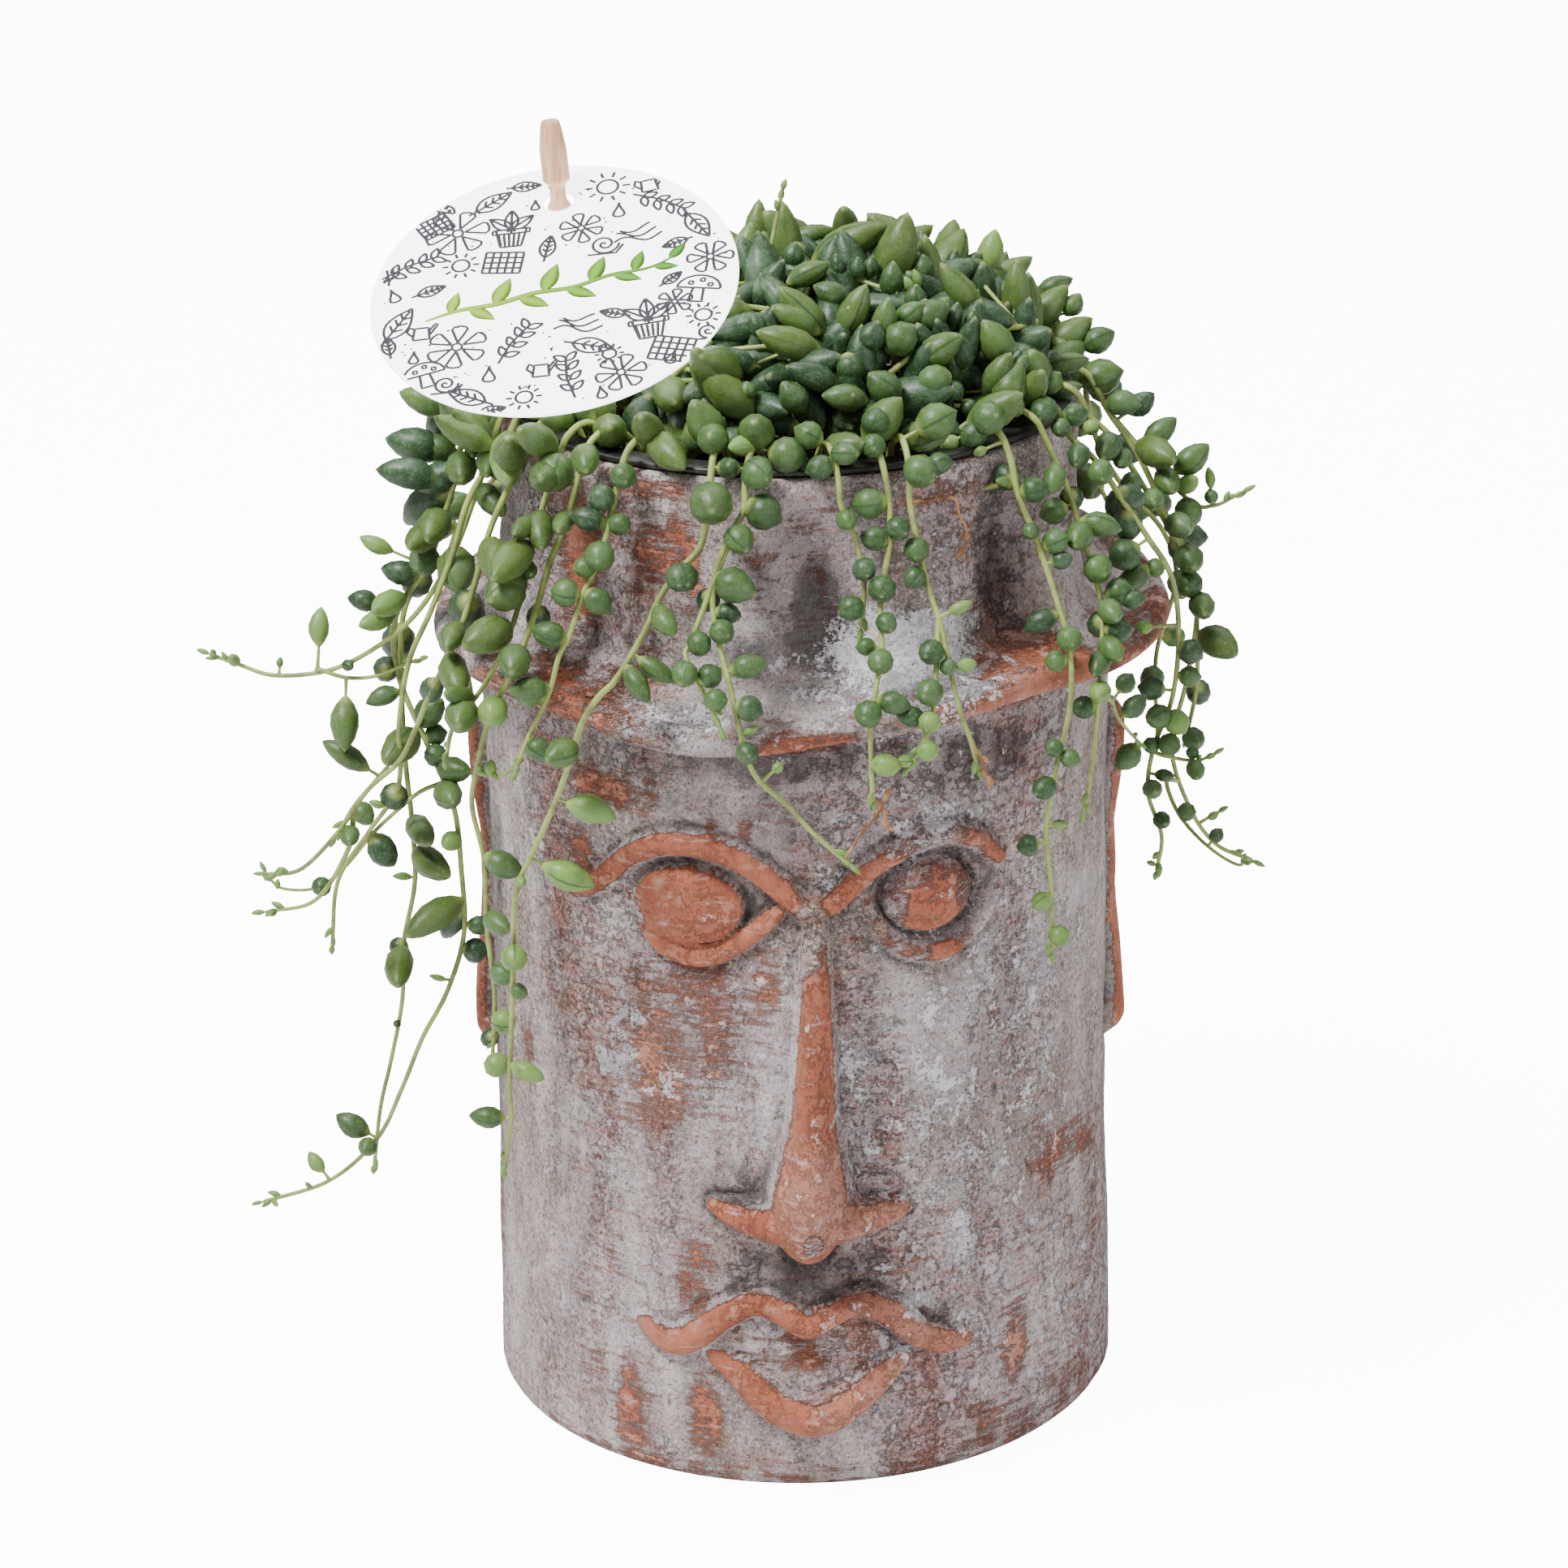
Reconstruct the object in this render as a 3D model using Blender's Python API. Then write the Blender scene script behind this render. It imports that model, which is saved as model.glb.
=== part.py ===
"""Potted string of watermelons: a trailing bead succulent in a terracotta planter shaped as a head.

The planter is a thick earthenware cylinder with a relief face, two ears and a soft brimmed hat.
The plant stands in its own thin nursery pot, whose lip rests on the planter's rim.
Lengths are in millimetres, turned into metres as each mesh is made.
The origin is the middle of the planter's flat base, and the face looks toward -Y.
Azimuth is 0 at the face and grows toward +X.
"""
import math
import random

import bmesh
import bpy
import numpy as np
from mathutils import Matrix, Vector

MM = 0.001

# Planter body
POT_HEIGHT = 226.0
POT_INNER_RADIUS = 58.0
POT_FLOOR = 9.0
FACE_RADIUS = 69.0
WALL_RADII = ((0.0, 69.5), (30.0, 69.0), (60.0, 68.1), (150.0, 68.0), (185.0, 68.4))
CROWN_RADII = ((188.0, 65.0), (196.0, 63.6), (205.0, 62.6), (215.0, 62.2), (226.0, 62.0))
POT_COLUMNS = 240
WALL_ROWS = 84
POT_TRIANGLES = 2700

# Hat brim: outer radius and height of its lower edge, each by azimuth in degrees
BRIM_RADII = ((-180, 79.5), (-90, 78.0), (-45, 79.0), (0, 80.5), (45, 80.5), (90, 81.5), (180, 79.5))
BRIM_EDGES = ((-180, 178.0), (-120, 176.0), (-88, 174.5), (-48, 176.0), (-15, 171.8), (15, 176.0),
              (37, 178.6), (66, 176.5), (92, 175.0), (130, 179.0), (180, 178.0))
BRIM_ROLL = 3.2
PLEATS = ((-44, 8.0, 3.2), (5, 7.5, 4.4), (42, 8.0, 3.6), (86, 9.0, 2.8), (128, 8.0, 3.4), (172, 9.0, 3.8),
          (-142, 8.0, 3.2), (-98, 9.0, 2.8))

# Relief of the face: ridges as (along the wall, height, rise, half width), balls and hollows as
# (along the wall, height, half width, half height, rise)
BROW_LEFT = ((-55, 131, 0.6, 2.6), (-46, 136.6, 2.2, 3.2), (-36, 145, 3.0, 3.6), (-26, 149, 3.2, 3.8),
             (-15, 147.5, 3.2, 3.8), (-5, 140.5, 3.0, 3.6), (0.9, 134.8, 2.8, 3.4))
BROW_RIGHT = ((0.9, 134.8, 2.8, 3.4), (7, 136.6, 3.0, 3.4), (13, 141.8, 3.0, 3.6), (20, 146.2, 3.0, 3.6),
              (27, 149.2, 3.0, 3.6), (37, 147.6, 2.6, 3.4), (46, 140.6, 1.4, 3.0))
LID_LEFT = ((-39, 138, 0.8, 2.4), (-34, 128.5, 2.2, 3.0), (-27, 124, 2.8, 3.2), (-19, 124, 2.8, 3.2),
            (-11, 128.8, 2.4, 3.0), (-5, 134, 1.4, 2.6))
LID_RIGHT = ((13.5, 137.5, 0.8, 2.4), (18, 128, 2.0, 2.8), (25, 123.4, 2.4, 3.0), (33, 123, 2.4, 3.0),
             (41, 128, 2.0, 2.8), (47, 136.5, 0.8, 2.4))
NOSE = ((3.2, 133, 2.0, 3.4), (3.0, 122, 4.2, 4.6), (2.6, 105, 6.6, 5.6), (2.0, 90, 9.0, 6.8),
        (1.6, 79, 11.6, 9.0), (1.2, 71, 13.6, 10.6), (0.9, 64.5, 12.6, 9.4), (0.8, 60, 8.0, 6.6))
WING_LEFT = ((0, 68, 11.0, 9.0), (-8, 65.8, 7.6, 6.6), (-15, 67, 4.6, 4.4), (-22, 69, 1.6, 2.6))
WING_RIGHT = ((2, 68, 11.0, 9.0), (9.5, 65.8, 7.6, 6.6), (16, 66.8, 4.6, 4.4), (22.5, 68, 1.6, 2.6))
LIP_UPPER = ((-38, 37, 0.8, 2.4), (-30, 33.6, 3.0, 3.8), (-24, 36, 3.6, 4.2), (-17, 42, 3.6, 4.0),
             (-10, 45.4, 3.4, 3.8), (-4, 42.6, 3.4, 3.8), (0.2, 39.6, 3.4, 3.8), (5, 42.6, 3.4, 3.8),
             (11, 44.8, 3.4, 3.8), (18, 41.6, 3.6, 4.0), (24, 35.6, 3.4, 4.0), (31, 32, 2.6, 3.4),
             (37, 31.4, 0.8, 2.4))
LIP_LOWER = ((-21, 33, 0.8, 2.6), (-14, 28, 3.0, 4.0), (-7, 21.4, 4.2, 5.0), (1.5, 18.2, 4.8, 5.6),
             (9, 21.8, 4.2, 5.0), (16, 27.6, 3.0, 4.0), (21, 31, 0.8, 2.6))
RIDGES = (BROW_LEFT, BROW_RIGHT, LID_LEFT, LID_RIGHT, NOSE, WING_LEFT, WING_RIGHT, LIP_UPPER, LIP_LOWER)
BALLS = ((-22, 134.6, 10.2, 8.6, 4.8), (27.5, 135.0, 8.0, 7.6, 4.0))
HOLLOWS = ((-22, 135, 19, 13, 2.2), (28, 135, 18, 13, 2.2), (-13, 96, 9, 26, 1.8), (14, 96, 9, 26, 1.8),
           (0.5, 33, 14, 9, 2.0), (-12, 56, 12, 7, 1.4), (12, 56, 12, 7, 1.4))
# One ear, mirrored to the other side: helix, inner fold and lobe
EAR_HELIX = ((102, 128, 1.6, 3.0), (103, 140, 3.2, 4.0), (108, 149, 3.8, 4.6), (117, 150, 3.8, 4.6),
             (123, 140, 3.8, 4.6), (122, 122, 3.6, 4.6), (117, 104, 3.6, 5.0), (109, 88, 4.2, 6.2),
             (103, 84, 4.2, 6.0))
EAR_FOLD = ((111, 139, 1.4, 2.6), (115, 132, 2.2, 3.2), (112, 118, 2.4, 3.4), (106, 105, 1.4, 2.6))
EAR_SCALE = 1.05

# Nursery pot and soil
LINER_SIDES = 24
LINER_FOOT = 137.0
LINER_WALL = 1.2
LINER_FOOT_RADIUS = 44.0
LINER_TOP_RADIUS = 55.6
LINER_LIP_RADIUS = 60.6
LINER_LIP = 1.5
SEAT_GAP = 0.3
LINER_LIP_FOOT = POT_HEIGHT + SEAT_GAP
LINER_LIP_TOP = LINER_LIP_FOOT + LINER_LIP
DRAIN_HOLE_RADIUS = 4.0
DRAIN_HOLE_RING = 26.0
DRAIN_HOLES = 4
SOIL_TOP = 219.0
SOIL_GAP = 0.5
ROOT_DEPTH = 5.0
ROOT_RING = 48.5

# Label card and its wooden peg
CARD_CENTRE = (-49.0, -14.0, 254.0)
CARD_RADIUS = 39.0
CARD_THICKNESS = 0.6
CARD_TILT = 26.1
CARD_ROLL = 6.7
CARD_HOLE = (0.5, 27.6)
CARD_HOLE_RADIUS = 3.3
CARD_SIDES = 40
PEG_TOP = 284.0
PEG_LEAN = 4.4
PEG_FLUTES = 6
PEG_PROFILE = ((0.0, 0.0), (1.0, 0.4), (2.1, 3.6), (2.2, 50.0), (2.2, 60.6), (2.5, 61.6), (2.5, 62.8),
               (1.7, 63.8), (1.7, 67.6), (2.7, 68.6), (2.95, 70.0), (2.95, 75.0), (2.5, 75.8),
               (2.4, 78.0), (1.9, 80.4), (0.0, 81.2))
PEG_FLUTED = (69.0, 75.5)
PEG_FLUTE_DEPTH = 0.4

# Trailing stems
STEM_RADIUS = 0.95
BRANCH_RADIUS = 0.8
STEM_SIDES = 3
STEM_TURN = 26.0
STEM_LONGEST = 18.0
BEAD_PITCH = 14.5
FIRST_BEAD = 37.0
COLLAR_LEAVES = (17.0, 26.0)
NODE_GAP = 0.4
RIM_REACH = 59.0
STEM_HOLE_GAP = 1.1
LINE_STEP = 1.2
BEAD_TURN = 137.5
RETRY_TURN = 53
YOUNG_SHARE = 0.9
YOUNG_SIZE = 0.75
# How near a stem's own beads may stand to each other, as a share of touching
BEAD_CROWDING = 0.8
LEAF_CROWDING = 0.9
CROWN_CROWDING = 0.95

# Crown of the plant
CORE_CENTRE = (8.0, 2.0, 230.0)
CORE_RADII = (36.0, 37.0, 18.0)
CORE_NECK_RADIUS = 7.0
CROWN_LEAVES = 30
CROWN_LOWEST = 0.02
GOLDEN_TURN = 137.508
LEAF_OUTWARD = 0.35
LEAF_ROOT_DEPTH = 0.7
MOUND_CENTRE = (6.0, 1.0, 229.0)
MOUND_RADII = (54.0, 47.0, 29.0)

# Where the photograph was taken from, and how the beads seen in it are set on their stems
EYE = (-2.8, -1000.0, 520.0)
DEPTH_COST = 0.12
CLOSE_ROOT = 0.3
FAR_ROOT = 0.1
SMALLEST_BEAD = 3.0
PLAIN_WIDTH = 5.5
SHORT_STALK = 1.0
LONGEST_STALK = 8.0
SETTLE_SIZES = (1.0, 0.9, 0.8)
SETTLE_PUSHES = (0.0, -1.5, 1.5, -3.0, 3.0, -5.0, 5.0)
SPROUT = ((-3, -6, 238), (-5, -5, 252), (-3, -3, 262), (-1, 0, 270.5))
SPROUT_BEADS = ((-3, (0.1, 0.1, 0.99), 4.2, 3.0), (18, (-0.8, -0.2, 0.56), 7.0, 4.0))

# Each trailing stem: name, azimuth of its root in the soil, route from the rim on
STRINGS = (
    ("string_left_shoot", -70, ((-66, -25, 214), (-71, -25, 201), (-76, -25, 192), (-82, -23, 184),
     (-90, -20, 177), (-100, -16, 171), (-112, -13, 169), (-120, -11, 171), (-126, -10, 173))),
    ("string_left_side", -88, ((-71, -8, 216), (-74, -7, 204), (-78, -7, 193), (-84, -8, 181),
     (-85, -10, 166), (-85, -11, 150), (-84, -12, 134), (-84, -12, 120), (-87, -12, 106), (-88, -12, 92),
     (-91, -12, 78), (-94, -12, 66), (-96, -12, 52))),
    ("string_left_fork", -54, ((-62, -42, 212), (-66, -46, 200), (-70, -49, 189), (-76, -48, 177),
     (-80, -44, 167), (-84, -41, 159), (-91, -39, 152), (-98, -38, 142), (-106, -38, 134), (-113, -38, 133))),
    ("string_left_bend", -62, ((-67, -33, 215), (-71, -34, 203), (-76, -36, 191), (-81, -36, 180),
     (-84, -33, 165), (-85, -31, 150), (-92, -30, 139), (-99, -30, 128), (-101, -30, 113))),
    ("string_left_long", -79, ((-70, -17, 216), (-74, -17, 205), (-78, -16, 194), (-85, -15, 183),
     (-85, -17, 170), (-79, -21, 155), (-74, -23, 142), (-73, -22, 127), (-73, -22, 112), (-77, -23, 99),
     (-83, -24, 88), (-88, -24, 76), (-94, -24, 64), (-105, -24, 54), (-120, -24, 49))),
    ("string_left_short", -46, ((-53, -50, 212), (-56, -55, 200), (-60, -60, 190), (-65, -59, 181),
     (-71, -55, 172), (-73, -53, 164))),
    ("string_temple", -38, ((-46, -53, 216), (-50, -55, 207), (-53, -59, 198), (-57, -64, 189),
     (-63, -60, 176), (-66, -56, 165), (-68, -53, 154), (-66, -52, 141), (-66, -52, 126), (-65, -52, 110),
     (-66, -52, 95))),
    ("string_brow", -29, ((-36, -57, 222), (-38, -60, 214.5), (-40, -62, 209), (-43, -65, 203.5),
     (-45.7, -67.5, 196), (-48, -69, 192), (-50.3, -69.5, 184), (-55, -69, 174), (-58, -67, 166))),
    ("string_cheek", -15, ((-17, -65.5, 221), (-19, -67.5, 214), (-23, -69, 210), (-27, -70.5, 205),
     (-30, -73, 199), (-36, -77, 190), (-40, -77.5, 186), (-43.4, -76, 180), (-46, -75, 172),
     (-49, -72, 163), (-52.6, -69.5, 154), (-56, -66.5, 146), (-59, -64.5, 138), (-60, -62, 124),
     (-61, -61, 108), (-62, -61, 93), (-62, -60, 85), (-64, -58, 72))),
    ("string_forehead", -6, ((-10, -67, 221.5), (-13.5, -70.5, 216), (-15.6, -72.5, 211),
     (-16.4, -74.5, 206), (-16.2, -77, 201.5), (-14.8, -81, 195.7), (-13.4, -84, 190.8), (-12, -86, 184),
     (-10.3, -86.5, 176.5), (-8, -86, 171), (-2, -86, 165), (3, -86, 159), (10, -85, 152))),
    ("string_hat_short", 5, ((9.6, -66, 222), (12.2, -67.5, 216), (14, -70.5, 207.5),
     (13.4, -73.5, 198.5))),
    ("string_hat_left", 14, ((19.4, -64.5, 221), (19.2, -68, 213.7), (17.6, -71, 206.3),
     (17.2, -74.5, 201), (17.4, -78, 195), (16.4, -82, 191), (15.4, -84.5, 186), (14.7, -86, 181),
     (14.8, -86, 173), (15, -86, 166))),
    ("string_hat_right", 24, ((23.6, -62, 221), (24.8, -65, 214.8), (26, -67.5, 209),
     (27.5, -70, 204), (29.5, -74, 198.3), (31, -78.5, 191), (33.2, -80.5, 181.7), (34.9, -80.5, 176.7),
     (36.5, -79.5, 170))),
    ("string_right_eye", 40, ((46, -50, 219), (50, -53, 209), (54, -58, 197), (56, -62, 189),
     (56, -65, 178), (53, -68, 165), (51, -69, 152), (52, -69, 139), (52, -69, 125))),
    ("string_right_brow", 51, ((56, -42, 219), (60, -46, 207), (63, -51, 196), (63, -57, 187),
     (62, -60, 176), (61, -62, 165), (59, -64, 154))),
    ("string_right_side", 63, ((63, -36, 221), (69, -37, 212), (74, -36, 204), (79, -34, 195),
     (81, -31, 182), (80, -30, 167), (76, -30, 155), (75, -30, 145), (78, -30, 135), (77, -30, 127))),
    ("string_right_dense", 73, ((67, -22, 222), (74, -22, 211), (80, -20, 200), (85, -19, 188),
     (86, -19, 176), (86, -18, 164), (84, -18, 153))),
    ("string_right_far", 85, ((68, -5, 222), (74, -6, 213), (79, -6, 202), (83, -6, 192),
     (87, -6, 179), (85, -5, 161), (82, -5, 146), (86, -5, 132), (92, -5, 123), (100, -5, 119))),
)
# Side shoots, fused to the stem they fork from: parent, where along it (0 to 1), route
FORKS = (
    ("string_left_fork", 0.84, ((-96, -34, 137), (-104, -31, 124), (-115, -30, 121))),
    ("string_forehead", 0.36, ((-20.5, -78, 199), (-22, -81, 195.5), (-18.5, -85, 189), (-15.5, -87, 183))),
    ("string_hat_right", 0.66, ((27.5, -83, 184.8), (25.8, -84.5, 179), (22.5, -85, 173))),
    ("string_right_far", 0.26, ((84, -8, 204), (90, -8, 202), (96, -8, 205))),
)
# Stems round the back, which hang by a rule: azimuth and length past the rim
BACK_STRINGS = ((104, 92), (121, 70), (138, 118), (155, 84), (172, 130), (-170, 66), (-152, 108),
                (-135, 78), (-118, 96))

# Beads seen in the photograph, by the upright plane (its Y) they were measured on. Each is the
# place of its middle on that plane (X, Z), its length and width, and its tone: 1 young and light,
# 0 full grown, -1 dark and behind its stem. Its true place lies on the line of sight through there.
SEEN_BEADS = (
    (-78, ((5.4, 233.8, 6.5, 5.2, 0), (10.6, 222.8, 5.5, 4.4, 0), (15, 226.2, 7.6, 6.6, 0),
           (16, 218.8, 6.2, 5.2, 0), (14, 212.3, 5.4, 5, 0), (17.5, 208.1, 6.2, 5.8, 0),
           (11.2, 204.2, 6, 5.5, 0), (18.2, 200.7, 6, 4.4, 0), (14.1, 196, 4.4, 3.8, 0),
           (20.8, 220.8, 6, 5, 0), (17, 192.8, 6.6, 5.4, 0), (14.4, 181.6, 6, 5.8, 0),
           (19.6, 183.8, 7.4, 4.8, 0), (18, 170.5, 6.4, 5, 1), (25.6, 232.6, 7, 6.4, 0),
           (24.4, 216.2, 5.8, 5.4, 0), (24, 210.4, 5.4, 4.9, 0), (33, 204, 5.5, 2.6, 1),
           (27.2, 194.6, 6, 5.4, 0), (30.6, 191.4, 4, 3.7, 0), (34.4, 191.7, 4.2, 3, 1),
           (26.8, 186, 6.2, 5.8, 0), (23, 181, 6.4, 4.6, 0), (26.8, 179.5, 5, 4.7, 1),
           (26.4, 173.4, 5, 4.7, 1), (21.6, 171.4, 4, 2.8, 1), (-12.9, 234, 4.6, 4.4, 0),
           (-7, 232.6, 7.6, 6.6, 0), (-16.3, 226.7, 10.8, 9, 0), (-5.8, 224.7, 8.4, 7.8, 0),
           (-10.6, 218.9, 8, 6.2, 0), (-22, 211.3, 6.6, 6.2, 0), (-11.8, 209.5, 10, 7.4, 0),
           (-17, 206.5, 7, 5, -1), (-13.5, 203.5, 6, 4.5, -1), (-14.7, 199.7, 5.6, 5.3, 0),
           (-19.3, 197.2, 6.4, 5, 0), (-9.6, 192.2, 8, 5, 0), (-17.3, 190.4, 5.6, 5.2, 0),
           (-22.4, 190.5, 7, 5.4, 0), (-16.2, 185.2, 5.4, 4.8, 0), (-9.5, 183.2, 6.2, 5.4, 0),
           (-9.4, 178.6, 3.8, 1.8, 1), (-10.2, 173.6, 5.4, 4.8, 0), (-4, 170.4, 2.8, 2.4, 1))),
    (-65, ((-34, 228.6, 6, 5.6, 0), (-38.6, 224.2, 6, 5.6, 0), (-35, 218.4, 5.4, 4.7, 0),
           (-41.4, 219.8, 7.4, 4.8, -1), (-39.3, 211.8, 6.6, 6.2, 0), (-42.3, 209.6, 5, 4, 0),
           (-46.5, 204.2, 5, 4.8, 0), (-39.8, 202.2, 6.6, 5.4, 0), (-52, 199, 8, 4, -1),
           (-50, 195.4, 6, 4.4, 0), (-54.5, 183.4, 7, 4, 0), (-47.9, 229.7, 7, 6.6, 0),
           (-41.3, 232, 9.6, 5.6, 0), (-46.3, 219, 8.5, 3.4, 0), (-50.8, 217.5, 9.5, 4.6, 0),
           (-57, 210.8, 15, 5.8, 0), (-53.5, 209, 5, 3, 0), (-58.5, 203.6, 8.4, 5.8, 0),
           (-57, 189.3, 8.8, 5.4, 0), (-61, 195.5, 9, 5.4, -1), (-54, 218, 9, 3.6, 0),
           (-57, 231.5, 12, 5.5, -1), (-23.2, 206.9, 7, 6, 0), (-26.3, 197.8, 10, 5, 0),
           (-28.3, 187.3, 9.4, 4.4, 0), (-32.3, 184.2, 10, 4.6, 0), (-25, 233.5, 15, 7, 0))),
    (-60, ((-54.9, 181, 6, 4.4, 0), (-62.4, 177, 6.2, 5, 1), (-53.2, 168.5, 5, 3.9, 0),
           (-48.8, 167.7, 7.6, 4.8, 0), (-42.9, 154.8, 9.6, 5.2, 1), (-48, 140.4, 9.4, 5, 1),
           (-61.4, 143.2, 7.2, 4.6, 0), (-63.2, 164.7, 3.2, 2, 1), (-58, 139, 3, 2, 1))),
    (-25, ((-76, 233, 9.5, 5, 0), (-70.2, 228.5, 14, 8, -1), (-78.5, 223.6, 10.5, 6, -1),
           (-73.8, 223, 6.6, 5.2, 0), (-80.3, 217.2, 11, 5.6, -1), (-74.2, 216.2, 9.8, 5.8, -1),
           (-68.8, 218.2, 9, 5.4, 0), (-76.4, 210.4, 14, 6.4, -1), (-75.1, 205.7, 9.8, 5.6, 0),
           (-77.6, 203.4, 12, 5, 0), (-87.7, 202.2, 6.4, 3, 1), (-77.8, 198.4, 6.4, 5.3, 0),
           (-82.8, 196, 7, 4.4, -1), (-79.3, 193.3, 9, 5.4, -1), (-70.8, 196, 10, 6.6, 0),
           (-62, 197.4, 14, 6, 0), (-60.8, 191.6, 9.4, 6, 0), (-59, 220.3, 14, 6, 1),
           (-66, 223.5, 7, 3.6, 0), (-63.5, 219.5, 9, 4, 0), (-63, 211.5, 8.5, 4.2, 0),
           (-85.6, 188.8, 9.5, 4.6, 1), (-91, 189.5, 6, 4, -1), (-69, 187.5, 9, 6, -1),
           (-114, 118.8, 3.6, 1.6, 1), (-79, 116.8, 13, 5.4, 0), (-74.9, 115.5, 10, 4, -1),
           (-86.9, 105.5, 13, 5.2, 0), (-87.1, 110.2, 3.8, 3.6, -1), (-70.5, 109, 4.6, 4.4, -1),
           (-69.5, 114.7, 4.4, 3.4, 0), (-65.5, 115.3, 7.5, 3.8, 0), (-64.9, 103.4, 5, 4, 0),
           (-62.2, 107.1, 4.8, 4.4, 1), (-61.2, 99.2, 3.6, 2.8, 0), (-65, 92.1, 4.4, 4.2, 1),
           (-68, 87.9, 4.2, 3.2, -1), (-66.9, 81.6, 4.6, 4.4, 1), (-60.2, 80, 6.4, 3.4, 1),
           (-69.4, 69.3, 6.2, 3.8, 0), (-99.1, 68, 7.6, 4.8, 0), (-96.1, 62.5, 4.6, 3.8, 0),
           (-107.6, 59, 5, 3, 1), (-88.2, 91.9, 2.2, 1.5, 0), (-78.9, 102.8, 3.2, 1.2, 1),
           (-109.6, 53.4, 2.4, 1, 1), (-117.2, 49.2, 3.4, 1.2, 1))),
    (-20, ((-101, 182.3, 7.6, 4, 1), (-95.3, 173.4, 3.3, 2.3, 0), (-109.9, 174.4, 2.2, 1.4, 1),
           (-119.6, 175.1, 4.6, 2.4, 1), (-124, 176.8, 3, 1.3, 1), (-87, 172.5, 6.3, 4.6, -1),
           (-88.3, 166.1, 6.5, 3.6, 0), (-96.7, 160.2, 10.5, 5.5, 0), (-96.9, 152.9, 10.5, 4.4, 0),
           (-85.2, 154.5, 13, 5.8, 0), (-77.3, 157.4, 4, 3.9, 0), (-87, 143.2, 5.2, 5, -1),
           (-93.7, 139.4, 5.6, 4.3, 0), (-90.8, 141.6, 3, 1.6, 1), (-96.7, 134.3, 7, 3.8, 0),
           (-89.8, 130.9, 7.6, 5.4, -1), (-81.5, 135, 11.5, 4.6, 0), (-79.4, 127.7, 11.5, 5.2, 0),
           (-75, 132.4, 5, 3.5, 1), (-103.7, 122.6, 4, 3.9, 0), (-112.4, 126.2, 2.8, 1.8, 1),
           (-86, 124.6, 3.6, 1.5, 1), (-69, 184.4, 11, 6, -1), (-72.6, 179.4, 9.5, 4, 0),
           (-65.5, 179.4, 11, 6, 0), (-72.6, 170.8, 12, 5, 0), (-77.6, 167.5, 7, 4, -1),
           (-72, 166, 8, 3.5, 0), (-78.2, 162.4, 7, 5, 0), (-71.3, 161.3, 9.5, 5.6, 0),
           (-73.7, 149.2, 8, 4.6, 0), (-77.6, 152.6, 4, 4, 0), (-74.9, 143.5, 9, 5, 0),
           (-88.5, 184, 9, 4, 1), (-84, 178.5, 12, 6, -1))),
    (-35, ((40.9, 230.5, 7.6, 7.2, 0), (46.1, 232.8, 5.1, 4.4, 0), (52.2, 231.8, 7.5, 6, 0),
           (58.7, 230.9, 6, 5, 0), (55.7, 228.1, 4.6, 4.3, 0), (61.9, 228, 3.8, 3.5, 1),
           (38.7, 227.3, 5, 4.2, 0), (39, 223.3, 3.2, 2.2, 1), (44.4, 217.8, 7, 6, -1),
           (43.7, 216.7, 4.5, 2.2, 1), (50.3, 214.9, 6.2, 5.6, 0), (54.2, 217.2, 8.4, 4.8, 0),
           (58, 212.8, 6.2, 5.2, -1), (54.2, 210, 6.4, 5.8, 0), (49.5, 205.7, 4.3, 3.7, 0),
           (54.7, 203.4, 6, 5.8, 0), (59.2, 204.5, 8.5, 6, 0), (64, 206.8, 8.6, 5.2, 0),
           (56, 199.3, 5, 4, -1), (59.1, 222.1, 7.5, 5, 0), (65.3, 223.6, 8.6, 5.6, 0),
           (68.2, 221.1, 6.4, 4, 0), (64, 218.3, 6, 5.4, 0), (70.4, 215.7, 5.2, 4.2, 0),
           (70, 212.6, 8, 5, -1), (74.6, 212.3, 6.6, 4.2, 0), (69.6, 206.8, 8.6, 5.6, -1),
           (69, 200.2, 6.8, 6.2, 0), (63.6, 197.2, 6.2, 6, 0), (70.8, 195.1, 7.6, 4.6, 0),
           (68, 192.2, 5.5, 5.2, 0), (71, 190.3, 5, 3.4, 0), (66, 187.6, 7.4, 4.8, 0),
           (68, 183.6, 5.4, 5, -1), (64.3, 185, 6, 5.6, -1), (66.6, 179.2, 7.6, 4.6, 0),
           (63.7, 176.4, 8, 4.4, 0), (57.7, 181.8, 5.6, 5.4, 0), (54.8, 177, 5, 4.8, 0),
           (51.8, 185.7, 8, 5, -1), (73, 184.1, 3.8, 2.8, 1), (75.6, 197.3, 3.7, 3.6, 0),
           (82.3, 198.9, 7.6, 5.6, 0), (80.4, 201.3, 8.8, 4.8, -1), (80.3, 206.2, 7.8, 5, 0),
           (82.3, 209.1, 6.6, 5.4, 0), (82, 215.6, 5.6, 3.6, 1), (77.6, 216, 8.6, 4.8, 0),
           (75.3, 222.4, 12, 6, 0), (82.8, 221, 8.4, 5.4, 0), (76.2, 227, 8, 4.6, 0),
           (68.5, 232.9, 7.4, 5.2, 0), (72.1, 233.1, 6.4, 4.6, -1), (86.6, 216.7, 4.3, 2, 1),
           (87, 212.7, 3.1, 2.8, 0), (91.3, 212.5, 2.9, 1.2, 1), (82.7, 193.5, 6, 5.2, 0),
           (82.1, 196, 3.2, 2, 1), (85.1, 188.5, 9, 5, 0), (88.8, 180.1, 10.4, 6.2, 0),
           (83.3, 178.5, 5.2, 4.8, -1), (83.1, 173, 4.6, 4, 0), (84.6, 169.4, 8.4, 4.8, -1),
           (75, 170.5, 5.4, 4.6, -1), (69.6, 171.8, 4.4, 3.8, 0), (71.4, 166.7, 6, 4, 0),
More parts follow.
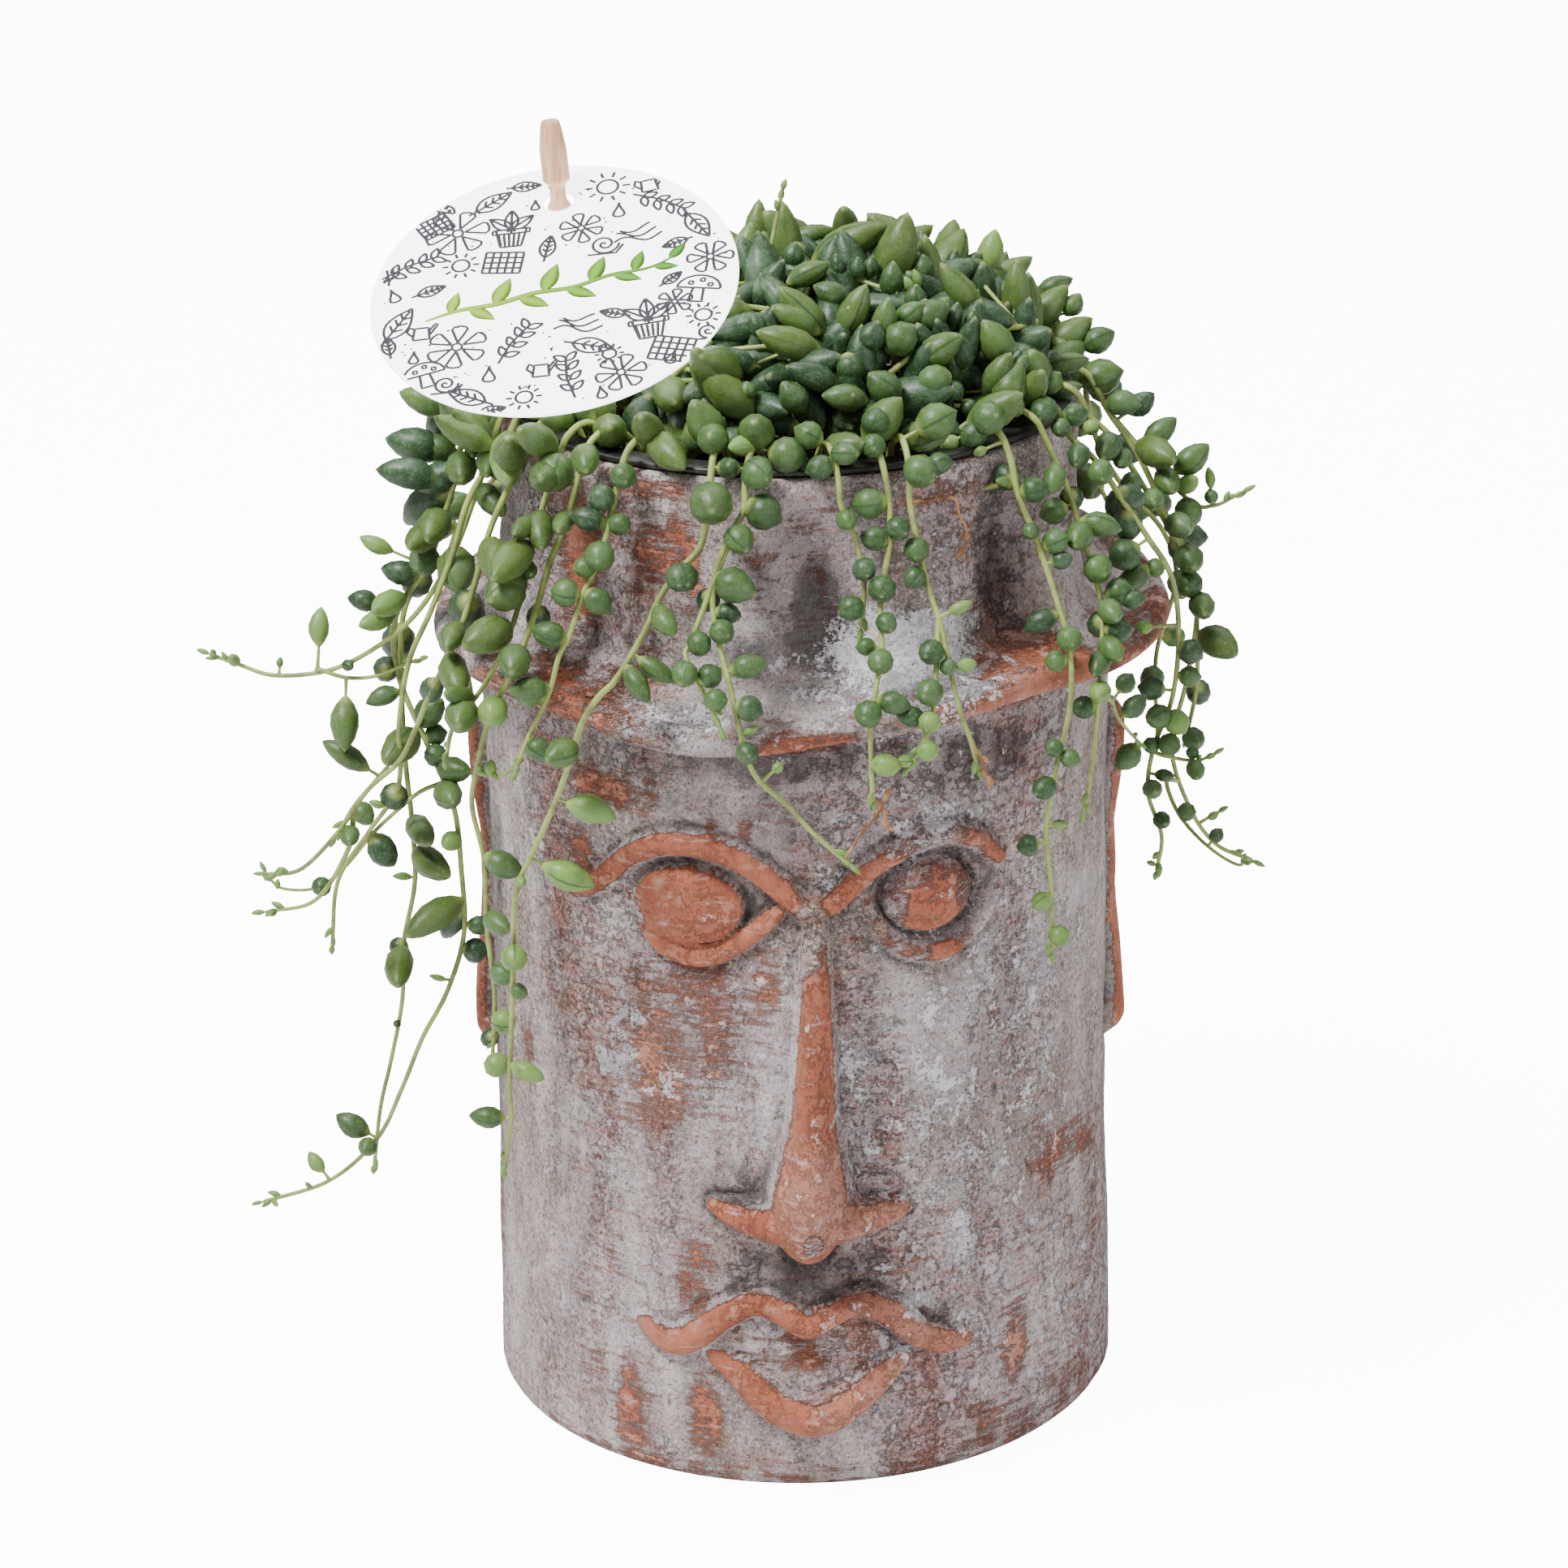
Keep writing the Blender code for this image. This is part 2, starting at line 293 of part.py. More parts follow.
           (76.3, 163.9, 6.2, 4.8, 0), (80.5, 162.7, 5.6, 4.8, 1), (84.1, 159, 5.6, 4.4, 0),
           (79, 157.9, 4.8, 4.4, 0), (75.1, 157.6, 3.5, 3.3, 0), (83.9, 155.9, 2.7, 2.6, 0),
           (70.1, 155.2, 6.4, 4.8, 0), (84.4, 151.9, 5.4, 3.6, 0), (78, 150.8, 4, 2.6, 0),
           (75.3, 147.5, 6, 3.8, 0), (77.4, 140.4, 4.6, 3.4, 0), (82.9, 142.4, 4, 3.7, 0),
           (89.3, 136.9, 3.4, 2.9, 0), (88.5, 141.5, 2.7, 1.7, 1), (90.6, 142.8, 2.5, 1.1, 1),
           (93.5, 132.6, 2.8, 1, 1), (75.4, 130.7, 2, 1.2, 1), (60.7, 166.5, 5.4, 5, 0),
           (63.9, 169.8, 7, 4.6, 1), (54.5, 157.4, 4.5, 4.1, 0), (58, 155, 4.8, 4, 0),
           (52.5, 148.4, 6.2, 5, 0), (49.1, 135.3, 5, 4.9, 0), (55.8, 139.9, 3.8, 2, 1),
           (51.9, 122.3, 4.8, 4.3, 1), (55.9, 114.2, 5, 4.6, 1), (53.3, 111, 2, 1.3, 1))),
    (-30, ((17.5, 228.6, 6.4, 6, 0), (17, 223.4, 5.4, 5.2, 0), (3.5, 226, 6.6, 6, 0),
           (-0.8, 221.7, 8.6, 7.6, 0), (5.7, 218.8, 6, 5.2, 0), (11.2, 221.8, 7.6, 5, 0),
           (-7.1, 218.3, 6.6, 6.4, 0), (-12.9, 219.1, 4.4, 4.2, 0), (-10.3, 223.9, 8, 4.6, 1),
           (-16, 225.4, 8.6, 6.6, 0), (30.2, 228.5, 9.4, 8, 0), (37.8, 225.3, 7, 5.6, 0),
           (32.8, 223.6, 4.6, 3.6, 1), (26.8, 217.6, 8, 7, 0), (30.8, 219.4, 5.6, 4.6, 0),
           (34.7, 219.3, 6, 4.6, -1), (34, 215.6, 5, 4.6, 0))),
)
# Large leaves of the crown, measured on one upright plane: the middle's X and Z there, length,
# width, the way its tip points in degrees (0 to the right, 90 up), and its tone
CROWN_PLANE = -30.0
SEEN_LEAVES = (
    (-7.6, 263.4, 12.5, 5.6, 120, -1), (-4.6, 267, 5.6, 4.2, 100, 0), (4.8, 268.3, 11.2, 4.9, -6, 0),
    (1, 264.2, 6.4, 5, 80, 0), (4, 260.5, 10.4, 5.2, 8, 0), (9.8, 266.4, 5, 4, 80, 0),
    (11.4, 265, 5, 2.8, 92, 1), (14.6, 267.7, 7.6, 4.4, 115, 0), (18.3, 267.1, 4, 2.4, 75, 0),
    (23.3, 265.9, 9, 4.4, 45, 0), (27.2, 263.4, 8.6, 4, 92, 0), (10, 262, 5.6, 3.6, 105, -1),
    (14.1, 261.3, 5.4, 3.4, 90, 0), (16.8, 261.6, 5.4, 3.6, 80, 0), (21, 258.8, 8.6, 5.2, 85, 0),
    (24.4, 257.8, 4, 2.4, 120, 1), (26.2, 259.1, 4.4, 2, 115, 1), (25.9, 255.1, 6, 4.6, 90, 0),
    (8.9, 256.1, 9, 5.6, 170, 0), (13.2, 252.3, 13.4, 6.4, 60, 0), (2.5, 252.5, 15.5, 6.6, 142, 0),
    (1.3, 250.8, 12, 6, 160, 0), (-0.2, 246, 15, 7, 172, 0), (12.4, 240.3, 6.6, 6, -80, 0),
    (-10.6, 254.4, 8, 5, 110, 1), (-6.6, 249.6, 6, 4.4, 120, -1), (-10.9, 242.6, 8.6, 4.6, 160, -1),
    (-14, 247.4, 6, 4.6, 150, 0), (-13, 235.2, 17, 8, 136, 0), (-9, 235.8, 4.4, 4, 90, 0),
    (0.4, 234.3, 8.6, 6.2, 125, 0), (4.6, 238.6, 13, 6, 165, -1), (16.7, 246.9, 8, 6, 60, -1),
    (19.4, 249.9, 11.5, 5.6, 80, 0), (22.8, 246.4, 8.6, 7.4, 40, 0), (24.9, 251.4, 8, 5.5, 30, 0),
    (19.1, 236, 9.4, 7, 140, 0), (11.2, 233.8, 10.4, 6, 176, 0), (27.4, 266.5, 5.6, 3.4, 100, 0),
    (31.7, 264.5, 4.8, 2.4, 70, 1), (33.7, 262.6, 5.4, 3.6, 80, -1), (27.4, 261.1, 6.6, 5, 90, 0),
    (41, 264, 11.4, 6.2, 76, 1), (35.2, 255.9, 16, 6.4, 138, 0), (46.5, 255.1, 16.5, 6.4, 98, 0),
    (52.7, 252.4, 14, 7, 46, 0), (54.5, 256.8, 9, 4.6, 15, 0), (58.3, 253, 6, 4.6, 60, 0),
    (57.3, 246.6, 13, 7, 36, 0), (63.7, 245.3, 8, 6, 30, 0), (59.1, 243, 4, 2.6, 60, 1),
    (64.4, 237.5, 10, 8, 20, 0), (56.7, 240.3, 11, 5, 10, 0), (56.8, 234.5, 8, 4.6, 28, 0),
    (54, 236.5, 6, 5, 60, 0), (42.8, 238.3, 11.6, 6.2, 66, 0), (47.1, 240.1, 6.4, 3.8, 56, 0),
    (42.2, 245, 12, 7.4, 130, 0), (47.1, 235.3, 5.4, 4.6, 30, 0), (31, 243.9, 11.4, 7, 28, 0),
    (35.1, 243.2, 9, 5.4, 110, -1), (29, 251.3, 9.4, 7, 20, 0), (31.5, 253.1, 5, 3.6, 50, 0),
    (29.6, 237.3, 8, 6.6, 200, 0), (34, 251.2, 6, 3.6, 80, -1), (37.6, 250.2, 5, 3.4, 85, 0),
    (33.8, 234.9, 5, 4.4, -60, -1), (36.9, 231.3, 4, 3.8, -70, 0),
)

MATERIALS = {
    "terracotta": ((0.36, 0.27, 0.23), 0.92),
    "black_plastic": ((0.02, 0.02, 0.022), 0.5),
    "soil": ((0.05, 0.035, 0.025), 0.95),
    "card": ((0.9, 0.9, 0.9), 0.6),
    "wood": ((0.68, 0.42, 0.24), 0.6),
    "leaf_green": ((0.05, 0.16, 0.05), 0.45),
}


def material(name):
    """The piece's plain material."""
    found = bpy.data.materials.get(name)
    if found:
        return found
    colour, roughness = MATERIALS[name]
    made = bpy.data.materials.new(name)
    made.use_nodes = True
    shader = made.node_tree.nodes["Principled BSDF"]
    shader.inputs["Base Color"].default_value = (*colour, 1.0)
    shader.inputs["Roughness"].default_value = roughness
    return made


def add_object(name, points, faces, finish=None):
    """An object from points in millimetres."""
    mesh = bpy.data.meshes.new(name)
    mesh.from_pydata([tuple(c * MM for c in p) for p in points], [], faces)
    mesh.validate()
    if finish:
        mesh.materials.append(material(finish))
    made = bpy.data.objects.new(name, mesh)
    bpy.context.collection.objects.link(made)
    return made


def turned(name, profile, sides, finish=None, radius_at=None):
    """A lathe-turned solid. The profile runs from the axis at the bottom to the axis at the top."""
    radius_at = radius_at or (lambda radius, height, side: radius)
    rings = profile[1:-1]
    points = [(0, 0, profile[0][1])]
    for radius, height in rings:
        for side in range(sides):
            angle = 2 * math.pi * side / sides
            r = radius_at(radius, height, side)
            points.append((r * math.cos(angle), r * math.sin(angle), height))
    points.append((0, 0, profile[-1][1]))
    faces = []
    for side in range(sides):
        after = (side + 1) % sides
        faces.append((0, 1 + after, 1 + side))
        for ring in range(len(rings) - 1):
            low, high = 1 + ring * sides, 1 + (ring + 1) * sides
            faces.append((low + side, low + after, high + after, high + side))
        last = 1 + (len(rings) - 1) * sides
        faces.append((last + side, last + after, len(points) - 1))
    return add_object(name, points, faces, finish)


def cylinder_cutter(name, radius, low, high, sides, centre):
    """An upright cylinder that only cuts."""
    cutter = turned(name, ((0, low), (radius, low), (radius, high), (0, high)), sides)
    cutter.data.transform(Matrix.Translation(Vector(centre) * MM))
    cutter.hide_render = True
    cutter.display_type = "WIRE"
    return cutter


def cut(target, cutter):
    """Cuts one object out of another."""
    difference = target.modifiers.new(cutter.name, "BOOLEAN")
    difference.operation = "DIFFERENCE"
    difference.object = cutter


def join(name, objects):
    """Several separate bodies made one object, in the first one's place."""
    combined = bmesh.new()
    for each in objects:
        combined.from_mesh(each.data)
    mesh = objects[0].data
    combined.to_mesh(mesh)
    combined.free()
    objects[0].name = name
    for each in objects[1:]:
        bpy.data.objects.remove(each)
    return objects[0]


def fuse(body, pieces):
    """One solid of a body and the pieces that grow from it."""
    group = bpy.data.collections.new("growing")
    bpy.context.scene.collection.children.link(group)
    for piece in pieces:
        bpy.context.collection.objects.unlink(piece)
        group.objects.link(piece)
    union = body.modifiers.new("growing", "BOOLEAN")
    union.operation = "UNION"
    union.operand_type = "COLLECTION"
    union.solver = "MANIFOLD"
    union.collection = group
    depsgraph = bpy.context.evaluated_depsgraph_get()
    fused = bpy.data.meshes.new_from_object(body.evaluated_get(depsgraph))
    body.modifiers.clear()
    finish = body.data.materials[0]
    body.data = fused
    body.data.materials.clear()
    body.data.materials.append(finish)
    for piece in pieces:
        bpy.data.objects.remove(piece)
    bpy.data.collections.remove(group)
    return body


def between(table, at):
    """The value of a table of (place, value) at a place, eased from one entry to the next."""
    if at <= table[0][0]:
        return table[0][1]
    for (low, first), (high, second) in zip(table, table[1:]):
        if at <= high:
            share = (at - low) / (high - low)
            share = share * share * (3 - 2 * share)
            return first + (second - first) * share
    return table[-1][1]


# The planter


def ridge_rise(ridge, along, height):
    """Rise of a ridge at points of the wall, rounded over its line and gone at its half width."""
    line = smooth_line(ridge, 1.5)
    best = np.zeros_like(along)
    for first, second in zip(line, line[1:]):
        step = second - first
        share = ((along - first[0]) * step[0] + (height - first[1]) * step[1]) / (step[0] ** 2 + step[1] ** 2)
        share = np.clip(share, 0, 1)
        away = np.hypot(along - first[0] - share * step[0], height - first[1] - share * step[1])
        rise, half = first[2] + share * step[2], first[3] + share * step[3]
        best = np.maximum(best, rise * np.clip(1 - (away / half) ** 2, 0, 1) ** 1.4)
    return best


def smooth_line(points, step):
    """Points about a step apart on a smooth curve through the given points."""
    knots = [np.array(p, float) for p in points]
    knots = [2 * knots[0] - knots[1]] + knots + [2 * knots[-1] - knots[-2]]
    line = []
    for a, b, c, d in zip(knots, knots[1:], knots[2:], knots[3:]):
        count = max(2, math.ceil(np.linalg.norm((c - b)[:3]) / step))
        for i in range(count):
            t = i / count
            line.append(0.5 * (2 * b + (c - a) * t + (2 * a - 5 * b + 4 * c - d) * t ** 2
                               + (3 * b - a - 3 * c + d) * t ** 3))
    line.append(knots[-2])
    return line


def face_relief(along, height):
    """How far the wall stands out from its plain cylinder, at arc lengths and heights on the wall."""
    ground = np.zeros_like(along)
    for u, z, half_width, half_height, depth in HOLLOWS:
        away = ((along - u) / half_width) ** 2 + ((height - z) / half_height) ** 2
        ground -= depth * np.exp(-1.5 * away)
    rise = np.zeros_like(along)
    for ridge in RIDGES:
        rise = np.maximum(rise, ridge_rise(ridge, along, height))
    for u, z, half_width, half_height, top in BALLS:
        away = ((along - u) / half_width) ** 2 + ((height - z) / half_height) ** 2
        rise = np.maximum(rise, top * np.sqrt(np.clip(1 - away, 0, 1)) ** 0.9)
    for ridge in (EAR_HELIX, EAR_FOLD):
        rise = np.maximum(rise, EAR_SCALE * ridge_rise(ridge, np.abs(along), height))
    return ground + rise


def pleat_depth(azimuth):
    """Depth of the hat's pleats at an azimuth in degrees."""
    depth = 0.0
    for middle, half_width, deepest in PLEATS:
        away = (azimuth - middle + 180) % 360 - 180
        depth += deepest * math.exp(-(away / half_width) ** 2)
    return depth


def planter_section(azimuth, reliefs):
    """The planter's outline at an azimuth, from the middle of its base to the middle of its floor."""
    low = between(BRIM_EDGES, azimuth)
    reach = between(BRIM_RADII, azimuth)
    wall = between(WALL_RADII, low)
    outline = [(0.0, 0.0), (66.5, 0.0), (68.6, 0.9)]
    for row, relief in enumerate(reliefs):
        z = wall_height(row, low)
        outline.append((between(WALL_RADII, z) + relief, z))
    outline += [(wall + 1.6, low + 0.5), (wall + 5.0, low + 0.8)]
    for angle in (-90, -50, -10, 30, 65, 95):
        turn = math.radians(angle)
        outline.append((reach - BRIM_ROLL + BRIM_ROLL * math.cos(turn),
                        low + BRIM_ROLL + BRIM_ROLL * math.sin(turn)))
    pleat = pleat_depth(azimuth)
    foot_height, foot_radius = CROWN_RADII[0]
    for share in (0.2, 0.4, 0.6, 0.8, 1.0):
        radius = (reach - 4.0) * (1 - share) + (foot_radius - pleat * 0.8) * share
        outline.append((radius, low + 5.5 + (foot_height - low - 5.5) * share ** 1.8 - pleat * 0.3 * share))
    for z in (191, 195, 199, 203, 207, 211, 215, 219, 222.5):
        fade = 1 - ((z - foot_height) / (POT_HEIGHT - foot_height)) ** 1.5
        outline.append((between(CROWN_RADII, z) - pleat * fade, z))
    rim = CROWN_RADII[-1][1]
    outline += [(rim - 0.2, POT_HEIGHT - 1.3), (rim - 0.8, POT_HEIGHT - 0.3), (rim - 1.7, POT_HEIGHT)]
    inner = POT_INNER_RADIUS
    outline += [(inner + 1.2, POT_HEIGHT), (inner + 0.3, POT_HEIGHT - 0.4), (inner, POT_HEIGHT - 1.3)]
    outline += [(inner, z) for z in (200, 160, 120, 80, 40, POT_FLOOR + 2.5)]
    outline += [(inner - 0.8, POT_FLOOR + 0.7), (inner - 2.5, POT_FLOOR), (0.0, POT_FLOOR)]
    return outline


def wall_height(row, low):
    """Height of a wall row under a brim whose lower edge is at low."""
    first, last = 3.0, low - 1.2
    return first + (last - first) * row / (WALL_ROWS - 1)


def make_planter():
    """The planter: a fine skin over its form, then only as many facets as the form needs."""
    azimuths = [-180 + 360 * i / POT_COLUMNS for i in range(POT_COLUMNS)]
    along = np.empty((POT_COLUMNS, WALL_ROWS))
    height = np.empty_like(along)
    for column, azimuth in enumerate(azimuths):
        along[column] = math.radians(azimuth) * FACE_RADIUS
        low = between(BRIM_EDGES, azimuth)
        height[column] = [wall_height(row, low) for row in range(WALL_ROWS)]
    reliefs = face_relief(along, height)
    sections = [planter_section(azimuth, relief) for azimuth, relief in zip(azimuths, reliefs)]
    rings = len(sections[0]) - 2
    points = [(0, 0, 0), (0, 0, POT_FLOOR)]
    for azimuth, section in zip(azimuths, sections):
        turn = math.radians(azimuth)
        points += [(r * math.sin(turn), -r * math.cos(turn), z) for r, z in section[1:-1]]
    faces = []
    for column in range(POT_COLUMNS):
        here, after = 2 + column * rings, 2 + (column + 1) % POT_COLUMNS * rings
        faces.append((0, after, here))
        faces += [(here + i, after + i, after + i + 1, here + i + 1) for i in range(rings - 1)]
        faces.append((here + rings - 1, after + rings - 1, 1))
    planter = add_object("head_planter", points, faces, "terracotta")
    fewer = planter.modifiers.new("facets", "DECIMATE")
    triangles = 2 * POT_COLUMNS * rings
    fewer.ratio = POT_TRIANGLES / triangles
    return planter


# Nursery pot, soil, card and peg


def liner_inner_radius(z):
    """Inner radius of the nursery pot at a height."""
    share = (z - LINER_FOOT) / (LINER_LIP_FOOT - LINER_FOOT)
    return LINER_FOOT_RADIUS - LINER_WALL + (LINER_TOP_RADIUS - LINER_FOOT_RADIUS) * share


def make_liner():
    """Thin nursery pot, whose lip lies on the planter's rim, with drain holes in its floor."""
    floor = LINER_FOOT + LINER_WALL
    profile = ((0, LINER_FOOT), (LINER_FOOT_RADIUS, LINER_FOOT), (LINER_TOP_RADIUS, LINER_LIP_FOOT),
               (LINER_LIP_RADIUS, LINER_LIP_FOOT), (LINER_LIP_RADIUS, LINER_LIP_TOP),
               (liner_inner_radius(LINER_LIP_TOP), LINER_LIP_TOP), (liner_inner_radius(floor), floor),
               (0, floor))
    liner = turned("nursery_pot", profile, LINER_SIDES, "black_plastic")
    holes = []
    for i in range(DRAIN_HOLES):
        angle = 2 * math.pi * (i + 0.5) / DRAIN_HOLES
        centre = (DRAIN_HOLE_RING * math.cos(angle), DRAIN_HOLE_RING * math.sin(angle), LINER_FOOT)
        holes.append(cylinder_cutter("drain_hole", DRAIN_HOLE_RADIUS, -2, LINER_WALL + 2, 8, centre))
    cut(liner, join("drain_holes", holes))
    return liner


def root_place(azimuth, z):
    """Where a stem stands in the soil."""
    turn = math.radians(azimuth)
    return (ROOT_RING * math.sin(turn), -ROOT_RING * math.cos(turn), z)


def make_soil(root_azimuths):
    """Potting soil, with a plain hole for each stem, the crown's neck and the peg."""
    foot = LINER_FOOT + LINER_WALL + SEAT_GAP
    profile = ((0, foot), (liner_inner_radius(foot) - SOIL_GAP, foot),
               (liner_inner_radius(SOIL_TOP) - SOIL_GAP, SOIL_TOP), (0, SOIL_TOP))
    soil = turned("soil", profile, LINER_SIDES, "soil")
    depth = ROOT_DEPTH + SEAT_GAP
    holes = []
    for azimuth in root_azimuths:
        holes.append(cylinder_cutter("hole", STEM_RADIUS + STEM_HOLE_GAP, -depth, 2, 4,
                                     root_place(azimuth, SOIL_TOP)))
    neck = (CORE_CENTRE[0], CORE_CENTRE[1], SOIL_TOP)
    holes.append(cylinder_cutter("hole", CORE_NECK_RADIUS + SEAT_GAP, -depth, 2, 12, neck))
    peg_hole = cylinder_cutter("hole", PEG_PROFILE[3][0] + NODE_GAP, -1.5, 60.0, 10, (0, 0, 0))
    peg_hole.data.transform(peg_place())
    holes.append(peg_hole)
    cut(soil, join("stem_holes", holes))
    return soil


def card_place():
    """Turns and moves the flat card into its place."""
    tilt = Matrix.Rotation(math.radians(CARD_TILT), 4, "X")
    roll = Matrix.Rotation(-math.radians(CARD_ROLL), 4, "Y")
    return Matrix.Translation(Vector(CARD_CENTRE) * MM) @ tilt @ roll


def hole_centre():
    """Middle of the card's hole, in millimetres."""
    return card_place() @ (Vector((*CARD_HOLE, 0)) * MM) / MM


def peg_place():
    """The peg leans a little, and its collar sits in the card's hole."""
    lean = Matrix.Rotation(-math.radians(PEG_LEAN), 4, "Y")
    top = PEG_PROFILE[-1][1]
    axis = lean @ Vector((0, 0, 1))
    hole = hole_centre()
    foot = hole + axis * ((PEG_TOP - hole.z) / axis.z - top)
    return Matrix.Translation(foot * MM) @ lean


def make_card():
    """Round label card with a hole near its upper edge."""
    half = CARD_THICKNESS / 2
    card = turned("label_card", ((0, -half), (CARD_RADIUS, -half), (CARD_RADIUS, half), (0, half)),
                  CARD_SIDES, "card")
    hole = cylinder_cutter("card_hole", CARD_HOLE_RADIUS, -3, 3, 16, (*CARD_HOLE, 0))
    cut(card, hole)
    card.matrix_world = card_place()
    hole.matrix_world = card_place()
    return card


def make_peg():
    """Turned wooden peg with a fluted head, a collar in the card's hole and a point in the soil."""
    def fluted(radius, height, side):
        grooved = PEG_FLUTED[0] < height < PEG_FLUTED[1] and side % 2
        return radius - PEG_FLUTE_DEPTH if grooved else radius
    peg = turned("wooden_peg", PEG_PROFILE, 2 * PEG_FLUTES, "wood", fluted)
    peg.matrix_world = peg_place()
    return peg


# Room for the plant. Stems, beads and leaves are strings of balls here, each with an owner.

PLANTER_GUARD = ((0, 0), (72, 0), (71, 168), (82.2, 170.5), (83.0, 178), (80.5, 183.8), (72, 187),
                 (66.5, 191.5), (65, 200), (63.6, 226.6), (62.0, 228.6), (54.0, 228.6), (53.0, 219.0),
                 (0, 219.0))
PEG_GUARD_RADIUS = 3.2


class Room:
    """What is already placed, and whether something new is clear of it."""

    def __init__(self):
        self.centres = np.zeros((0, 3))
        self.radii = np.zeros(0)
        self.owners = np.zeros(0, int)
        place = card_place()
        self.card_middle = np.array(CARD_CENTRE)
        self.card_normal = np.array(place.to_3x3() @ Vector((0, 0, 1)))
        peg = peg_place()
        self.peg_foot = np.array(peg.translation / MM)
        self.peg_top = np.array((peg @ (Vector((0, 0, PEG_PROFILE[-1][1])) * MM)) / MM)

    def add(self, centres, radii, owner):
        self.centres = np.vstack([self.centres, centres])
        self.radii = np.concatenate([self.radii, radii])
        self.owners = np.concatenate([self.owners, np.full(len(radii), owner)])

    def planter_distance(self, centres):
        """Distance outside the planter, its nursery pot and the soil, negative inside them."""
        x, z = np.hypot(centres[:, 0], centres[:, 1]), centres[:, 2]
        nearest = np.full(len(x), 1e9)
        inside = np.zeros(len(x), bool)
        for (x1, z1), (x2, z2) in zip(PLANTER_GUARD, PLANTER_GUARD[1:]):
            share = np.clip(((x - x1) * (x2 - x1) + (z - z1) * (z2 - z1))
                            / ((x2 - x1) ** 2 + (z2 - z1) ** 2), 0, 1)
            nearest = np.minimum(nearest, np.hypot(x - x1 - share * (x2 - x1), z - z1 - share * (z2 - z1)))
            if z1 != z2:
                crosses = (z1 > z) != (z2 > z)
                inside ^= crosses & (x < x1 + (z - z1) * (x2 - x1) / (z2 - z1))
        return np.where(inside, -nearest, nearest)

    def fits(self, centres, radii, owner, own_share, gap=NODE_GAP):
        """True where balls are clear of all but the stem they grow on, and mostly of its other beads.

        A stem's own number is -1 less its owner's, so its beads can tell it from other stems.
        """
        if (self.planter_distance(centres) < radii + gap).any():
            return False
        offset = centres - self.card_middle
        height = offset @ self.card_normal
        flat = np.linalg.norm(offset - height[:, None] * self.card_normal, axis=1)
        if (np.hypot(height, np.maximum(flat - CARD_RADIUS, 0)) < radii + gap + 0.6).any():
            return False
        axis = self.peg_top - self.peg_foot
        share = np.clip((centres - self.peg_foot) @ axis / (axis @ axis), 0, 1)
        from_peg = np.linalg.norm(centres - self.peg_foot - share[:, None] * axis, axis=1)
        if (from_peg < radii + PEG_GUARD_RADIUS + gap).any():
            return False
        apart = np.linalg.norm(centres[:, None] - self.centres[None], axis=2)
        touch = radii[:, None] + self.radii[None]
        own = self.owners == owner
        other = ~own & (self.owners != -1 - owner)
        if (apart[:, other] < touch[:, other] + gap).any():
            return False
        return not (apart[:, own] < touch[:, own] * own_share).any()


BALL_SHARES = np.array((0.3, 0.5, 0.7, 0.92))
BALL_RADII = np.array((0.42, 0.5, 0.42, 0.16))
STALK_SHARES = np.array((0.3, 0.5, 0.7, 0.85))


def bead_balls(base, direction, length, width):
    """The balls that stand for a bead or leaf."""
    return base + np.outer(BALL_SHARES * length, direction), BALL_RADII * width


def stem_balls(line, radius):
    return np.array(line), np.full(len(line), radius)


def rim_route(azimuth, first):
    """From the soil up and over the lips, toward the first point outside."""
    turn = math.radians(azimuth)
    out = math.atan2(first[0], -first[1])
    away = (out - turn + math.pi) % (2 * math.pi) - math.pi
    steps = ((ROOT_RING, SOIL_TOP - ROOT_DEPTH, 0.0), (ROOT_RING, SOIL_TOP + 1.5, 0.0),
             (ROOT_RING + 2.5, 227.5, 0.25), (57.5, 232.4, 0.55), (63.0, 231.0, 0.8), (66.0, 226.0, 0.95))
    turns = [turn + away * share for r, z, share in steps]
    return [(r * math.sin(t), -r * math.cos(t), z) for (r, z, share), t in zip(steps, turns)]


def hanging_route(azimuth, length):
    """A stem that follows the hat down over its brim and hangs, with a slight seeded sway."""
    draw = random.Random(azimuth)
    falls = ((67.5, 216.0), (70.5, 206.0), (76.0, 197.0), (83.5, 188.0), (87.0, 176.0))
    route = []
    for radius, z in falls:
        turn = math.radians(azimuth + draw.uniform(-2, 2))
        route.append((radius * math.sin(turn), -radius * math.cos(turn), z))
    hanging = length - 55.0
    drops = max(1, round(hanging / 16.0))
    drift = draw.uniform(-3, 3)
    for i in range(1, drops + 1):
        turn = math.radians(azimuth + drift * i / drops + draw.uniform(-1, 1))
        radius = 86.5 - 4.0 * i / drops + draw.uniform(-1.0, 1.5)
        route.append((radius * math.sin(turn), -radius * math.cos(turn), 176.0 - hanging * i / drops))
    return route


def stem_plans():
    """Every trailing stem: name, root azimuth, its line, and the lines of its forks."""
    plans = []
    routes = list(STRINGS)
    for i, (azimuth, length) in enumerate(BACK_STRINGS):
        routes.append((f"string_back_{i + 1}", azimuth, hanging_route(azimuth, length)))
    for name, azimuth, route in routes:
        line = smooth_line(rim_route(azimuth, route[0]) + list(route), LINE_STEP)
        forks = []
        for parent, share, side_route in FORKS:
            if parent == name:
                start = line[int(share * (len(line) - 1))]
                forks.append(smooth_line([tuple(start)] + list(side_route), LINE_STEP))
        plans.append((name, azimuth, line, forks))
    return plans


def bead_size(share, draw):
    """Length and width of a bead at a share of its stem, from the rim to the tip."""
    length, width = 10.0 - 3.0 * share, 7.8 - 2.4 * share
    if share > YOUNG_SHARE:
        length, width = length * YOUNG_SIZE, width * YOUNG_SIZE
    grown = draw.uniform(0.88, 1.1)
    return length * grown, width * grown


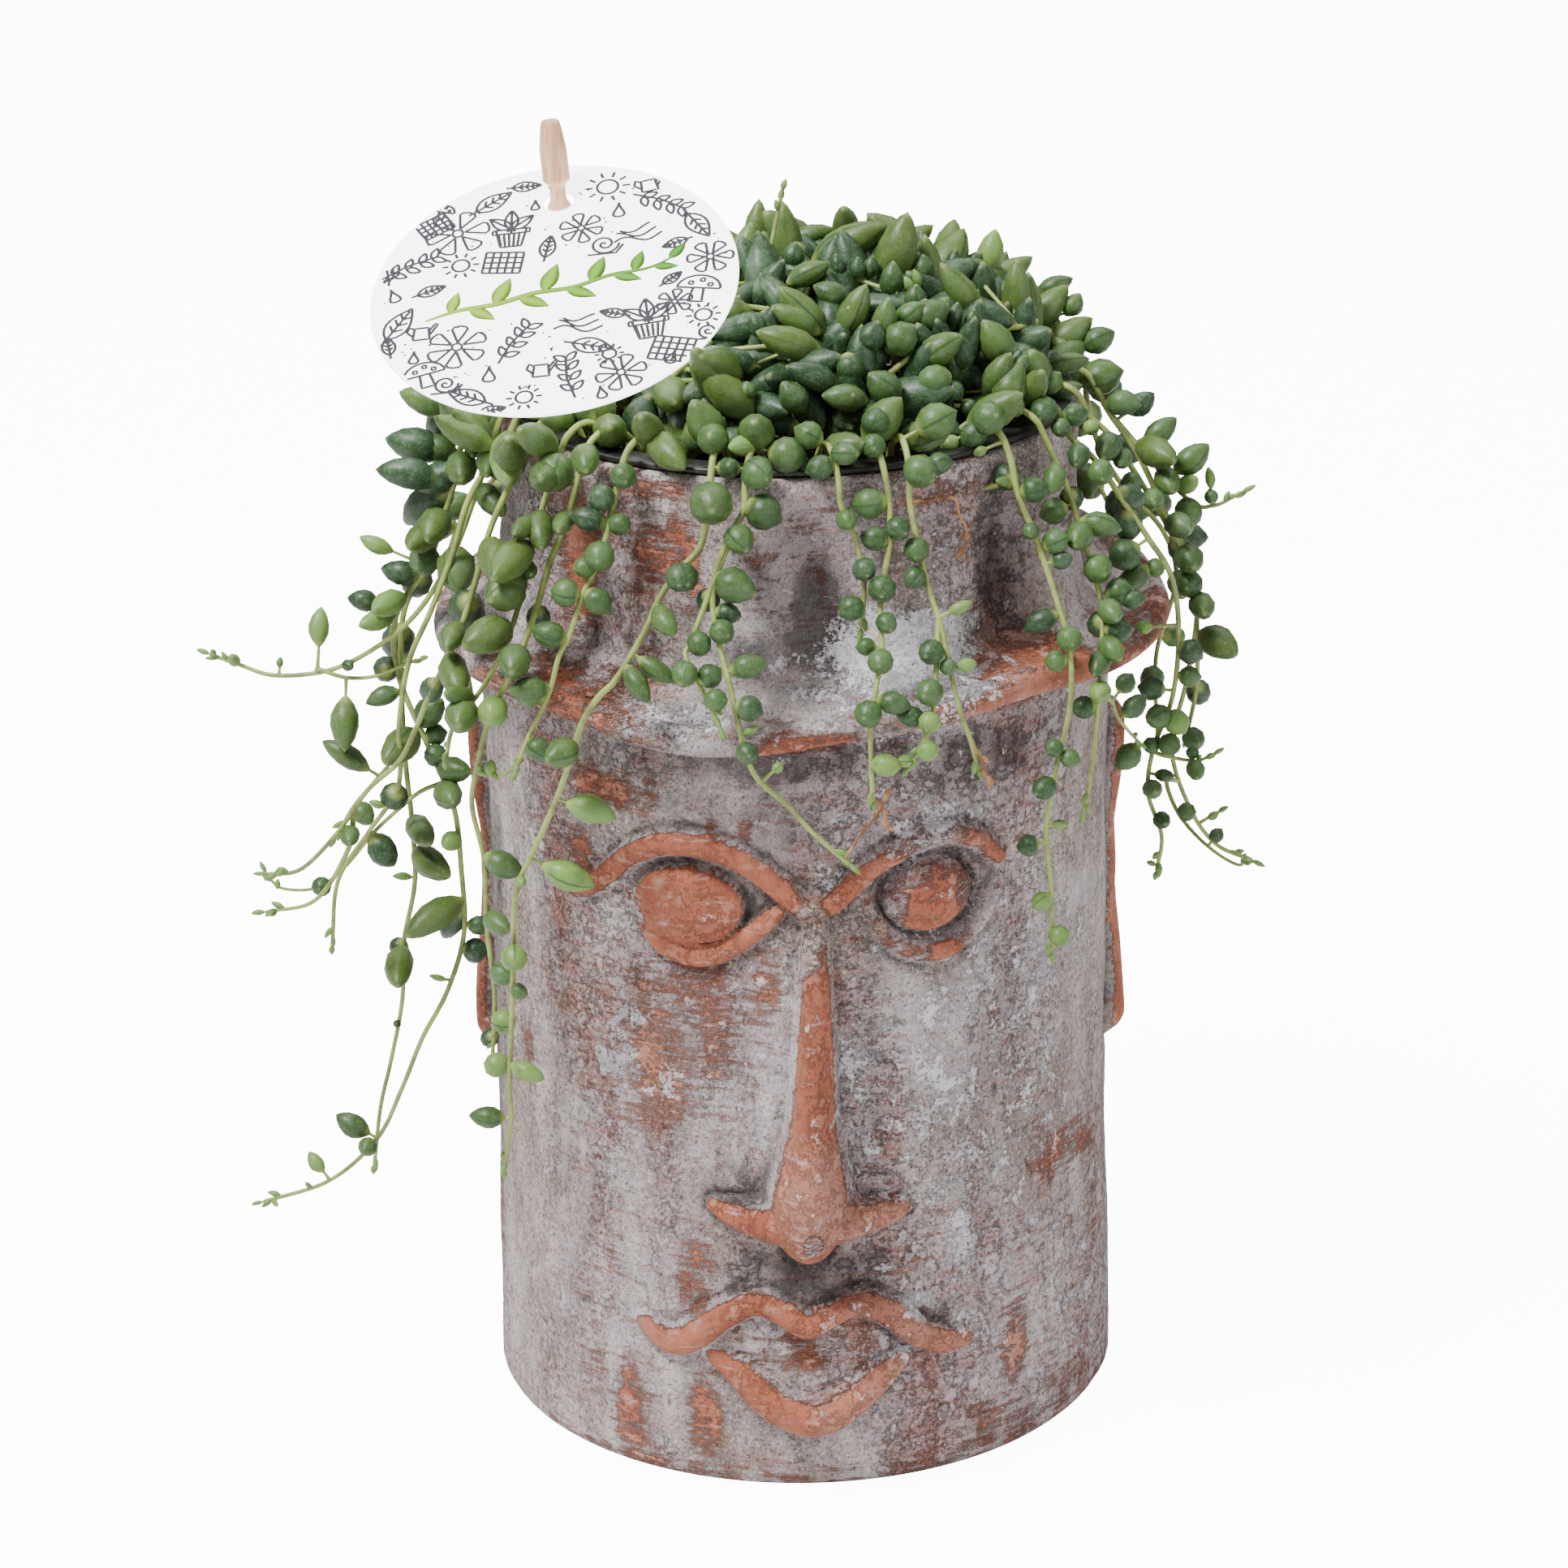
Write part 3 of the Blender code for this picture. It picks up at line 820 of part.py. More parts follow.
def side_frame(tangent):
    """Two directions across a stem."""
    level = np.cross(tangent, (0.0, 0.0, 1.0))
    if np.linalg.norm(level) < 0.05:
        level = np.array((1.0, 0.0, 0.0))
    level = level / np.linalg.norm(level)
    return level, np.cross(tangent, level)


def sight(plane, x, z):
    """Direction of the line of sight through a place on an upright plane."""
    ray = np.array((x, plane, z)) - EYE
    return ray / np.linalg.norm(ray)


def stalk_balls(root, foot, direction, length, width):
    """The balls that stand for the widening stalk between a stem and its bead's thickest place."""
    thickest = foot + direction * length / 3
    return root + np.outer(STALK_SHARES, thickest - root), STALK_SHARES * width * 0.5


def settle(room, owner, root, middle, ray, direction, length, width, own_share):
    """Moves a seen bead along its line of sight till it is clear: (foot, direction, length, width, root)."""
    for size in SETTLE_SIZES:
        for push in SETTLE_PUSHES:
            centre = middle + ray * push
            if direction is None:
                course = (centre - root) / np.linalg.norm(centre - root)
            else:
                course = direction
            foot = centre - course * length * size / 2
            balls = bead_balls(foot, course, length * size, width * size)
            if not room.fits(*balls, owner, own_share):
                continue
            if np.linalg.norm(foot - root) > SHORT_STALK:
                stalk = stalk_balls(root, foot, course, length * size, width * size)
                if not room.fits(*stalk, owner, 0.0):
                    continue
                room.add(*stalk, owner)
            room.add(*balls, owner)
            return foot, course, length * size, width * size, root
    return None


def outside_points(plans):
    """Every point of the seen stems past the rim, and for each its stem, its line and its place there."""
    points, keys = [], []
    for owner, (name, azimuth, line, forks) in enumerate(plans):
        if name.startswith("string_back"):
            continue
        for each in [line] + forks:
            for index, point in enumerate(each):
                if math.hypot(point[0], point[1]) > RIM_REACH:
                    points.append(point)
                    keys.append((owner, each, index))
    return np.array(points), keys


def seen_place(points, keys, plane, x, z, length, tone):
    """The stem that a seen bead grows on, its root there, its middle and its line of sight."""
    scale = (plane - EYE[1]) / (points[:, 1] - EYE[1])
    sideways = EYE[0] + (points[:, 0] - EYE[0]) * scale - x
    upward = EYE[2] + (points[:, 2] - EYE[2]) * scale - z
    away = np.hypot(sideways, upward)
    best = int(np.argmin(away + DEPTH_COST * np.abs(points[:, 1] - plane)))
    owner, line, index = keys[best]
    back = CLOSE_ROOT if away[best] < length / 2 else FAR_ROOT
    root = np.array(line[max(index - int(back * length / LINE_STEP), 0)])
    ray = sight(plane, x, z)
    middle = EYE + ray * float((root - EYE) @ ray)
    offset = float(np.linalg.norm(middle - root))
    if offset < length / 2:
        forward = math.sqrt((length / 2) ** 2 - offset ** 2)
        middle = middle + ray * (forward if tone < 0 else -forward)
    return owner, root, middle, ray


def place_seen_beads(room, plans):
    """The beads read from the photograph, largest first, by the stem they grow on."""
    points, keys = outside_points(plans)
    grown = [[] for plan in plans]
    seen = [(plane, *bead) for plane, beads in SEEN_BEADS for bead in beads]
    for plane, x, z, length, width, tone in sorted(seen, key=lambda bead: -bead[3] * bead[4]):
        if width < SMALLEST_BEAD:
            continue
        owner, root, middle, ray = seen_place(points, keys, plane, x, z, length, tone)
        if np.linalg.norm(middle - root) > length / 2 + LONGEST_STALK:
            continue
        bead = settle(room, owner, root, middle, ray, None, length, width, BEAD_CROWDING)
        if bead:
            grown[owner].append(bead)
    return grown


def place_seen_leaves(room, owner):
    """The crown's leaves read from the photograph, each where its line of sight meets the mound."""
    radii, centre = np.array(MOUND_RADII), np.array(MOUND_CENTRE)
    core, core_radii = np.array(CORE_CENTRE), np.array(CORE_RADII)
    placed = []
    for x, z, length, width, turn, tone in sorted(SEEN_LEAVES, key=lambda leaf: -leaf[2] * leaf[3]):
        ray = sight(CROWN_PLANE, x, z)
        start, run = (EYE - centre) / radii, ray / radii
        inside = float((start @ run) ** 2 - (run @ run) * (start @ start - 1))
        reach = (-float(start @ run) - math.sqrt(max(inside, 0.0))) / float(run @ run)
        middle = EYE + ray * reach
        outward = (middle - centre) / radii ** 2
        outward = outward / np.linalg.norm(outward)
        direction = np.array((math.cos(math.radians(turn)), 0.0, math.sin(math.radians(turn))))
        direction = direction + outward * LEAF_OUTWARD
        direction = direction / np.linalg.norm(direction)
        foot = middle - direction * length / 2
        depth = float(np.linalg.norm((foot - core) / core_radii))
        root = core + (foot - core) * min(1.0, LEAF_ROOT_DEPTH / depth)
        leaf = settle(room, owner, root, middle, ray, direction, length, width, LEAF_CROWDING)
        if leaf:
            placed.append(leaf)
    return placed


def place_beads(room, owner, name, line, tries=14):
    """Beads along one stem, each turned till it is clear: (foot, direction, length, width, root)."""
    steps = np.linalg.norm(np.diff(line, axis=0), axis=1)
    along = np.concatenate([[0.0], np.cumsum(steps)])
    total = along[-1]
    placed = []
    at = FIRST_BEAD
    count = 0
    while at < total - 1.5:
        index = int(np.searchsorted(along, at))
        share = (at - FIRST_BEAD) / max(total - FIRST_BEAD, 1.0)
        draw = random.Random(f"{name} {count}")
        tangent = line[min(index + 1, len(line) - 1)] - line[index - 1]
        tangent = tangent / np.linalg.norm(tangent)
        level, across = side_frame(tangent)
        outward = np.array((line[index][0], line[index][1], 0.0))
        outward = outward / np.linalg.norm(outward)
        for attempt in range(tries):
            angle = math.radians(count * BEAD_TURN + attempt * RETRY_TURN + draw.uniform(-25, 25))
            direction = level * math.cos(angle) + across * math.sin(angle)
            direction = direction + tangent * 0.45 + outward * 0.35
            direction = direction + np.array((0, 0, draw.uniform(-0.3, 0.1)))
            direction = direction / np.linalg.norm(direction)
            length, width = bead_size(share, draw)
            balls = bead_balls(line[index], direction, length, width)
            if room.fits(*balls, owner, BEAD_CROWDING):
                room.add(*balls, owner)
                placed.append((line[index], direction, length, width, line[index]))
                break
        at += BEAD_PITCH * draw.uniform(0.9, 1.1)
        count += 1
    return placed


def place_collar(room, owner, name, line, places, tries=16):
    """Large leaves that stand up and out of a stem where it passes over the rim."""
    steps = np.linalg.norm(np.diff(line, axis=0), axis=1)
    along = np.concatenate([[0.0], np.cumsum(steps)])
    placed = []
    for i, at in enumerate(places):
        base = line[int(np.searchsorted(along, at))]
        outward = np.array((base[0], base[1], 0.0)) / math.hypot(base[0], base[1])
        sideways = np.cross(outward, (0.0, 0.0, 1.0))
        draw = random.Random(f"{name} collar {i}")
        for attempt in range(tries):
            direction = outward * draw.uniform(-0.1, 0.9) + sideways * draw.uniform(-0.8, 0.8)
            direction = direction + np.array((0, 0, draw.uniform(0.2, 1.0)))
            direction = direction / np.linalg.norm(direction)
            length, width = draw.uniform(12.5, 17.0), draw.uniform(6.8, 8.4)
            balls = bead_balls(base, direction, length, width)
            if room.fits(*balls, owner, LEAF_CROWDING):
                room.add(*balls, owner)
                placed.append((base, direction, length, width, base))
                break
    return placed


def crown_surface(direction):
    """Point and normal on the crown's core."""
    radii = np.array(CORE_RADII)
    point = np.array(CORE_CENTRE) + radii * direction
    normal = direction / radii
    return point, normal / np.linalg.norm(normal)


def place_crown(room, owner, tries=18):
    """Large leaves on all sides of the crown's core: (foot, direction, length, width, root)."""
    placed = []
    for i in range(CROWN_LEAVES):
        draw = random.Random(f"crown {i}")
        rise = 1 - (1 - CROWN_LOWEST) * (i + 0.5) / CROWN_LEAVES
        turn = i * math.radians(GOLDEN_TURN)
        flat = math.sqrt(max(0.0, 1 - rise * rise))
        point, normal = crown_surface(np.array((flat * math.cos(turn), flat * math.sin(turn), rise)))
        for attempt in range(tries):
            sway = np.array([draw.gauss(0, 0.42) for _ in range(3)])
            direction = normal + sway + np.array((0, 0, 0.12))
            direction = direction / np.linalg.norm(direction)
            length, width = draw.uniform(14.5, 19.0), draw.uniform(7.2, 9.0)
            base = point - normal * 3.0
            balls = bead_balls(base, direction, length, width)
            if room.fits(*balls, owner, CROWN_CROWDING):
                room.add(*balls, owner)
                placed.append((base, direction, length, width, base))
                break
    return placed


# Solids of the plant


def spindle(base, direction, length, width, root=None):
    """A bead or leaf: a plump four-sided spindle, pointed at its root and tip, plainer when small."""
    across, over = side_frame(direction)
    points = [tuple(base if root is None else root)]
    rings = ((0.33, 0.53, 0.0), (0.68, 0.47, math.pi / 4))
    if width < PLAIN_WIDTH:
        rings = ((0.5, 0.56, 0.0),)
    for share, half, twist in rings:
        for corner in range(4):
            angle = twist + corner * math.pi / 2
            offset = (across * math.cos(angle) + over * math.sin(angle)) * half * width
            points.append(tuple(base + direction * length * share + offset))
    points.append(tuple(base + direction * length))
    tip = len(points) - 1
    faces = []
    for corner in range(4):
        after = (corner + 1) % 4
        faces.append((0, 1 + after, 1 + corner))
        if len(rings) > 1:
            faces.append((1 + corner, 1 + after, 5 + corner))
            faces.append((1 + after, 5 + after, 5 + corner))
        faces.append((tip - 4 + corner, tip - 4 + after, tip))
    return points, faces


def coarse_line(line):
    """The stem's line with a point only where it has turned enough or run far."""
    kept = [line[0]]
    heading = line[1] - line[0]
    heading = heading / np.linalg.norm(heading)
    run = 0.0
    for before, point, after in zip(line, line[1:], line[2:]):
        run += np.linalg.norm(point - before)
        course = (after - point) / np.linalg.norm(after - point)
        turned_by = math.degrees(math.acos(max(-1.0, min(1.0, float(course @ heading)))))
        if turned_by > STEM_TURN or run > STEM_LONGEST:
            kept.append(point)
            heading = course
            run = 0.0
    kept.append(line[-1])
    return kept


def nearest_on(line, point):
    """The nearest point to a point on a line of straight runs."""
    best, found = 1e9, line[0]
    for first, second in zip(line, line[1:]):
        run = second - first
        share = min(1.0, max(0.0, float((point - first) @ run / (run @ run))))
        here = first + run * share
        away = float(np.linalg.norm(point - here))
        if away < best:
            best, found = away, here
    return found


def stem_solid(name, line, radius, finish):
    """A slender stem of few sides that narrows to its tip."""
    kept = coarse_line(line)
    points, faces = [], []
    across = None
    for i, point in enumerate(kept):
        before, after = kept[max(i - 1, 0)], kept[min(i + 1, len(kept) - 1)]
        tangent = (after - before) / np.linalg.norm(after - before)
        if across is None:
            across = side_frame(tangent)[0]
        across = across - tangent * (across @ tangent)
        across = across / np.linalg.norm(across)
        over = np.cross(tangent, across)
        half = radius * (1.0 - 0.4 * i / (len(kept) - 1))
        for side in range(STEM_SIDES):
            angle = 2 * math.pi * side / STEM_SIDES
            points.append(tuple(point + (across * math.cos(angle) + over * math.sin(angle)) * half))
    for i in range(len(kept) - 1):
        low, high = i * STEM_SIDES, (i + 1) * STEM_SIDES
        for side in range(STEM_SIDES):
            after = (side + 1) % STEM_SIDES
            faces.append((low + side, low + after, high + after, high + side))
    faces.append(tuple(reversed(range(STEM_SIDES))))
    faces.append(tuple(range(len(points) - STEM_SIDES, len(points))))
    return add_object(name, points, faces, finish)


def make_crown(leaves):
    """The crown: a low lumpy core on a neck in the soil, with its leaves and one upright sprout."""
    core_mesh = bmesh.new()
    bmesh.ops.create_icosphere(core_mesh, subdivisions=2, radius=1.0)
    flat_foot = SOIL_TOP + NODE_GAP
    points = []
    for vertex in core_mesh.verts:
        point = [c + r * v for c, r, v in zip(CORE_CENTRE, CORE_RADII, vertex.co)]
        points.append((point[0], point[1], max(point[2], flat_foot)))
    faces = [tuple(v.index for v in face.verts) for face in core_mesh.faces]
    core_mesh.free()
    crown = add_object("crown", points, faces, "leaf_green")
    pieces = []
    neck = turned("neck", ((0, -ROOT_DEPTH), (CORE_NECK_RADIUS - 1, -ROOT_DEPTH), (CORE_NECK_RADIUS, 0),
                           (CORE_NECK_RADIUS, 6), (0, 6)), 10)
    neck.data.transform(Matrix.Translation(Vector((CORE_CENTRE[0], CORE_CENTRE[1], SOIL_TOP)) * MM))
    pieces.append(neck)
    for base, direction, length, width, root in leaves:
        if (base - root) @ direction < 0:
            inside = base + direction * length * 0.4
            stalk = [root, (root + inside) / 2, inside]
            pieces.append(stem_solid("stalk", stalk, BRANCH_RADIUS, "leaf_green"))
            root = base
        pieces.append(add_object("leaf", *spindle(base, direction, length, width, root)))
    sprout = smooth_line(SPROUT, LINE_STEP)
    pieces.append(stem_solid("sprout", sprout, BRANCH_RADIUS, "leaf_green"))
    for index, direction, length, width in SPROUT_BEADS:
        root = nearest_on(coarse_line(sprout), sprout[index])
        pieces.append(add_object("leaf", *spindle(root, np.array(direction), length, width)))
    return fuse(crown, pieces)


def make_string(name, line, forks, beads):
    """One trailing stem with its forks and beads in one solid."""
    stem = stem_solid(name, line, STEM_RADIUS, "leaf_green")
    lines = [coarse_line(line)]
    pieces = []
    for fork in forks:
        fork = [nearest_on(lines[0], fork[0])] + fork[1:]
        lines.append(coarse_line(fork))
        pieces.append(stem_solid("fork", fork, BRANCH_RADIUS, "leaf_green"))
    for base, direction, length, width, grows_at in beads:
        root = min((nearest_on(each, grows_at) for each in lines), key=lambda p: np.linalg.norm(p - grows_at))
        pieces.append(add_object("bead", *spindle(base, direction, length, width, root)))
    return fuse(stem, pieces)


def make_plant():
    """Lays out the stems, then their beads, then the crown's leaves, and makes the solids."""
    room = Room()
    plans = stem_plans()
    for owner, (name, azimuth, line, forks) in enumerate(plans):
        for each in [line] + forks:
            room.add(*stem_balls(each, STEM_RADIUS), -1 - owner)
    grown = place_seen_beads(room, plans)
    sprout = smooth_line(SPROUT, LINE_STEP)
    room.add(*stem_balls(sprout, BRANCH_RADIUS), -1 - len(plans))
    leaves = place_seen_leaves(room, len(plans))
    for owner, (name, azimuth, line, forks) in enumerate(plans):
        if name.startswith("string_back"):
            grown[owner] += place_collar(room, owner, name, line, COLLAR_LEAVES)
            grown[owner] += place_beads(room, owner, name, line)
        else:
            grown[owner] += place_collar(room, owner, name, line, COLLAR_LEAVES[:1])
    leaves += place_crown(room, len(plans))
    for (name, azimuth, line, forks), beads in zip(plans, grown):
        make_string(name, line, forks, beads)
    make_crown(leaves)
    return [plan[1] for plan in plans]


def main():
    for thing in list(bpy.data.objects):
        bpy.data.objects.remove(thing, do_unlink=True)
    make_planter()
    make_liner()
    root_azimuths = make_plant()
    make_soil(root_azimuths)
    make_card()
    make_peg()


main()
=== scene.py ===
"""Looks of a potted string of watermelons in a head planter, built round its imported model.

Everything is in metres in the model's own frame: the planter stands on z = 0 and its face looks toward -Y.
Sizes that a maker would give in millimetres are written in millimetres and multiplied by MM.
"""
import math
import random
from collections import namedtuple

import bpy
import numpy as np
from mathutils import Matrix, Vector
from mathutils import noise as noise_field


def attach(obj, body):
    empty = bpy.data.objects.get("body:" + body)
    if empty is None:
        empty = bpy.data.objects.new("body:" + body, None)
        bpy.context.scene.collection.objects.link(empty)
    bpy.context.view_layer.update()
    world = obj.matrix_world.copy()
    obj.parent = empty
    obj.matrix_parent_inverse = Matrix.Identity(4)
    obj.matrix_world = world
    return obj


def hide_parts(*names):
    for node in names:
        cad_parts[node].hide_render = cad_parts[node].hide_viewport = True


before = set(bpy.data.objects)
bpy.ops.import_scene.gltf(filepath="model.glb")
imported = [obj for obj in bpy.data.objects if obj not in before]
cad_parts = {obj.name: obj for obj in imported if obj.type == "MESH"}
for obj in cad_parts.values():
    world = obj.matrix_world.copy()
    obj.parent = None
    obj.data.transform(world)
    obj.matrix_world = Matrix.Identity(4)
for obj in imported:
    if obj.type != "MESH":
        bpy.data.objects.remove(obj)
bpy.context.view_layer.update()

# The photographer's place: a little above the hat, looking down at the face, with a long lens.
# It comes first because the beads and leaves are placed along its lines of sight.
CAMERA_PLACE = Vector((-0.0028, -1.0, 0.52))
CAMERA_PITCH = math.radians(20.96)
CAMERA_ROLL = math.radians(1.0)
CAMERA_FOCUS = 5995.0
PHOTO_WIDTH = 1932.0
SENSOR = 36.0


def camera_turn():
    """The camera's right, up and backward directions as the columns of a rotation."""
    forward = Vector((0, math.cos(CAMERA_PITCH), -math.sin(CAMERA_PITCH)))
    level = Vector((1, 0, 0))
    upright = level.cross(forward)
    right = level * math.cos(CAMERA_ROLL) - upright * math.sin(CAMERA_ROLL)
    up = level * math.sin(CAMERA_ROLL) + upright * math.cos(CAMERA_ROLL)
    return Matrix((right, up, -forward)).transposed()


def in_scene(name, data):
    """A mesh, lamp or camera as an object of the scene."""
    made = bpy.data.objects.new(name, data)
    bpy.context.collection.objects.link(made)
    return made


camera = in_scene("camera", bpy.data.cameras.new("camera"))
camera.data.sensor_width = SENSOR
camera.data.lens = SENSOR * CAMERA_FOCUS / PHOTO_WIDTH
camera.data.clip_start = 0.05
camera.matrix_world = Matrix.Translation(CAMERA_PLACE) @ camera_turn().to_4x4()
bpy.context.scene.camera = camera

# The planter is one thick turned earthenware cylinder. The face, the ears and the soft brimmed hat were
# pressed and worked on it by hand, then it was washed with grey cement slip, which is rubbed off the
# raised forms down to the orange clay and has gathered salt on the hat. Its hollows are darkened with
# soot that is partly real grime and partly painted shade: in creases, at the feet of raised forms and
# under the brim.
MM = 0.001
POT_HEIGHT = 226.0
POT_INNER_RADIUS = 58.0
POT_FLOOR = 9.0
FACE_RADIUS = 69.0
WALL_RADII = ((0.0, 69.5), (30.0, 69.0), (60.0, 68.1), (150.0, 68.0), (185.0, 68.4))
CROWN_RADII = ((188.0, 65.0), (196.0, 63.6), (205.0, 62.6), (215.0, 62.2), (226.0, 62.0))
BRIM_RADII = ((-180, 79.5), (-90, 78.0), (-45, 79.0), (0, 80.5), (45, 80.5), (90, 81.5), (180, 79.5))
BRIM_EDGES = ((-180, 178.0), (-120, 176.0), (-88, 174.5), (-48, 176.0), (-15, 171.8), (15, 176.0),
              (37, 178.6), (66, 176.5), (92, 175.0), (130, 179.0), (180, 178.0))
BRIM_ROLL = 3.2
PLEATS = ((-44, 8.0, 3.2), (5, 7.5, 4.4), (42, 8.0, 3.6), (86, 9.0, 2.8), (128, 8.0, 3.4), (172, 9.0, 3.8),
          (-142, 8.0, 3.2), (-98, 9.0, 2.8))
# Ridges of the face: (along the wall, height, rise, half width)
BROW_LEFT = ((-55, 131, 0.6, 2.6), (-46, 136.6, 2.2, 3.2), (-36, 145, 3.0, 3.6), (-26, 149, 3.2, 3.8),
             (-15, 147.5, 3.2, 3.8), (-5, 140.5, 3.0, 3.6), (0.9, 134.8, 2.8, 3.4))
BROW_RIGHT = ((0.9, 134.8, 2.8, 3.4), (7, 136.6, 3.0, 3.4), (13, 141.8, 3.0, 3.6), (20, 146.2, 3.0, 3.6),
              (27, 149.2, 3.0, 3.6), (37, 147.6, 2.6, 3.4), (46, 140.6, 1.4, 3.0))
LID_LEFT = ((-39, 138, 0.8, 2.4), (-34, 128.5, 2.2, 3.0), (-27, 124, 2.8, 3.2), (-19, 124, 2.8, 3.2),
            (-11, 128.8, 2.4, 3.0), (-5, 134, 1.4, 2.6))
LID_RIGHT = ((13.5, 137.5, 0.8, 2.4), (18, 128, 2.0, 2.8), (25, 123.4, 2.4, 3.0), (33, 123, 2.4, 3.0),
             (41, 128, 2.0, 2.8), (47, 136.5, 0.8, 2.4))
NOSE = ((3.2, 133, 2.0, 3.0), (3.0, 122, 4.2, 4.1), (2.6, 105, 6.6, 5.2), (2.0, 90, 9.0, 6.2),
        (1.6, 79, 11.6, 8.4), (1.2, 71, 13.6, 10.6), (0.9, 64.5, 12.6, 9.4), (0.8, 60, 8.0, 6.6))
WING_LEFT = ((0, 66.6, 11.0, 9.0), (-7, 64.6, 8.2, 6.2), (-13.5, 65.0, 5.6, 4.4), (-19.5, 66.4, 2.0, 2.6))
WING_RIGHT = ((2, 66.6, 11.0, 9.0), (9.5, 64.4, 8.2, 6.2), (16, 64.4, 5.4, 4.2), (21.5, 65.0, 2.0, 2.6))
LIP_UPPER = ((-38, 37, 0.8, 2.4), (-30, 33.6, 3.0, 3.8), (-24, 36, 3.6, 4.2), (-17, 42, 3.6, 4.0),
             (-10, 45.4, 3.4, 3.8), (-4, 42.6, 3.4, 3.8), (0.2, 39.6, 3.4, 3.8), (5, 42.6, 3.4, 3.8),
             (11, 44.8, 3.4, 3.8), (18, 41.6, 3.6, 4.0), (24, 35.6, 3.4, 4.0), (31, 32, 2.6, 3.4),
             (37, 31.4, 0.8, 2.4))
LIP_LOWER = ((-21, 33, 0.8, 2.6), (-14, 28, 3.0, 4.0), (-7, 21.4, 4.2, 5.0), (1.5, 18.2, 4.8, 5.6),
             (9, 21.8, 4.2, 5.0), (16, 27.6, 3.0, 4.0), (21, 31, 0.8, 2.6))
RIDGES = (BROW_LEFT, BROW_RIGHT, LID_LEFT, LID_RIGHT, NOSE, WING_LEFT, WING_RIGHT, LIP_UPPER, LIP_LOWER)
SKIRT_DEPTH = 1.1
EYES = ((-24.4, 134.8, 12.6, 9.0, 6.0), (28.3, 135.6, 10.6, 8.4, 5.0))
HOLLOWS = ((-22, 135, 19, 13, 3.0), (28, 135, 18, 13, 3.0), (-13, 96, 9, 26, 2.6), (13, 96, 8, 26, 3.0),
           (0.5, 33, 14, 9, 3.4), (-12, 56, 12, 7, 2.2), (12, 56, 12, 7, 2.6), (-3, 90, 11, 36, -3.2),
           (0, 32, 30, 22, -3.4), (-22, 150, 24, 8, -1.6), (27, 150, 24, 8, -1.6))
EAR_HELIX = ((102, 128, 1.6, 3.0), (103, 140, 3.2, 4.0), (108, 149, 3.8, 4.6), (117, 150, 3.8, 4.6),
             (123, 140, 3.8, 4.6), (122, 122, 3.6, 4.6), (117, 104, 3.6, 5.0), (109, 88, 4.2, 6.2),
             (103, 84, 4.2, 6.0))
EAR_FOLD = ((111, 139, 1.4, 2.6), (115, 132, 2.2, 3.2), (112, 118, 2.4, 3.4), (106, 105, 1.4, 2.6))
EAR_SCALE = 1.05
# Patches of the wash: (along the wall, height, half width, half height, strength)
BARE_PATCHES = (
    (-43.9, 157.3, 9.8, 4.6, 0.6), (-51, 142, 2.6, 4.4, 0.7), (-18.2, 153.7, 1.6, 2.8, 0.5),
    (-11.1, 152.4, 1.5, 2.8, 0.5), (-25.9, 102.7, 15, 18, 0.52), (-7.1, 117.3, 2.8, 7, 0.5),
    (-12.3, 95, 3.0, 7, 0.5), (-71.5, 90.4, 3.9, 5, 0.5), (-40.9, 12.7, 4.6, 10.5, 0.55),
    (-22.4, 16.8, 3.6, 10.5, 0.58), (-23.5, 47.9, 5.0, 9, 0.5), (1.1, 40.8, 17.6, 4.9, 0.35),
    (-41.4, 46.1, 6.6, 13.8, 0.25), (71.8, 65.7, 12, 7, 0.55), (49.2, 24.3, 3.6, 9, 0.6),
    (36.1, 53.9, 12.5, 5.8, 0.3), (54.7, 8, 22, 9, 0.4), (-4.2, 33.5, 8, 6.4, 0.5), (0, 2.0, 80, 3.4, 0.42),
    (-62, 120, 5, 12, 0.3), (-52, 25, 4, 12, 0.3), (-55.4, 204, 5.6, 13, 0.75),
    (-27.8, 209.1, 8, 8.5, 0.65), (-32.4, 222.5, 8, 2.6, 0.5), (76.2, 206, 11, 9, 0.45),
    (32.8, 221, 12, 2.2, 0.4), (-2, 219, 20, 2.5, 0.3), (-3, 206, 13, 12, 0.34),
    (-55, 178.6, 24, 4.6, 0.62), (2.6, 174.5, 8, 3.2, 0.9), (49.0, 180.4, 22, 4.4, 0.85),
    (92, 177.5, 14, 4.5, 0.85), (-22, 177, 6, 2.2, 0.4), (130, 120, 16, 26, 0.35), (160, 60, 18, 24, 0.35),
    (-150, 90, 16, 30, 0.35), (-110, 40, 14, 20, 0.3), (150, 180, 22, 4, 0.6), (-140, 179, 30, 4, 0.6),
    (180, 205, 14, 10, 0.4))
SALT_PATCHES = (
    (24, 189.0, 15, 7.0, 0.85), (10, 184, 12, 4, 0.4), (-24.8, 178.6, 10.5, 3.2, 0.5),
    (28.8, 151, 9.4, 5.4, 0.55), (40.4, 92, 24, 34, 0.42), (-42.3, 96.7, 6, 18.1, 0.32),
    (12.2, 97.2, 4.3, 23.3, 0.42), (34.6, 55.2, 3.6, 6.8, 0.5), (77.5, 40.5, 6, 16, 0.4),
    (7, 143, 5, 5, 0.5), (36.9, 203, 7, 8, 0.3), (26, 38.7, 9, 6, 0.35), (12, 63, 9, 5, 0.3),
    (52, 172, 14, 2, 0.35), (78, 120, 5, 30, 0.3), (-150, 188, 20, 6, 0.5), (120, 70, 14, 20, 0.3))
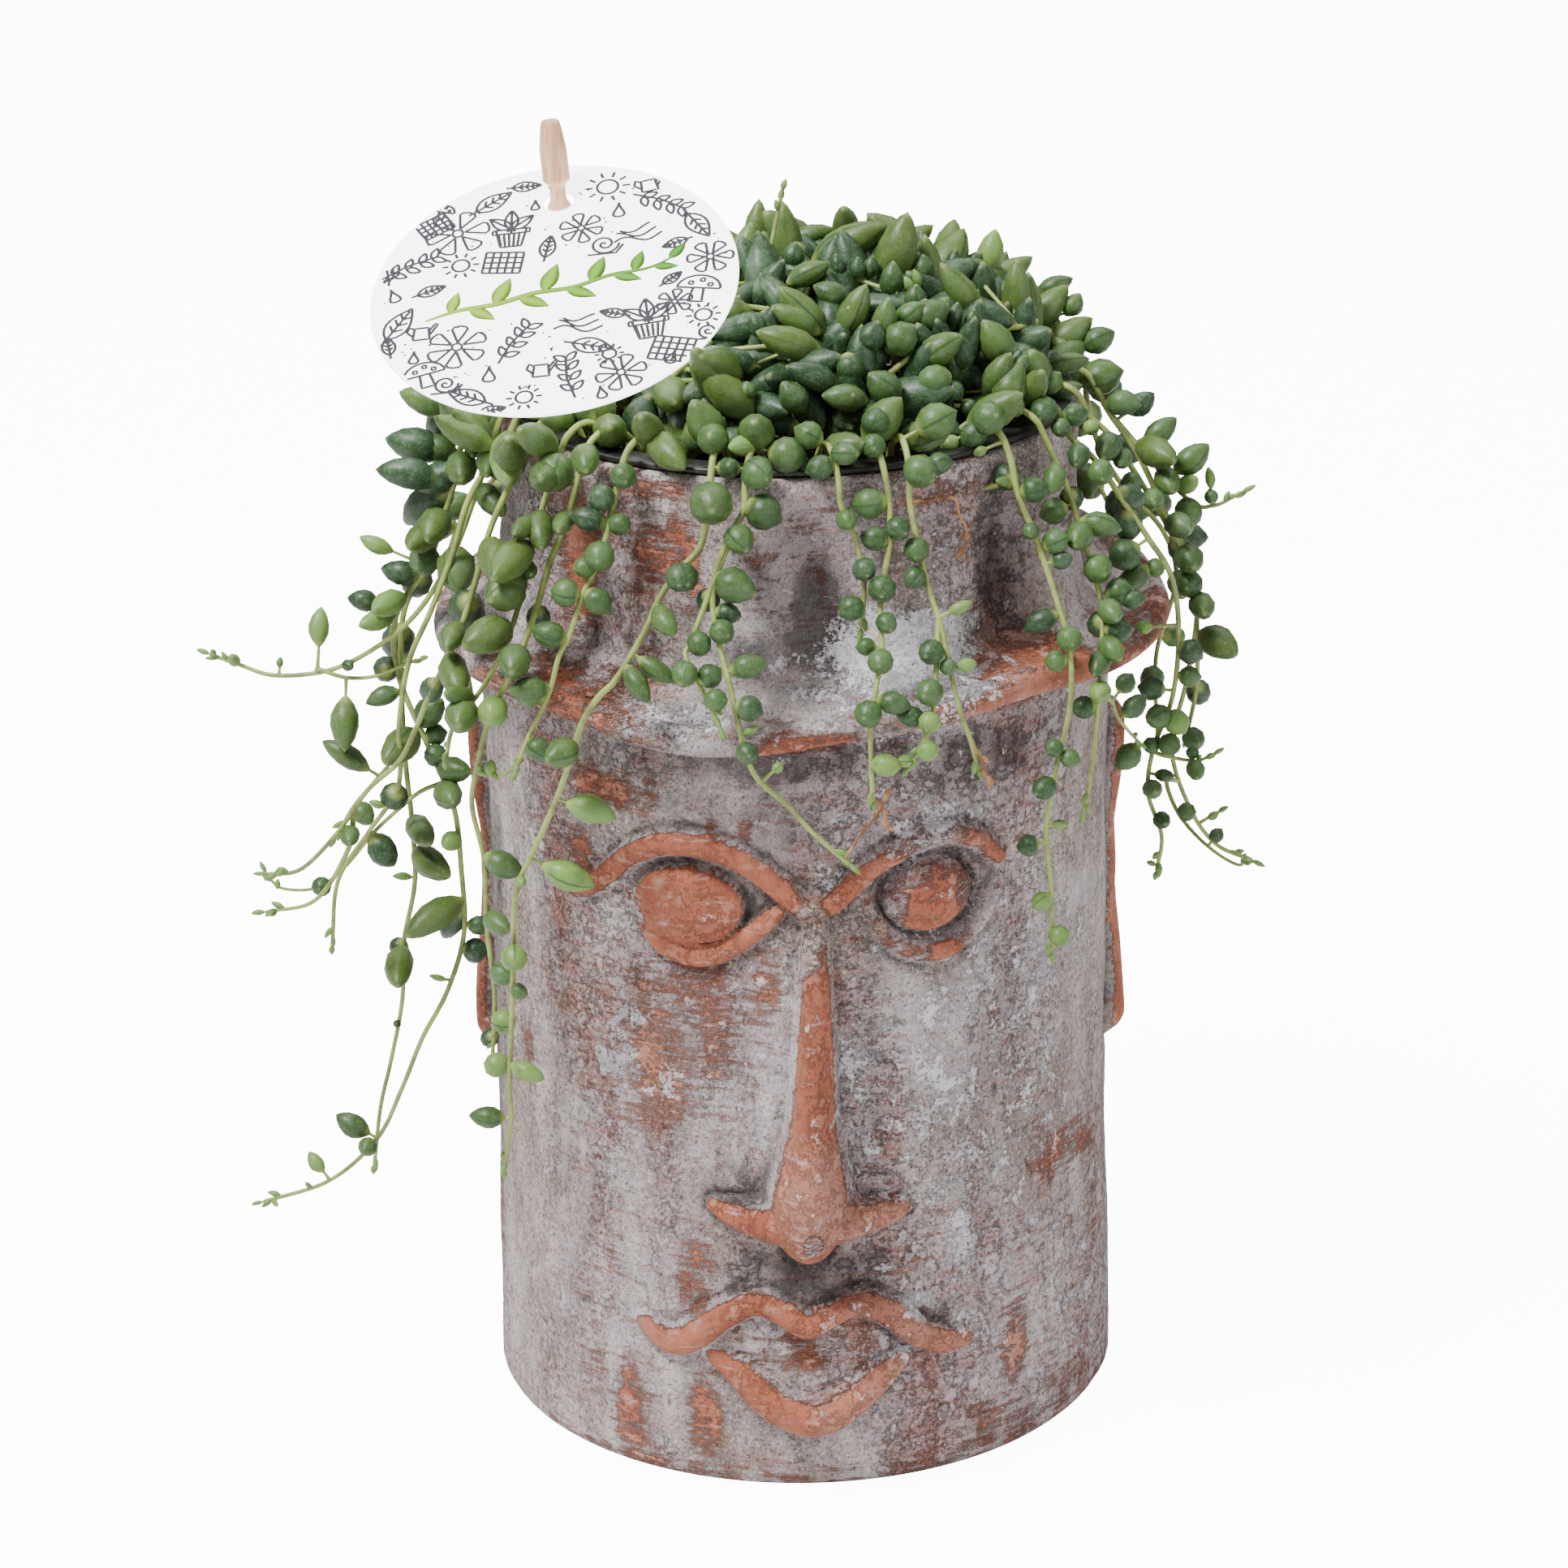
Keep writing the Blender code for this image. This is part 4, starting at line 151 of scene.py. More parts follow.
# Soot patches, part real grime and part painted shade: the painted shadow under the brim and darkening in the
# hat's pleats and round the ears, eyes and nose.
SOOT_AND_SHADE_PATCHES = (
    (2.0, 168, 28, 5, 0.75), (38.5, 164, 22, 7, 0.7), (10, 156, 34, 9, 0.42), (-22, 84, 10, 20, 0.3),
    (-40, 166, 18, 5, 0.4), (-15.8, 70.9, 7.1, 6.7, 0.5), (0.4, 51.5, 17, 5, 0.75),
    (26.2, 38.7, 7.6, 5.8, 0.6), (-23.3, 133.5, 17, 12, 0.22), (28.7, 135.4, 14, 12, 0.42),
    (14, 96, 4.5, 24, 0.45), (37.2, 63.2, 11.6, 3.8, 0.3), (5.6, 197, 6.5, 12, 0.9),
    (-2, 205, 13, 14, 0.55), (52.5, 199, 6.5, 17, 0.8), (26, 208, 10, 8, 0.4), (-26, 196, 8, 9, 0.5),
    (30, 216, 20, 5, 0.35), (-51.5, 201.2, 3, 9, 0.4), (-3.2, 190, 14, 4, 0.7), (52, 188.5, 9, 4, 0.7),
    (-44, 190, 9, 4, 0.5), (104, 118, 10, 28, 0.5), (-104, 118, 10, 28, 0.4), (105, 192, 7, 12, 0.6),
    (154, 194, 7, 12, 0.6), (-120, 192, 7, 12, 0.6), (-171, 194, 7, 12, 0.6), (207, 194, 7, 12, 0.6),
    (-8, 134, 6, 5, 0.4))
COVERED_PATCHES = (
    (27, 149, 10, 4.5, 0.8), (16, 131, 5, 5, 0.8), (42, 129, 6, 6, 0.9), (-36, 131, 3, 7, 0.7),
    (1.6, 131, 4, 8, 0.9), (22, 141, 6, 3, 0.8), (36, 138, 3, 8, 0.8), (20, 135, 3, 9, 0.8),
    (1.5, 64, 1.4, 2.4, 1.6), (22, 124, 9, 4, 0.7), (39, 126, 6, 5, 0.8), (36, 142, 6, 5, 0.7),
    (45, 142, 5, 5, 0.5))
POT_COLUMNS = 400
WALL_ROWS = 172
FRONT_DENSITY = 0.75
FOOT_POINTS = 4
WORN_FROM = 0.40
WORN_CONTRAST = 4.0
# How much painted shade darkens the feet of the face's raised forms.
SKIRT_PAINTED_SHADE = 0.42


def at_turn(radius, turn, z):
    """A place at a radius and a height, turned round the axis from the face."""
    return radius * math.sin(turn), -radius * math.cos(turn), z


def eased(table, at):
    """The value of a table of (place, value) at a place, eased from one entry to the next."""
    if at <= table[0][0]:
        return table[0][1]
    for (low, first), (high, second) in zip(table, table[1:]):
        if at <= high:
            share = (at - low) / (high - low)
            share = share * share * (3 - 2 * share)
            return first + (second - first) * share
    return table[-1][1]


def smooth_line(points, step):
    """Points about a step apart on a smooth curve through the given points."""
    knots = [np.array(p, float) for p in points]
    knots = [2 * knots[0] - knots[1]] + knots + [2 * knots[-1] - knots[-2]]
    line = []
    for a, b, c, d in zip(knots, knots[1:], knots[2:], knots[3:]):
        count = max(2, math.ceil(np.linalg.norm((c - b)[:3]) / step))
        for i in range(count):
            t = i / count
            line.append(0.5 * (2 * b + (c - a) * t + (2 * a - 5 * b + 4 * c - d) * t ** 2
                               + (3 * b - a - 3 * c + d) * t ** 3))
    line.append(knots[-2])
    return line


def ridge_rise(ridge, along, height):
    """Rise of a ridge over the wall, how near its crest each point is, and how near its foot, from 0 to 1."""
    line = smooth_line(ridge, 1.5)
    best = np.zeros_like(along)
    crest = np.zeros_like(along)
    skirt = np.zeros_like(along)
    for first, second in zip(line, line[1:]):
        step = second - first
        share = ((along - first[0]) * step[0] + (height - first[1]) * step[1]) / (step[0] ** 2 + step[1] ** 2)
        share = np.clip(share, 0, 1)
        away = np.hypot(along - first[0] - share * step[0], height - first[1] - share * step[1])
        rise, half = first[2] + share * step[2], first[3] + share * step[3]
        near = np.clip(1 - (away / half) ** 2, 0, 1)
        best = np.maximum(best, rise * near ** 1.1)
        crest = np.maximum(crest, near * np.clip(rise / 1.6, 0, 1))
        skirt = np.maximum(skirt, np.exp(-((away - half * 0.95) / 1.1) ** 2) * np.clip(rise / 2.4, 0, 1))
    return best, crest, skirt


def face_relief(along, height):
    """How far the wall stands out from its cylinder, and how near a raised form's crest and foot it is."""
    ground = np.zeros_like(along)
    for u, z, half_width, half_height, depth in HOLLOWS:
        away = ((along - u) / half_width) ** 2 + ((height - z) / half_height) ** 2
        ground -= depth * np.exp(-1.5 * away)
    rise = np.zeros_like(along)
    crest = np.zeros_like(along)
    skirt = np.zeros_like(along)
    forms = [(ridge, along, 1.0) for ridge in RIDGES]
    forms += [(ridge, np.abs(along), EAR_SCALE) for ridge in (EAR_HELIX, EAR_FOLD)]
    for ridge, across, scale in forms:
        here, near, foot = ridge_rise(ridge, across, height)
        rise = np.maximum(rise, scale * here)
        crest = np.maximum(crest, near)
        skirt = np.maximum(skirt, foot)
    for u, z, half_width, half_height, top in EYES:
        away = ((along - u) / half_width) ** 2 + ((height - z) / half_height) ** 2
        here = np.sqrt(np.clip(1 - away, 0, 1)) ** 0.9
        rise = np.maximum(rise, top * here)
        crest = np.maximum(crest, np.clip(1.7 * here, 0, 1))
        skirt = np.maximum(skirt, np.exp(-((np.sqrt(away) - 1.06) / 0.12) ** 2))
    skirt = skirt * np.clip(1.2 - crest * 2.2, 0, 1)
    return ground + rise - SKIRT_DEPTH * skirt, crest, skirt


def pleat_depth(azimuth):
    """Depth of the hat's pleats at an azimuth in degrees."""
    depth = 0.0
    for middle, half_width, deepest in PLEATS:
        away = (azimuth - middle + 180) % 360 - 180
        depth += deepest * math.exp(-(away / half_width) ** 2)
    return depth


def wall_height(row, low):
    """Height of a wall row under a brim whose lower edge is at low."""
    first, last = 2.4, low - 1.2
    return first + (last - first) * row / (WALL_ROWS - 1)


def planter_outline(azimuth, reliefs):
    """The planter's outline at an azimuth, from its foot up over the hat and down to its floor.

    Each point is (radius, height, how much of it is worked outer surface).
    """
    low = eased(BRIM_EDGES, azimuth)
    reach = eased(BRIM_RADII, azimuth)
    wall = eased(WALL_RADII, low)
    outline = [(0.0, 0.0, 0), (40.0, 0.0, 0), (66.5, 0.0, 0), (67.9, 0.3, 0), (68.8, 1.1, 0.5)]
    for row, relief in enumerate(reliefs):
        z = wall_height(row, low)
        outline.append((eased(WALL_RADII, z) + relief, z, 1))
    outline += [(wall + 0.5, low - 0.3, 1), (wall + 1.6, low + 0.5, 1), (wall + 3.2, low + 0.8, 1),
                (wall + 5.0, low + 0.8, 1), (reach - BRIM_ROLL * 1.6, low + 0.4, 1)]
    for angle in range(-90, 96, 15):
        turn = math.radians(angle)
        outline.append((reach - BRIM_ROLL + BRIM_ROLL * math.cos(turn),
                        low + BRIM_ROLL + BRIM_ROLL * math.sin(turn), 1))
    pleat = pleat_depth(azimuth)
    foot_height, foot_radius = CROWN_RADII[0]
    for step in range(1, 13):
        share = 0.04 + 0.96 * step / 12
        radius = (reach - 4.0) * (1 - share) + (foot_radius - pleat * 0.8) * share
        rise = (foot_height - low - 5.5) * share ** 1.8 - pleat * 0.3 * share
        outline.append((radius, low + 5.5 + rise, 1))
    for z in np.arange(189.5, 224.0, 1.5):
        fade = 1 - ((z - foot_height) / (POT_HEIGHT - foot_height)) ** 1.5
        outline.append((eased(CROWN_RADII, z) - pleat * fade, float(z), 1))
    rim = CROWN_RADII[-1][1]
    outline += [(rim - 0.1, POT_HEIGHT - 1.5, 1), (rim - 0.4, POT_HEIGHT - 0.6, 0.6),
                (rim - 0.9, POT_HEIGHT - 0.2, 0.3), (rim - 1.7, POT_HEIGHT, 0)]
    inner = POT_INNER_RADIUS
    outline += [(inner + 1.2, POT_HEIGHT, 0), (inner + 0.3, POT_HEIGHT - 0.4, 0)]
    outline += [(inner, POT_HEIGHT - 1.3, 0)]
    outline += [(inner, z, 0) for z in (200, 160, 120, 80, 40, POT_FLOOR + 2.5)]
    outline += [(inner - 0.8, POT_FLOOR + 0.7, 0), (inner - 2.5, POT_FLOOR, 0), (0.0, POT_FLOOR, 0)]
    return outline


def patch_strength(patches, along, height):
    """Strength of a group of patches at places on the planter's skin."""
    total = np.zeros_like(along)
    lap = 2 * math.pi * FACE_RADIUS
    for u, z, half_width, half_height, strength in patches:
        across = (along - u + lap / 2) % lap - lap / 2
        away = np.sqrt((across / half_width) ** 2 + ((height - z) / half_height) ** 2)
        total = np.maximum(total, strength * np.clip(1.45 - 0.75 * away, 0, 1))
    return total


def in_metres(points):
    """Points in millimetres as plain tuples in metres."""
    return [tuple(float(c) * MM for c in point) for point in points]


def new_mesh_object(name, points, faces):
    """A smooth-shaded object from points in millimetres."""
    mesh = bpy.data.meshes.new(name)
    mesh.from_pydata(in_metres(points), [], faces)
    mesh.validate()
    mesh.shade_smooth()
    return in_scene(name, mesh)


def store(mesh, name, values):
    """Keeps a number or a vector for each point of a mesh."""
    values = np.asarray(values, np.float32)
    kind, field = ("FLOAT", "value") if values.ndim == 1 else ("FLOAT_VECTOR", "vector")
    mesh.attributes.new(name, kind, "POINT").data.foreach_set(field, values.ravel())


def make_planter_skin():
    """The planter's mesh, finer toward the face, with its wash's patches kept on its points."""
    shares = [-1 + 2 * i / POT_COLUMNS for i in range(POT_COLUMNS)]
    azimuths = [180 * (t * FRONT_DENSITY + t ** 3 * (1 - FRONT_DENSITY)) for t in shares]
    along = np.empty((POT_COLUMNS, WALL_ROWS))
    height = np.empty_like(along)
    for column, azimuth in enumerate(azimuths):
        along[column] = math.radians(azimuth) * FACE_RADIUS
        low = eased(BRIM_EDGES, azimuth)
        height[column] = [wall_height(row, low) for row in range(WALL_ROWS)]
    reliefs, crests, skirts = face_relief(along, height)
    outlines = [planter_outline(azimuth, relief) for azimuth, relief in zip(azimuths, reliefs)]
    rings = len(outlines[0]) - 2
    points = [(0, 0, 0), (0, 0, POT_FLOOR)]
    places = [(0, 0, 0), (0, POT_FLOOR, 0)]
    for azimuth, outline in zip(azimuths, outlines):
        turn = math.radians(azimuth)
        points += [at_turn(radius, turn, z) for radius, z, worked in outline[1:-1]]
        places += [(turn * FACE_RADIUS, z, worked) for radius, z, worked in outline[1:-1]]
    faces = []
    for column in range(POT_COLUMNS):
        here, after = 2 + column * rings, 2 + (column + 1) % POT_COLUMNS * rings
        faces.append((0, after, here))
        faces += [(here + i, after + i, after + i + 1, here + i + 1) for i in range(rings - 1)]
        faces.append((here + rings - 1, after + rings - 1, 1))
    planter = new_mesh_object("planter", points, faces)
    crest = np.zeros(len(points))
    skirt = np.zeros(len(points))
    for column in range(POT_COLUMNS):
        start = 2 + column * rings + FOOT_POINTS
        crest[start:start + WALL_ROWS] = crests[column]
        skirt[start:start + WALL_ROWS] = skirts[column]
    place = np.array(places)
    around, up, worked = place[:, 0], place[:, 1], place[:, 2]
    covered = patch_strength(COVERED_PATCHES, around, up)
    worn = np.clip((crest - WORN_FROM) * WORN_CONTRAST, 0, 1.5) * (1 - np.clip(covered, 0, 1))
    store(planter.data, "worked", worked)
    washed_off = patch_strength(BARE_PATCHES, around, up) * (1 - 0.6 * covered)
    store(planter.data, "bare", np.maximum(worn, washed_off))
    store(planter.data, "salt", patch_strength(SALT_PATCHES, around, up) * np.clip(1 - worn, 0, 1))
    # Soot patches plus painted shade along the feet of raised forms, kept together as one darkening mask.
    soot = patch_strength(SOOT_AND_SHADE_PATCHES, around, up) + SKIRT_PAINTED_SHADE * skirt
    store(planter.data, "soot", np.clip(soot, 0, 1) * np.clip(1 - worn, 0, 1))
    return planter


def add_node(tree, kind, inputs=None, **settings):
    """A node in a tree. Its inputs are values, or the nodes or sockets that feed them."""
    node = tree.nodes.new(kind)
    for name, value in settings.items():
        setattr(node, name, value)
    for key, value in (inputs or {}).items():
        if isinstance(value, bpy.types.Node):
            value = value.outputs[0]
        if isinstance(value, bpy.types.NodeSocket):
            tree.links.new(value, node.inputs[key])
        else:
            node.inputs[key].default_value = value
    return node


def add_math(tree, operation, *values):
    """The result of a Math node."""
    return add_node(tree, "ShaderNodeMath", dict(enumerate(values)), operation=operation).outputs[0]


def times(tree, first, second):
    """The product of two values."""
    return add_math(tree, "MULTIPLY", first, second)


def plus(tree, first, second):
    """The sum of two values."""
    return add_math(tree, "ADD", first, second)


def minus(tree, first, second):
    """One value less another."""
    return add_math(tree, "SUBTRACT", first, second)


def add_ramp(tree, value, low, high, to_low=0.0, to_high=1.0):
    """A smooth step of a value from one level to another."""
    inputs = {"Value": value, "From Min": low, "From Max": high, "To Min": to_low, "To Max": to_high}
    return add_node(tree, "ShaderNodeMapRange", inputs, interpolation_type="SMOOTHSTEP").outputs["Result"]


def kept(tree, name, kind="FLOAT"):
    """A value kept on a mesh's points, in a material's tree or a geometry tree."""
    if tree.type == "SHADER":
        return add_node(tree, "ShaderNodeAttribute", attribute_name=name).outputs["Fac"]
    return add_node(tree, "GeometryNodeInputNamedAttribute", {"Name": name}, data_type=kind).outputs[0]


def geometry_tree(name, inputs):
    """A Geometry Nodes tree and what it is given: geometry and inputs of a name, socket type and value."""
    tree = bpy.data.node_groups.new(name, "GeometryNodeTree")
    tree.interface.new_socket("Geometry", in_out="INPUT", socket_type="NodeSocketGeometry")
    for label, kind, value in inputs:
        socket = tree.interface.new_socket(label, in_out="INPUT", socket_type=kind)
        if value is not None:
            socket.default_value = value
    tree.interface.new_socket("Geometry", in_out="OUTPUT", socket_type="NodeSocketGeometry")
    return tree, tree.nodes.new("NodeGroupInput").outputs


def end_tree(tree, geometry, finish=None):
    """Hands out a tree's geometry as plain mesh, in its material where one is given."""
    done = add_node(tree, "GeometryNodeRealizeInstances", {"Geometry": geometry})
    if finish is not None:
        done = add_node(tree, "GeometryNodeSetMaterial", {"Geometry": done, "Material": finish})
    tree.links.new(done.outputs[0], tree.nodes.new("NodeGroupOutput").inputs[0])
    return tree


def grow(target, tree, values):
    """Runs a Geometry Nodes tree on an object and keeps the result as its plain mesh."""
    modifier = target.modifiers.new(tree.name, "NODES")
    modifier.node_group = tree
    names = {item.name: item.identifier for item in tree.interface.items_tree if item.in_out == "INPUT"}
    for name, value in values.items():
        modifier[names[name]] = value
    return as_grown(target)


def as_grown(target):
    """The object with what its modifiers make kept as its plain mesh."""
    depsgraph = bpy.context.evaluated_depsgraph_get()
    old = target.data
    target.data = bpy.data.meshes.new_from_object(target.evaluated_get(depsgraph))
    target.modifiers.clear()
    bpy.data.meshes.remove(old)
    target.data.name = target.name
    return target


def hand_worked_tree():
    """Slight lumps and a coarse slip grain over the planter's outer skin."""
    tree, given = geometry_tree("hand_worked_skin", (
        ("Lump Height", "NodeSocketFloat", 0.0005), ("Lump Size", "NodeSocketFloat", 0.02),
        ("Slip Height", "NodeSocketFloat", 0.00022), ("Slip Size", "NodeSocketFloat", 0.003),
        ("Seed", "NodeSocketFloat", 3.0)))
    place = tree.nodes.new("GeometryNodeInputPosition")
    normal = tree.nodes.new("GeometryNodeInputNormal")
    offsets = []
    for size, high, detail in (("Lump Size", "Lump Height", 2.0), ("Slip Size", "Slip Height", 3.0)):
        scale = add_math(tree, "DIVIDE", 1.0, given[size])
        field = add_node(tree, "ShaderNodeTexNoise", {"Vector": place, "W": given["Seed"], "Scale": scale,
                                                      "Detail": detail}, noise_dimensions="4D")
        centred = minus(tree, field.outputs[0], 0.5)
        offsets.append(times(tree, times(tree, centred, 2.0), given[high]))
    slip = times(tree, offsets[1], minus(tree, 1.0, times(tree, kept(tree, "bare"), 0.8)))
    height = times(tree, plus(tree, offsets[0], slip), kept(tree, "worked"))
    moved = add_node(tree, "ShaderNodeVectorMath", {0: normal, "Scale": height}, operation="SCALE")
    skin = add_node(tree, "GeometryNodeSetPosition", {"Geometry": given["Geometry"], "Offset": moved})
    return end_tree(tree, skin)


def noise(tree, vector, size, detail=4.0, rough=0.6, warp=0.0):
    """Noise from 0 to 1 whose largest forms are about a size in metres."""
    inputs = {"Vector": vector, "Scale": 1.0 / size, "Detail": detail, "Roughness": rough, "Distortion": warp}
    return add_node(tree, "ShaderNodeTexNoise", inputs).outputs[0]


def mix_colour(tree, share, first, second):
    """One colour over another by a share."""
    first, second = [c if isinstance(c, bpy.types.NodeSocket) else (*c, 1.0) for c in (first, second)]
    mix = add_node(tree, "ShaderNodeMix", {"Factor": share, 6: first, 7: second}, data_type="RGBA")
    return mix.outputs[2]


def coated(tree, colour, coats):
    """A colour under thin coats: what each follows, from where to where, how much at most, and its colour."""
    for value, start, end, most, coat in coats:
        colour = mix_colour(tree, add_ramp(tree, value, start, end, 0, most), colour, coat)
    return colour


def new_material(name, roughness, specular=0.5):
    """A material, its tree and its Principled shader."""
    made = bpy.data.materials.new(name)
    made.use_nodes = True
    shader = made.node_tree.nodes["Principled BSDF"]
    shader.inputs["Roughness"].default_value = roughness
    shader.inputs["Specular IOR Level"].default_value = specular
    return made, made.node_tree, shader


def object_place(tree, scale=(1, 1, 1), turn=(0, 0, 0)):
    """Where a point is in the object's own frame, stretched for patterns that are drawn out."""
    place = tree.nodes.new("ShaderNodeTexCoord").outputs["Object"]
    return add_node(tree, "ShaderNodeMapping", {"Vector": place, "Scale": scale, "Rotation": turn}).outputs[0]


def add_bump(tree, shader, height, strength=1.0):
    """Feeds a height in metres to a shader's normal."""
    bump = add_node(tree, "ShaderNodeBump", {"Height": height, "Strength": strength, "Distance": 1.0})
    tree.links.new(bump.outputs[0], shader.inputs["Normal"])


def washed_clay():
    """Orange earthenware under a sandy grey cement slip, with white salt bloom, and with soot and painted
    shade darkening its hollows.
    """
    made, tree, shader = new_material("washed_earthenware", 0.9, 0.25)
    place, run_down = object_place(tree), object_place(tree, (1, 1, 0.3))
    cloud = noise(tree, place, 0.05, 3.0, 0.6)
    sweep = noise(tree, run_down, 0.026, 4.0, 0.6)
    streak = noise(tree, run_down, 0.016, 5.0, 0.7, 0.5)
    patch = noise(tree, run_down, 0.011, 5.0, 0.66)
    flake = noise(tree, place, 0.0075, 6.0, 0.7, 0.6)
    ragged = noise(tree, place, 0.0042, 5.0, 0.72)
    brush = noise(tree, object_place(tree, (0.14, 0.14, 1), (0, 0.16, 0)), 0.0015, 4.0, 0.72)
    sand = noise(tree, place, 0.00095, 3.0, 0.75)
    fine = noise(tree, place, 0.00042, 2.0, 0.7)

    def mask(start, parts, low, high):
        """Where a finish shows: a start value made uneven by noises, each with its weight."""
        for value, weight in parts:
            start = plus(tree, start, times(tree, minus(tree, value, 0.5), weight))
        return add_ramp(tree, start, low, high)

    bare = mask(kept(tree, "bare"), ((patch, 1.0), (ragged, 0.9), (sand, 0.8), (brush, 1.0)), 0.38, 0.66)
    stain = mask(times(tree, kept(tree, "bare"), 0.6),
                 ((sweep, 1.9), (patch, 1.3), (brush, 1.5), (sand, 0.8)), 0.06, 0.52)
    salt = mask(kept(tree, "salt"), ((ragged, 1.1), (sand, 1.3), (flake, 1.7), (fine, 0.6)), 0.40, 0.56)
    chips = mask(times(tree, kept(tree, "salt"), 0.5),
                 ((flake, 2.2), (ragged, 1.8), (cloud, 1.3), (sand, 0.8)), 0.40, 0.52)
    soot = mask(kept(tree, "soot"), ((patch, 1.3), (streak, 1.0), (ragged, 1.2), (sand, 1.1)), 0.26, 0.84)
    crossing = add_math(tree, "ABSOLUTE", minus(tree, ragged, 0.52))
    fissure = times(tree, add_ramp(tree, crossing, 0.035, 0.004), add_ramp(tree, sweep, 0.42, 0.58))
    slip = coated(tree, SLIP_WARM, (
        (cloud, 0.38, 0.58, 1, SLIP_MAUVE), (streak, 0.44, 0.66, 0.9, SLIP_PALE),
        (streak, 0.45, 0.33, 0.4, SLIP_DARK), (brush, 0.50, 0.70, 0.6, SLIP_RUST)))
    slip = mix_colour(tree, times(tree, stain, 0.72), slip, CLAY_DEEP)
    slip = coated(tree, slip, (
        (sand, 0.53, 0.66, 0.75, SAND_WHITE), (sand, 0.47, 0.33, 0.8, SAND_DARK),
        (fine, 0.60, 0.70, 0.7, SAND_WHITE), (fine, 0.41, 0.31, 0.7, SAND_DARK),
        (ragged, 0.56, 0.68, 0.5, SAND_WHITE), (ragged, 0.46, 0.33, 0.55, SAND_DARK)))
    slip = mix_colour(tree, times(tree, fissure, 0.5), slip, SOOT_AND_SHADE_BLACK)
    slip = coated(tree, slip, ((flake, 0.40, 0.30, 0.65, SOOT_AND_SHADE_BLACK),))
    clay = coated(tree, CLAY_DEEP, (
        (patch, 0.35, 0.65, 1, CLAY_LIGHT), (ragged, 0.52, 0.70, 0.5, CLAY_DUSTY),
        (cloud, 0.50, 0.64, 0.4, CLAY_DUSTY), (fine, 0.58, 0.72, 0.35, CLAY_GRAIN),
        (ragged, 0.46, 0.30, 0.7, CLAY_BURNT), (brush, 0.58, 0.72, 0.4, SLIP_PALE)))
    # Soot and painted shade darken the slip toward black.
    colour = mix_colour(tree, times(tree, soot, 0.8), slip, SOOT_AND_SHADE_BLACK)
    colour = mix_colour(tree, bare, colour, clay)
    colour = mix_colour(tree, times(tree, chips, 0.75), colour, SALT_WHITE)
    colour = mix_colour(tree, salt, colour, SALT_WHITE)
    tree.links.new(colour, shader.inputs["Base Color"])
    rough_slip = minus(tree, 1.0, times(tree, bare, 0.85))
    grain = plus(tree, times(tree, sand, 0.0005), times(tree, fine, 0.00018))
    height = times(tree, minus(tree, 1.0, bare), 0.00035)
    for part, depth in ((times(tree, grain, rough_slip), 1.0), (ragged, 0.0012),
                        (times(tree, flake, rough_slip), 0.0022), (salt, 0.0004), (fissure, -0.0005)):
        height = plus(tree, height, times(tree, part, depth))
    add_bump(tree, shader, height)
    tree.links.new(add_ramp(tree, bare, 0, 1, 0.93, 0.62), shader.inputs["Roughness"])
    return made


SLIP_WARM = (0.362, 0.280, 0.250)
SLIP_MAUVE = (0.470, 0.380, 0.395)
SLIP_PALE = (0.720, 0.635, 0.645)
SLIP_DARK = (0.140, 0.112, 0.105)
SLIP_RUST = (0.400, 0.195, 0.150)
SAND_WHITE = (0.740, 0.690, 0.690)
SAND_DARK = (0.100, 0.082, 0.072)
# Black for soot, for the crust's fissures and flakes, and for painted shade in hollows.
SOOT_AND_SHADE_BLACK = (0.042, 0.036, 0.034)
SALT_WHITE = (0.760, 0.720, 0.750)
CLAY_DEEP = (0.330, 0.095, 0.050)
CLAY_LIGHT = (0.455, 0.148, 0.080)
CLAY_DUSTY = (0.500, 0.290, 0.225)
CLAY_GRAIN = (0.520, 0.300, 0.210)
CLAY_BURNT = (0.170, 0.058, 0.038)
planter = grow(make_planter_skin(), hand_worked_tree(), {})
planter.data.materials.clear()
planter.data.materials.append(washed_clay())
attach(planter, "root")
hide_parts("head_planter")

# The plant stands in a thin nursery pot, formed from one sheet of black plastic. It drops into the planter,
# its rolled lip lies on the planter's rim, and it has four drain holes in its floor.
LINER_SIDES = 96
LINER_FOOT = 137.0
LINER_WALL = 1.2
LINER_FOOT_RADIUS = 44.0
LINER_TOP_RADIUS = 55.6
LINER_LIP_RADIUS = 60.6
LINER_LIP_FOOT = 226.3
LINER_LIP_TOP = 227.8
DRAIN_HOLE_RADIUS = 4.0
DRAIN_HOLE_RING = 26.0
DRAIN_HOLES = 4


def turned(name, profile, sides, radius_at=None):
    """A lathe-turned solid. The profile runs from the axis at the bottom to the axis at the top."""
    radius_at = radius_at or (lambda radius, height, angle: radius)
    rings = profile[1:-1]
    points = [(0, 0, profile[0][1])]
    for radius, height in rings:
        for side in range(sides):
            angle = 2 * math.pi * side / sides
            r = radius_at(radius, height, angle)
            points.append((r * math.cos(angle), r * math.sin(angle), height))
    points.append((0, 0, profile[-1][1]))
    faces = []
    for side in range(sides):
        after = (side + 1) % sides
        faces.append((0, 1 + after, 1 + side))
        for ring in range(len(rings) - 1):
            low, high = 1 + ring * sides, 1 + (ring + 1) * sides
            faces.append((low + side, low + after, high + after, high + side))
        last = 1 + (len(rings) - 1) * sides
        faces.append((last + side, last + after, len(points) - 1))
    return new_mesh_object(name, points, faces)


def drilled(body, cutters):
    """The body with the cutters taken out of it, as a plain mesh."""
    for cutter in cutters:
        hole = body.modifiers.new("hole", "BOOLEAN")
        hole.operation = "DIFFERENCE"
        hole.object = cutter
    as_grown(body)
    for cutter in cutters:
        bpy.data.objects.remove(cutter)
    body.data.materials.clear()
    return body


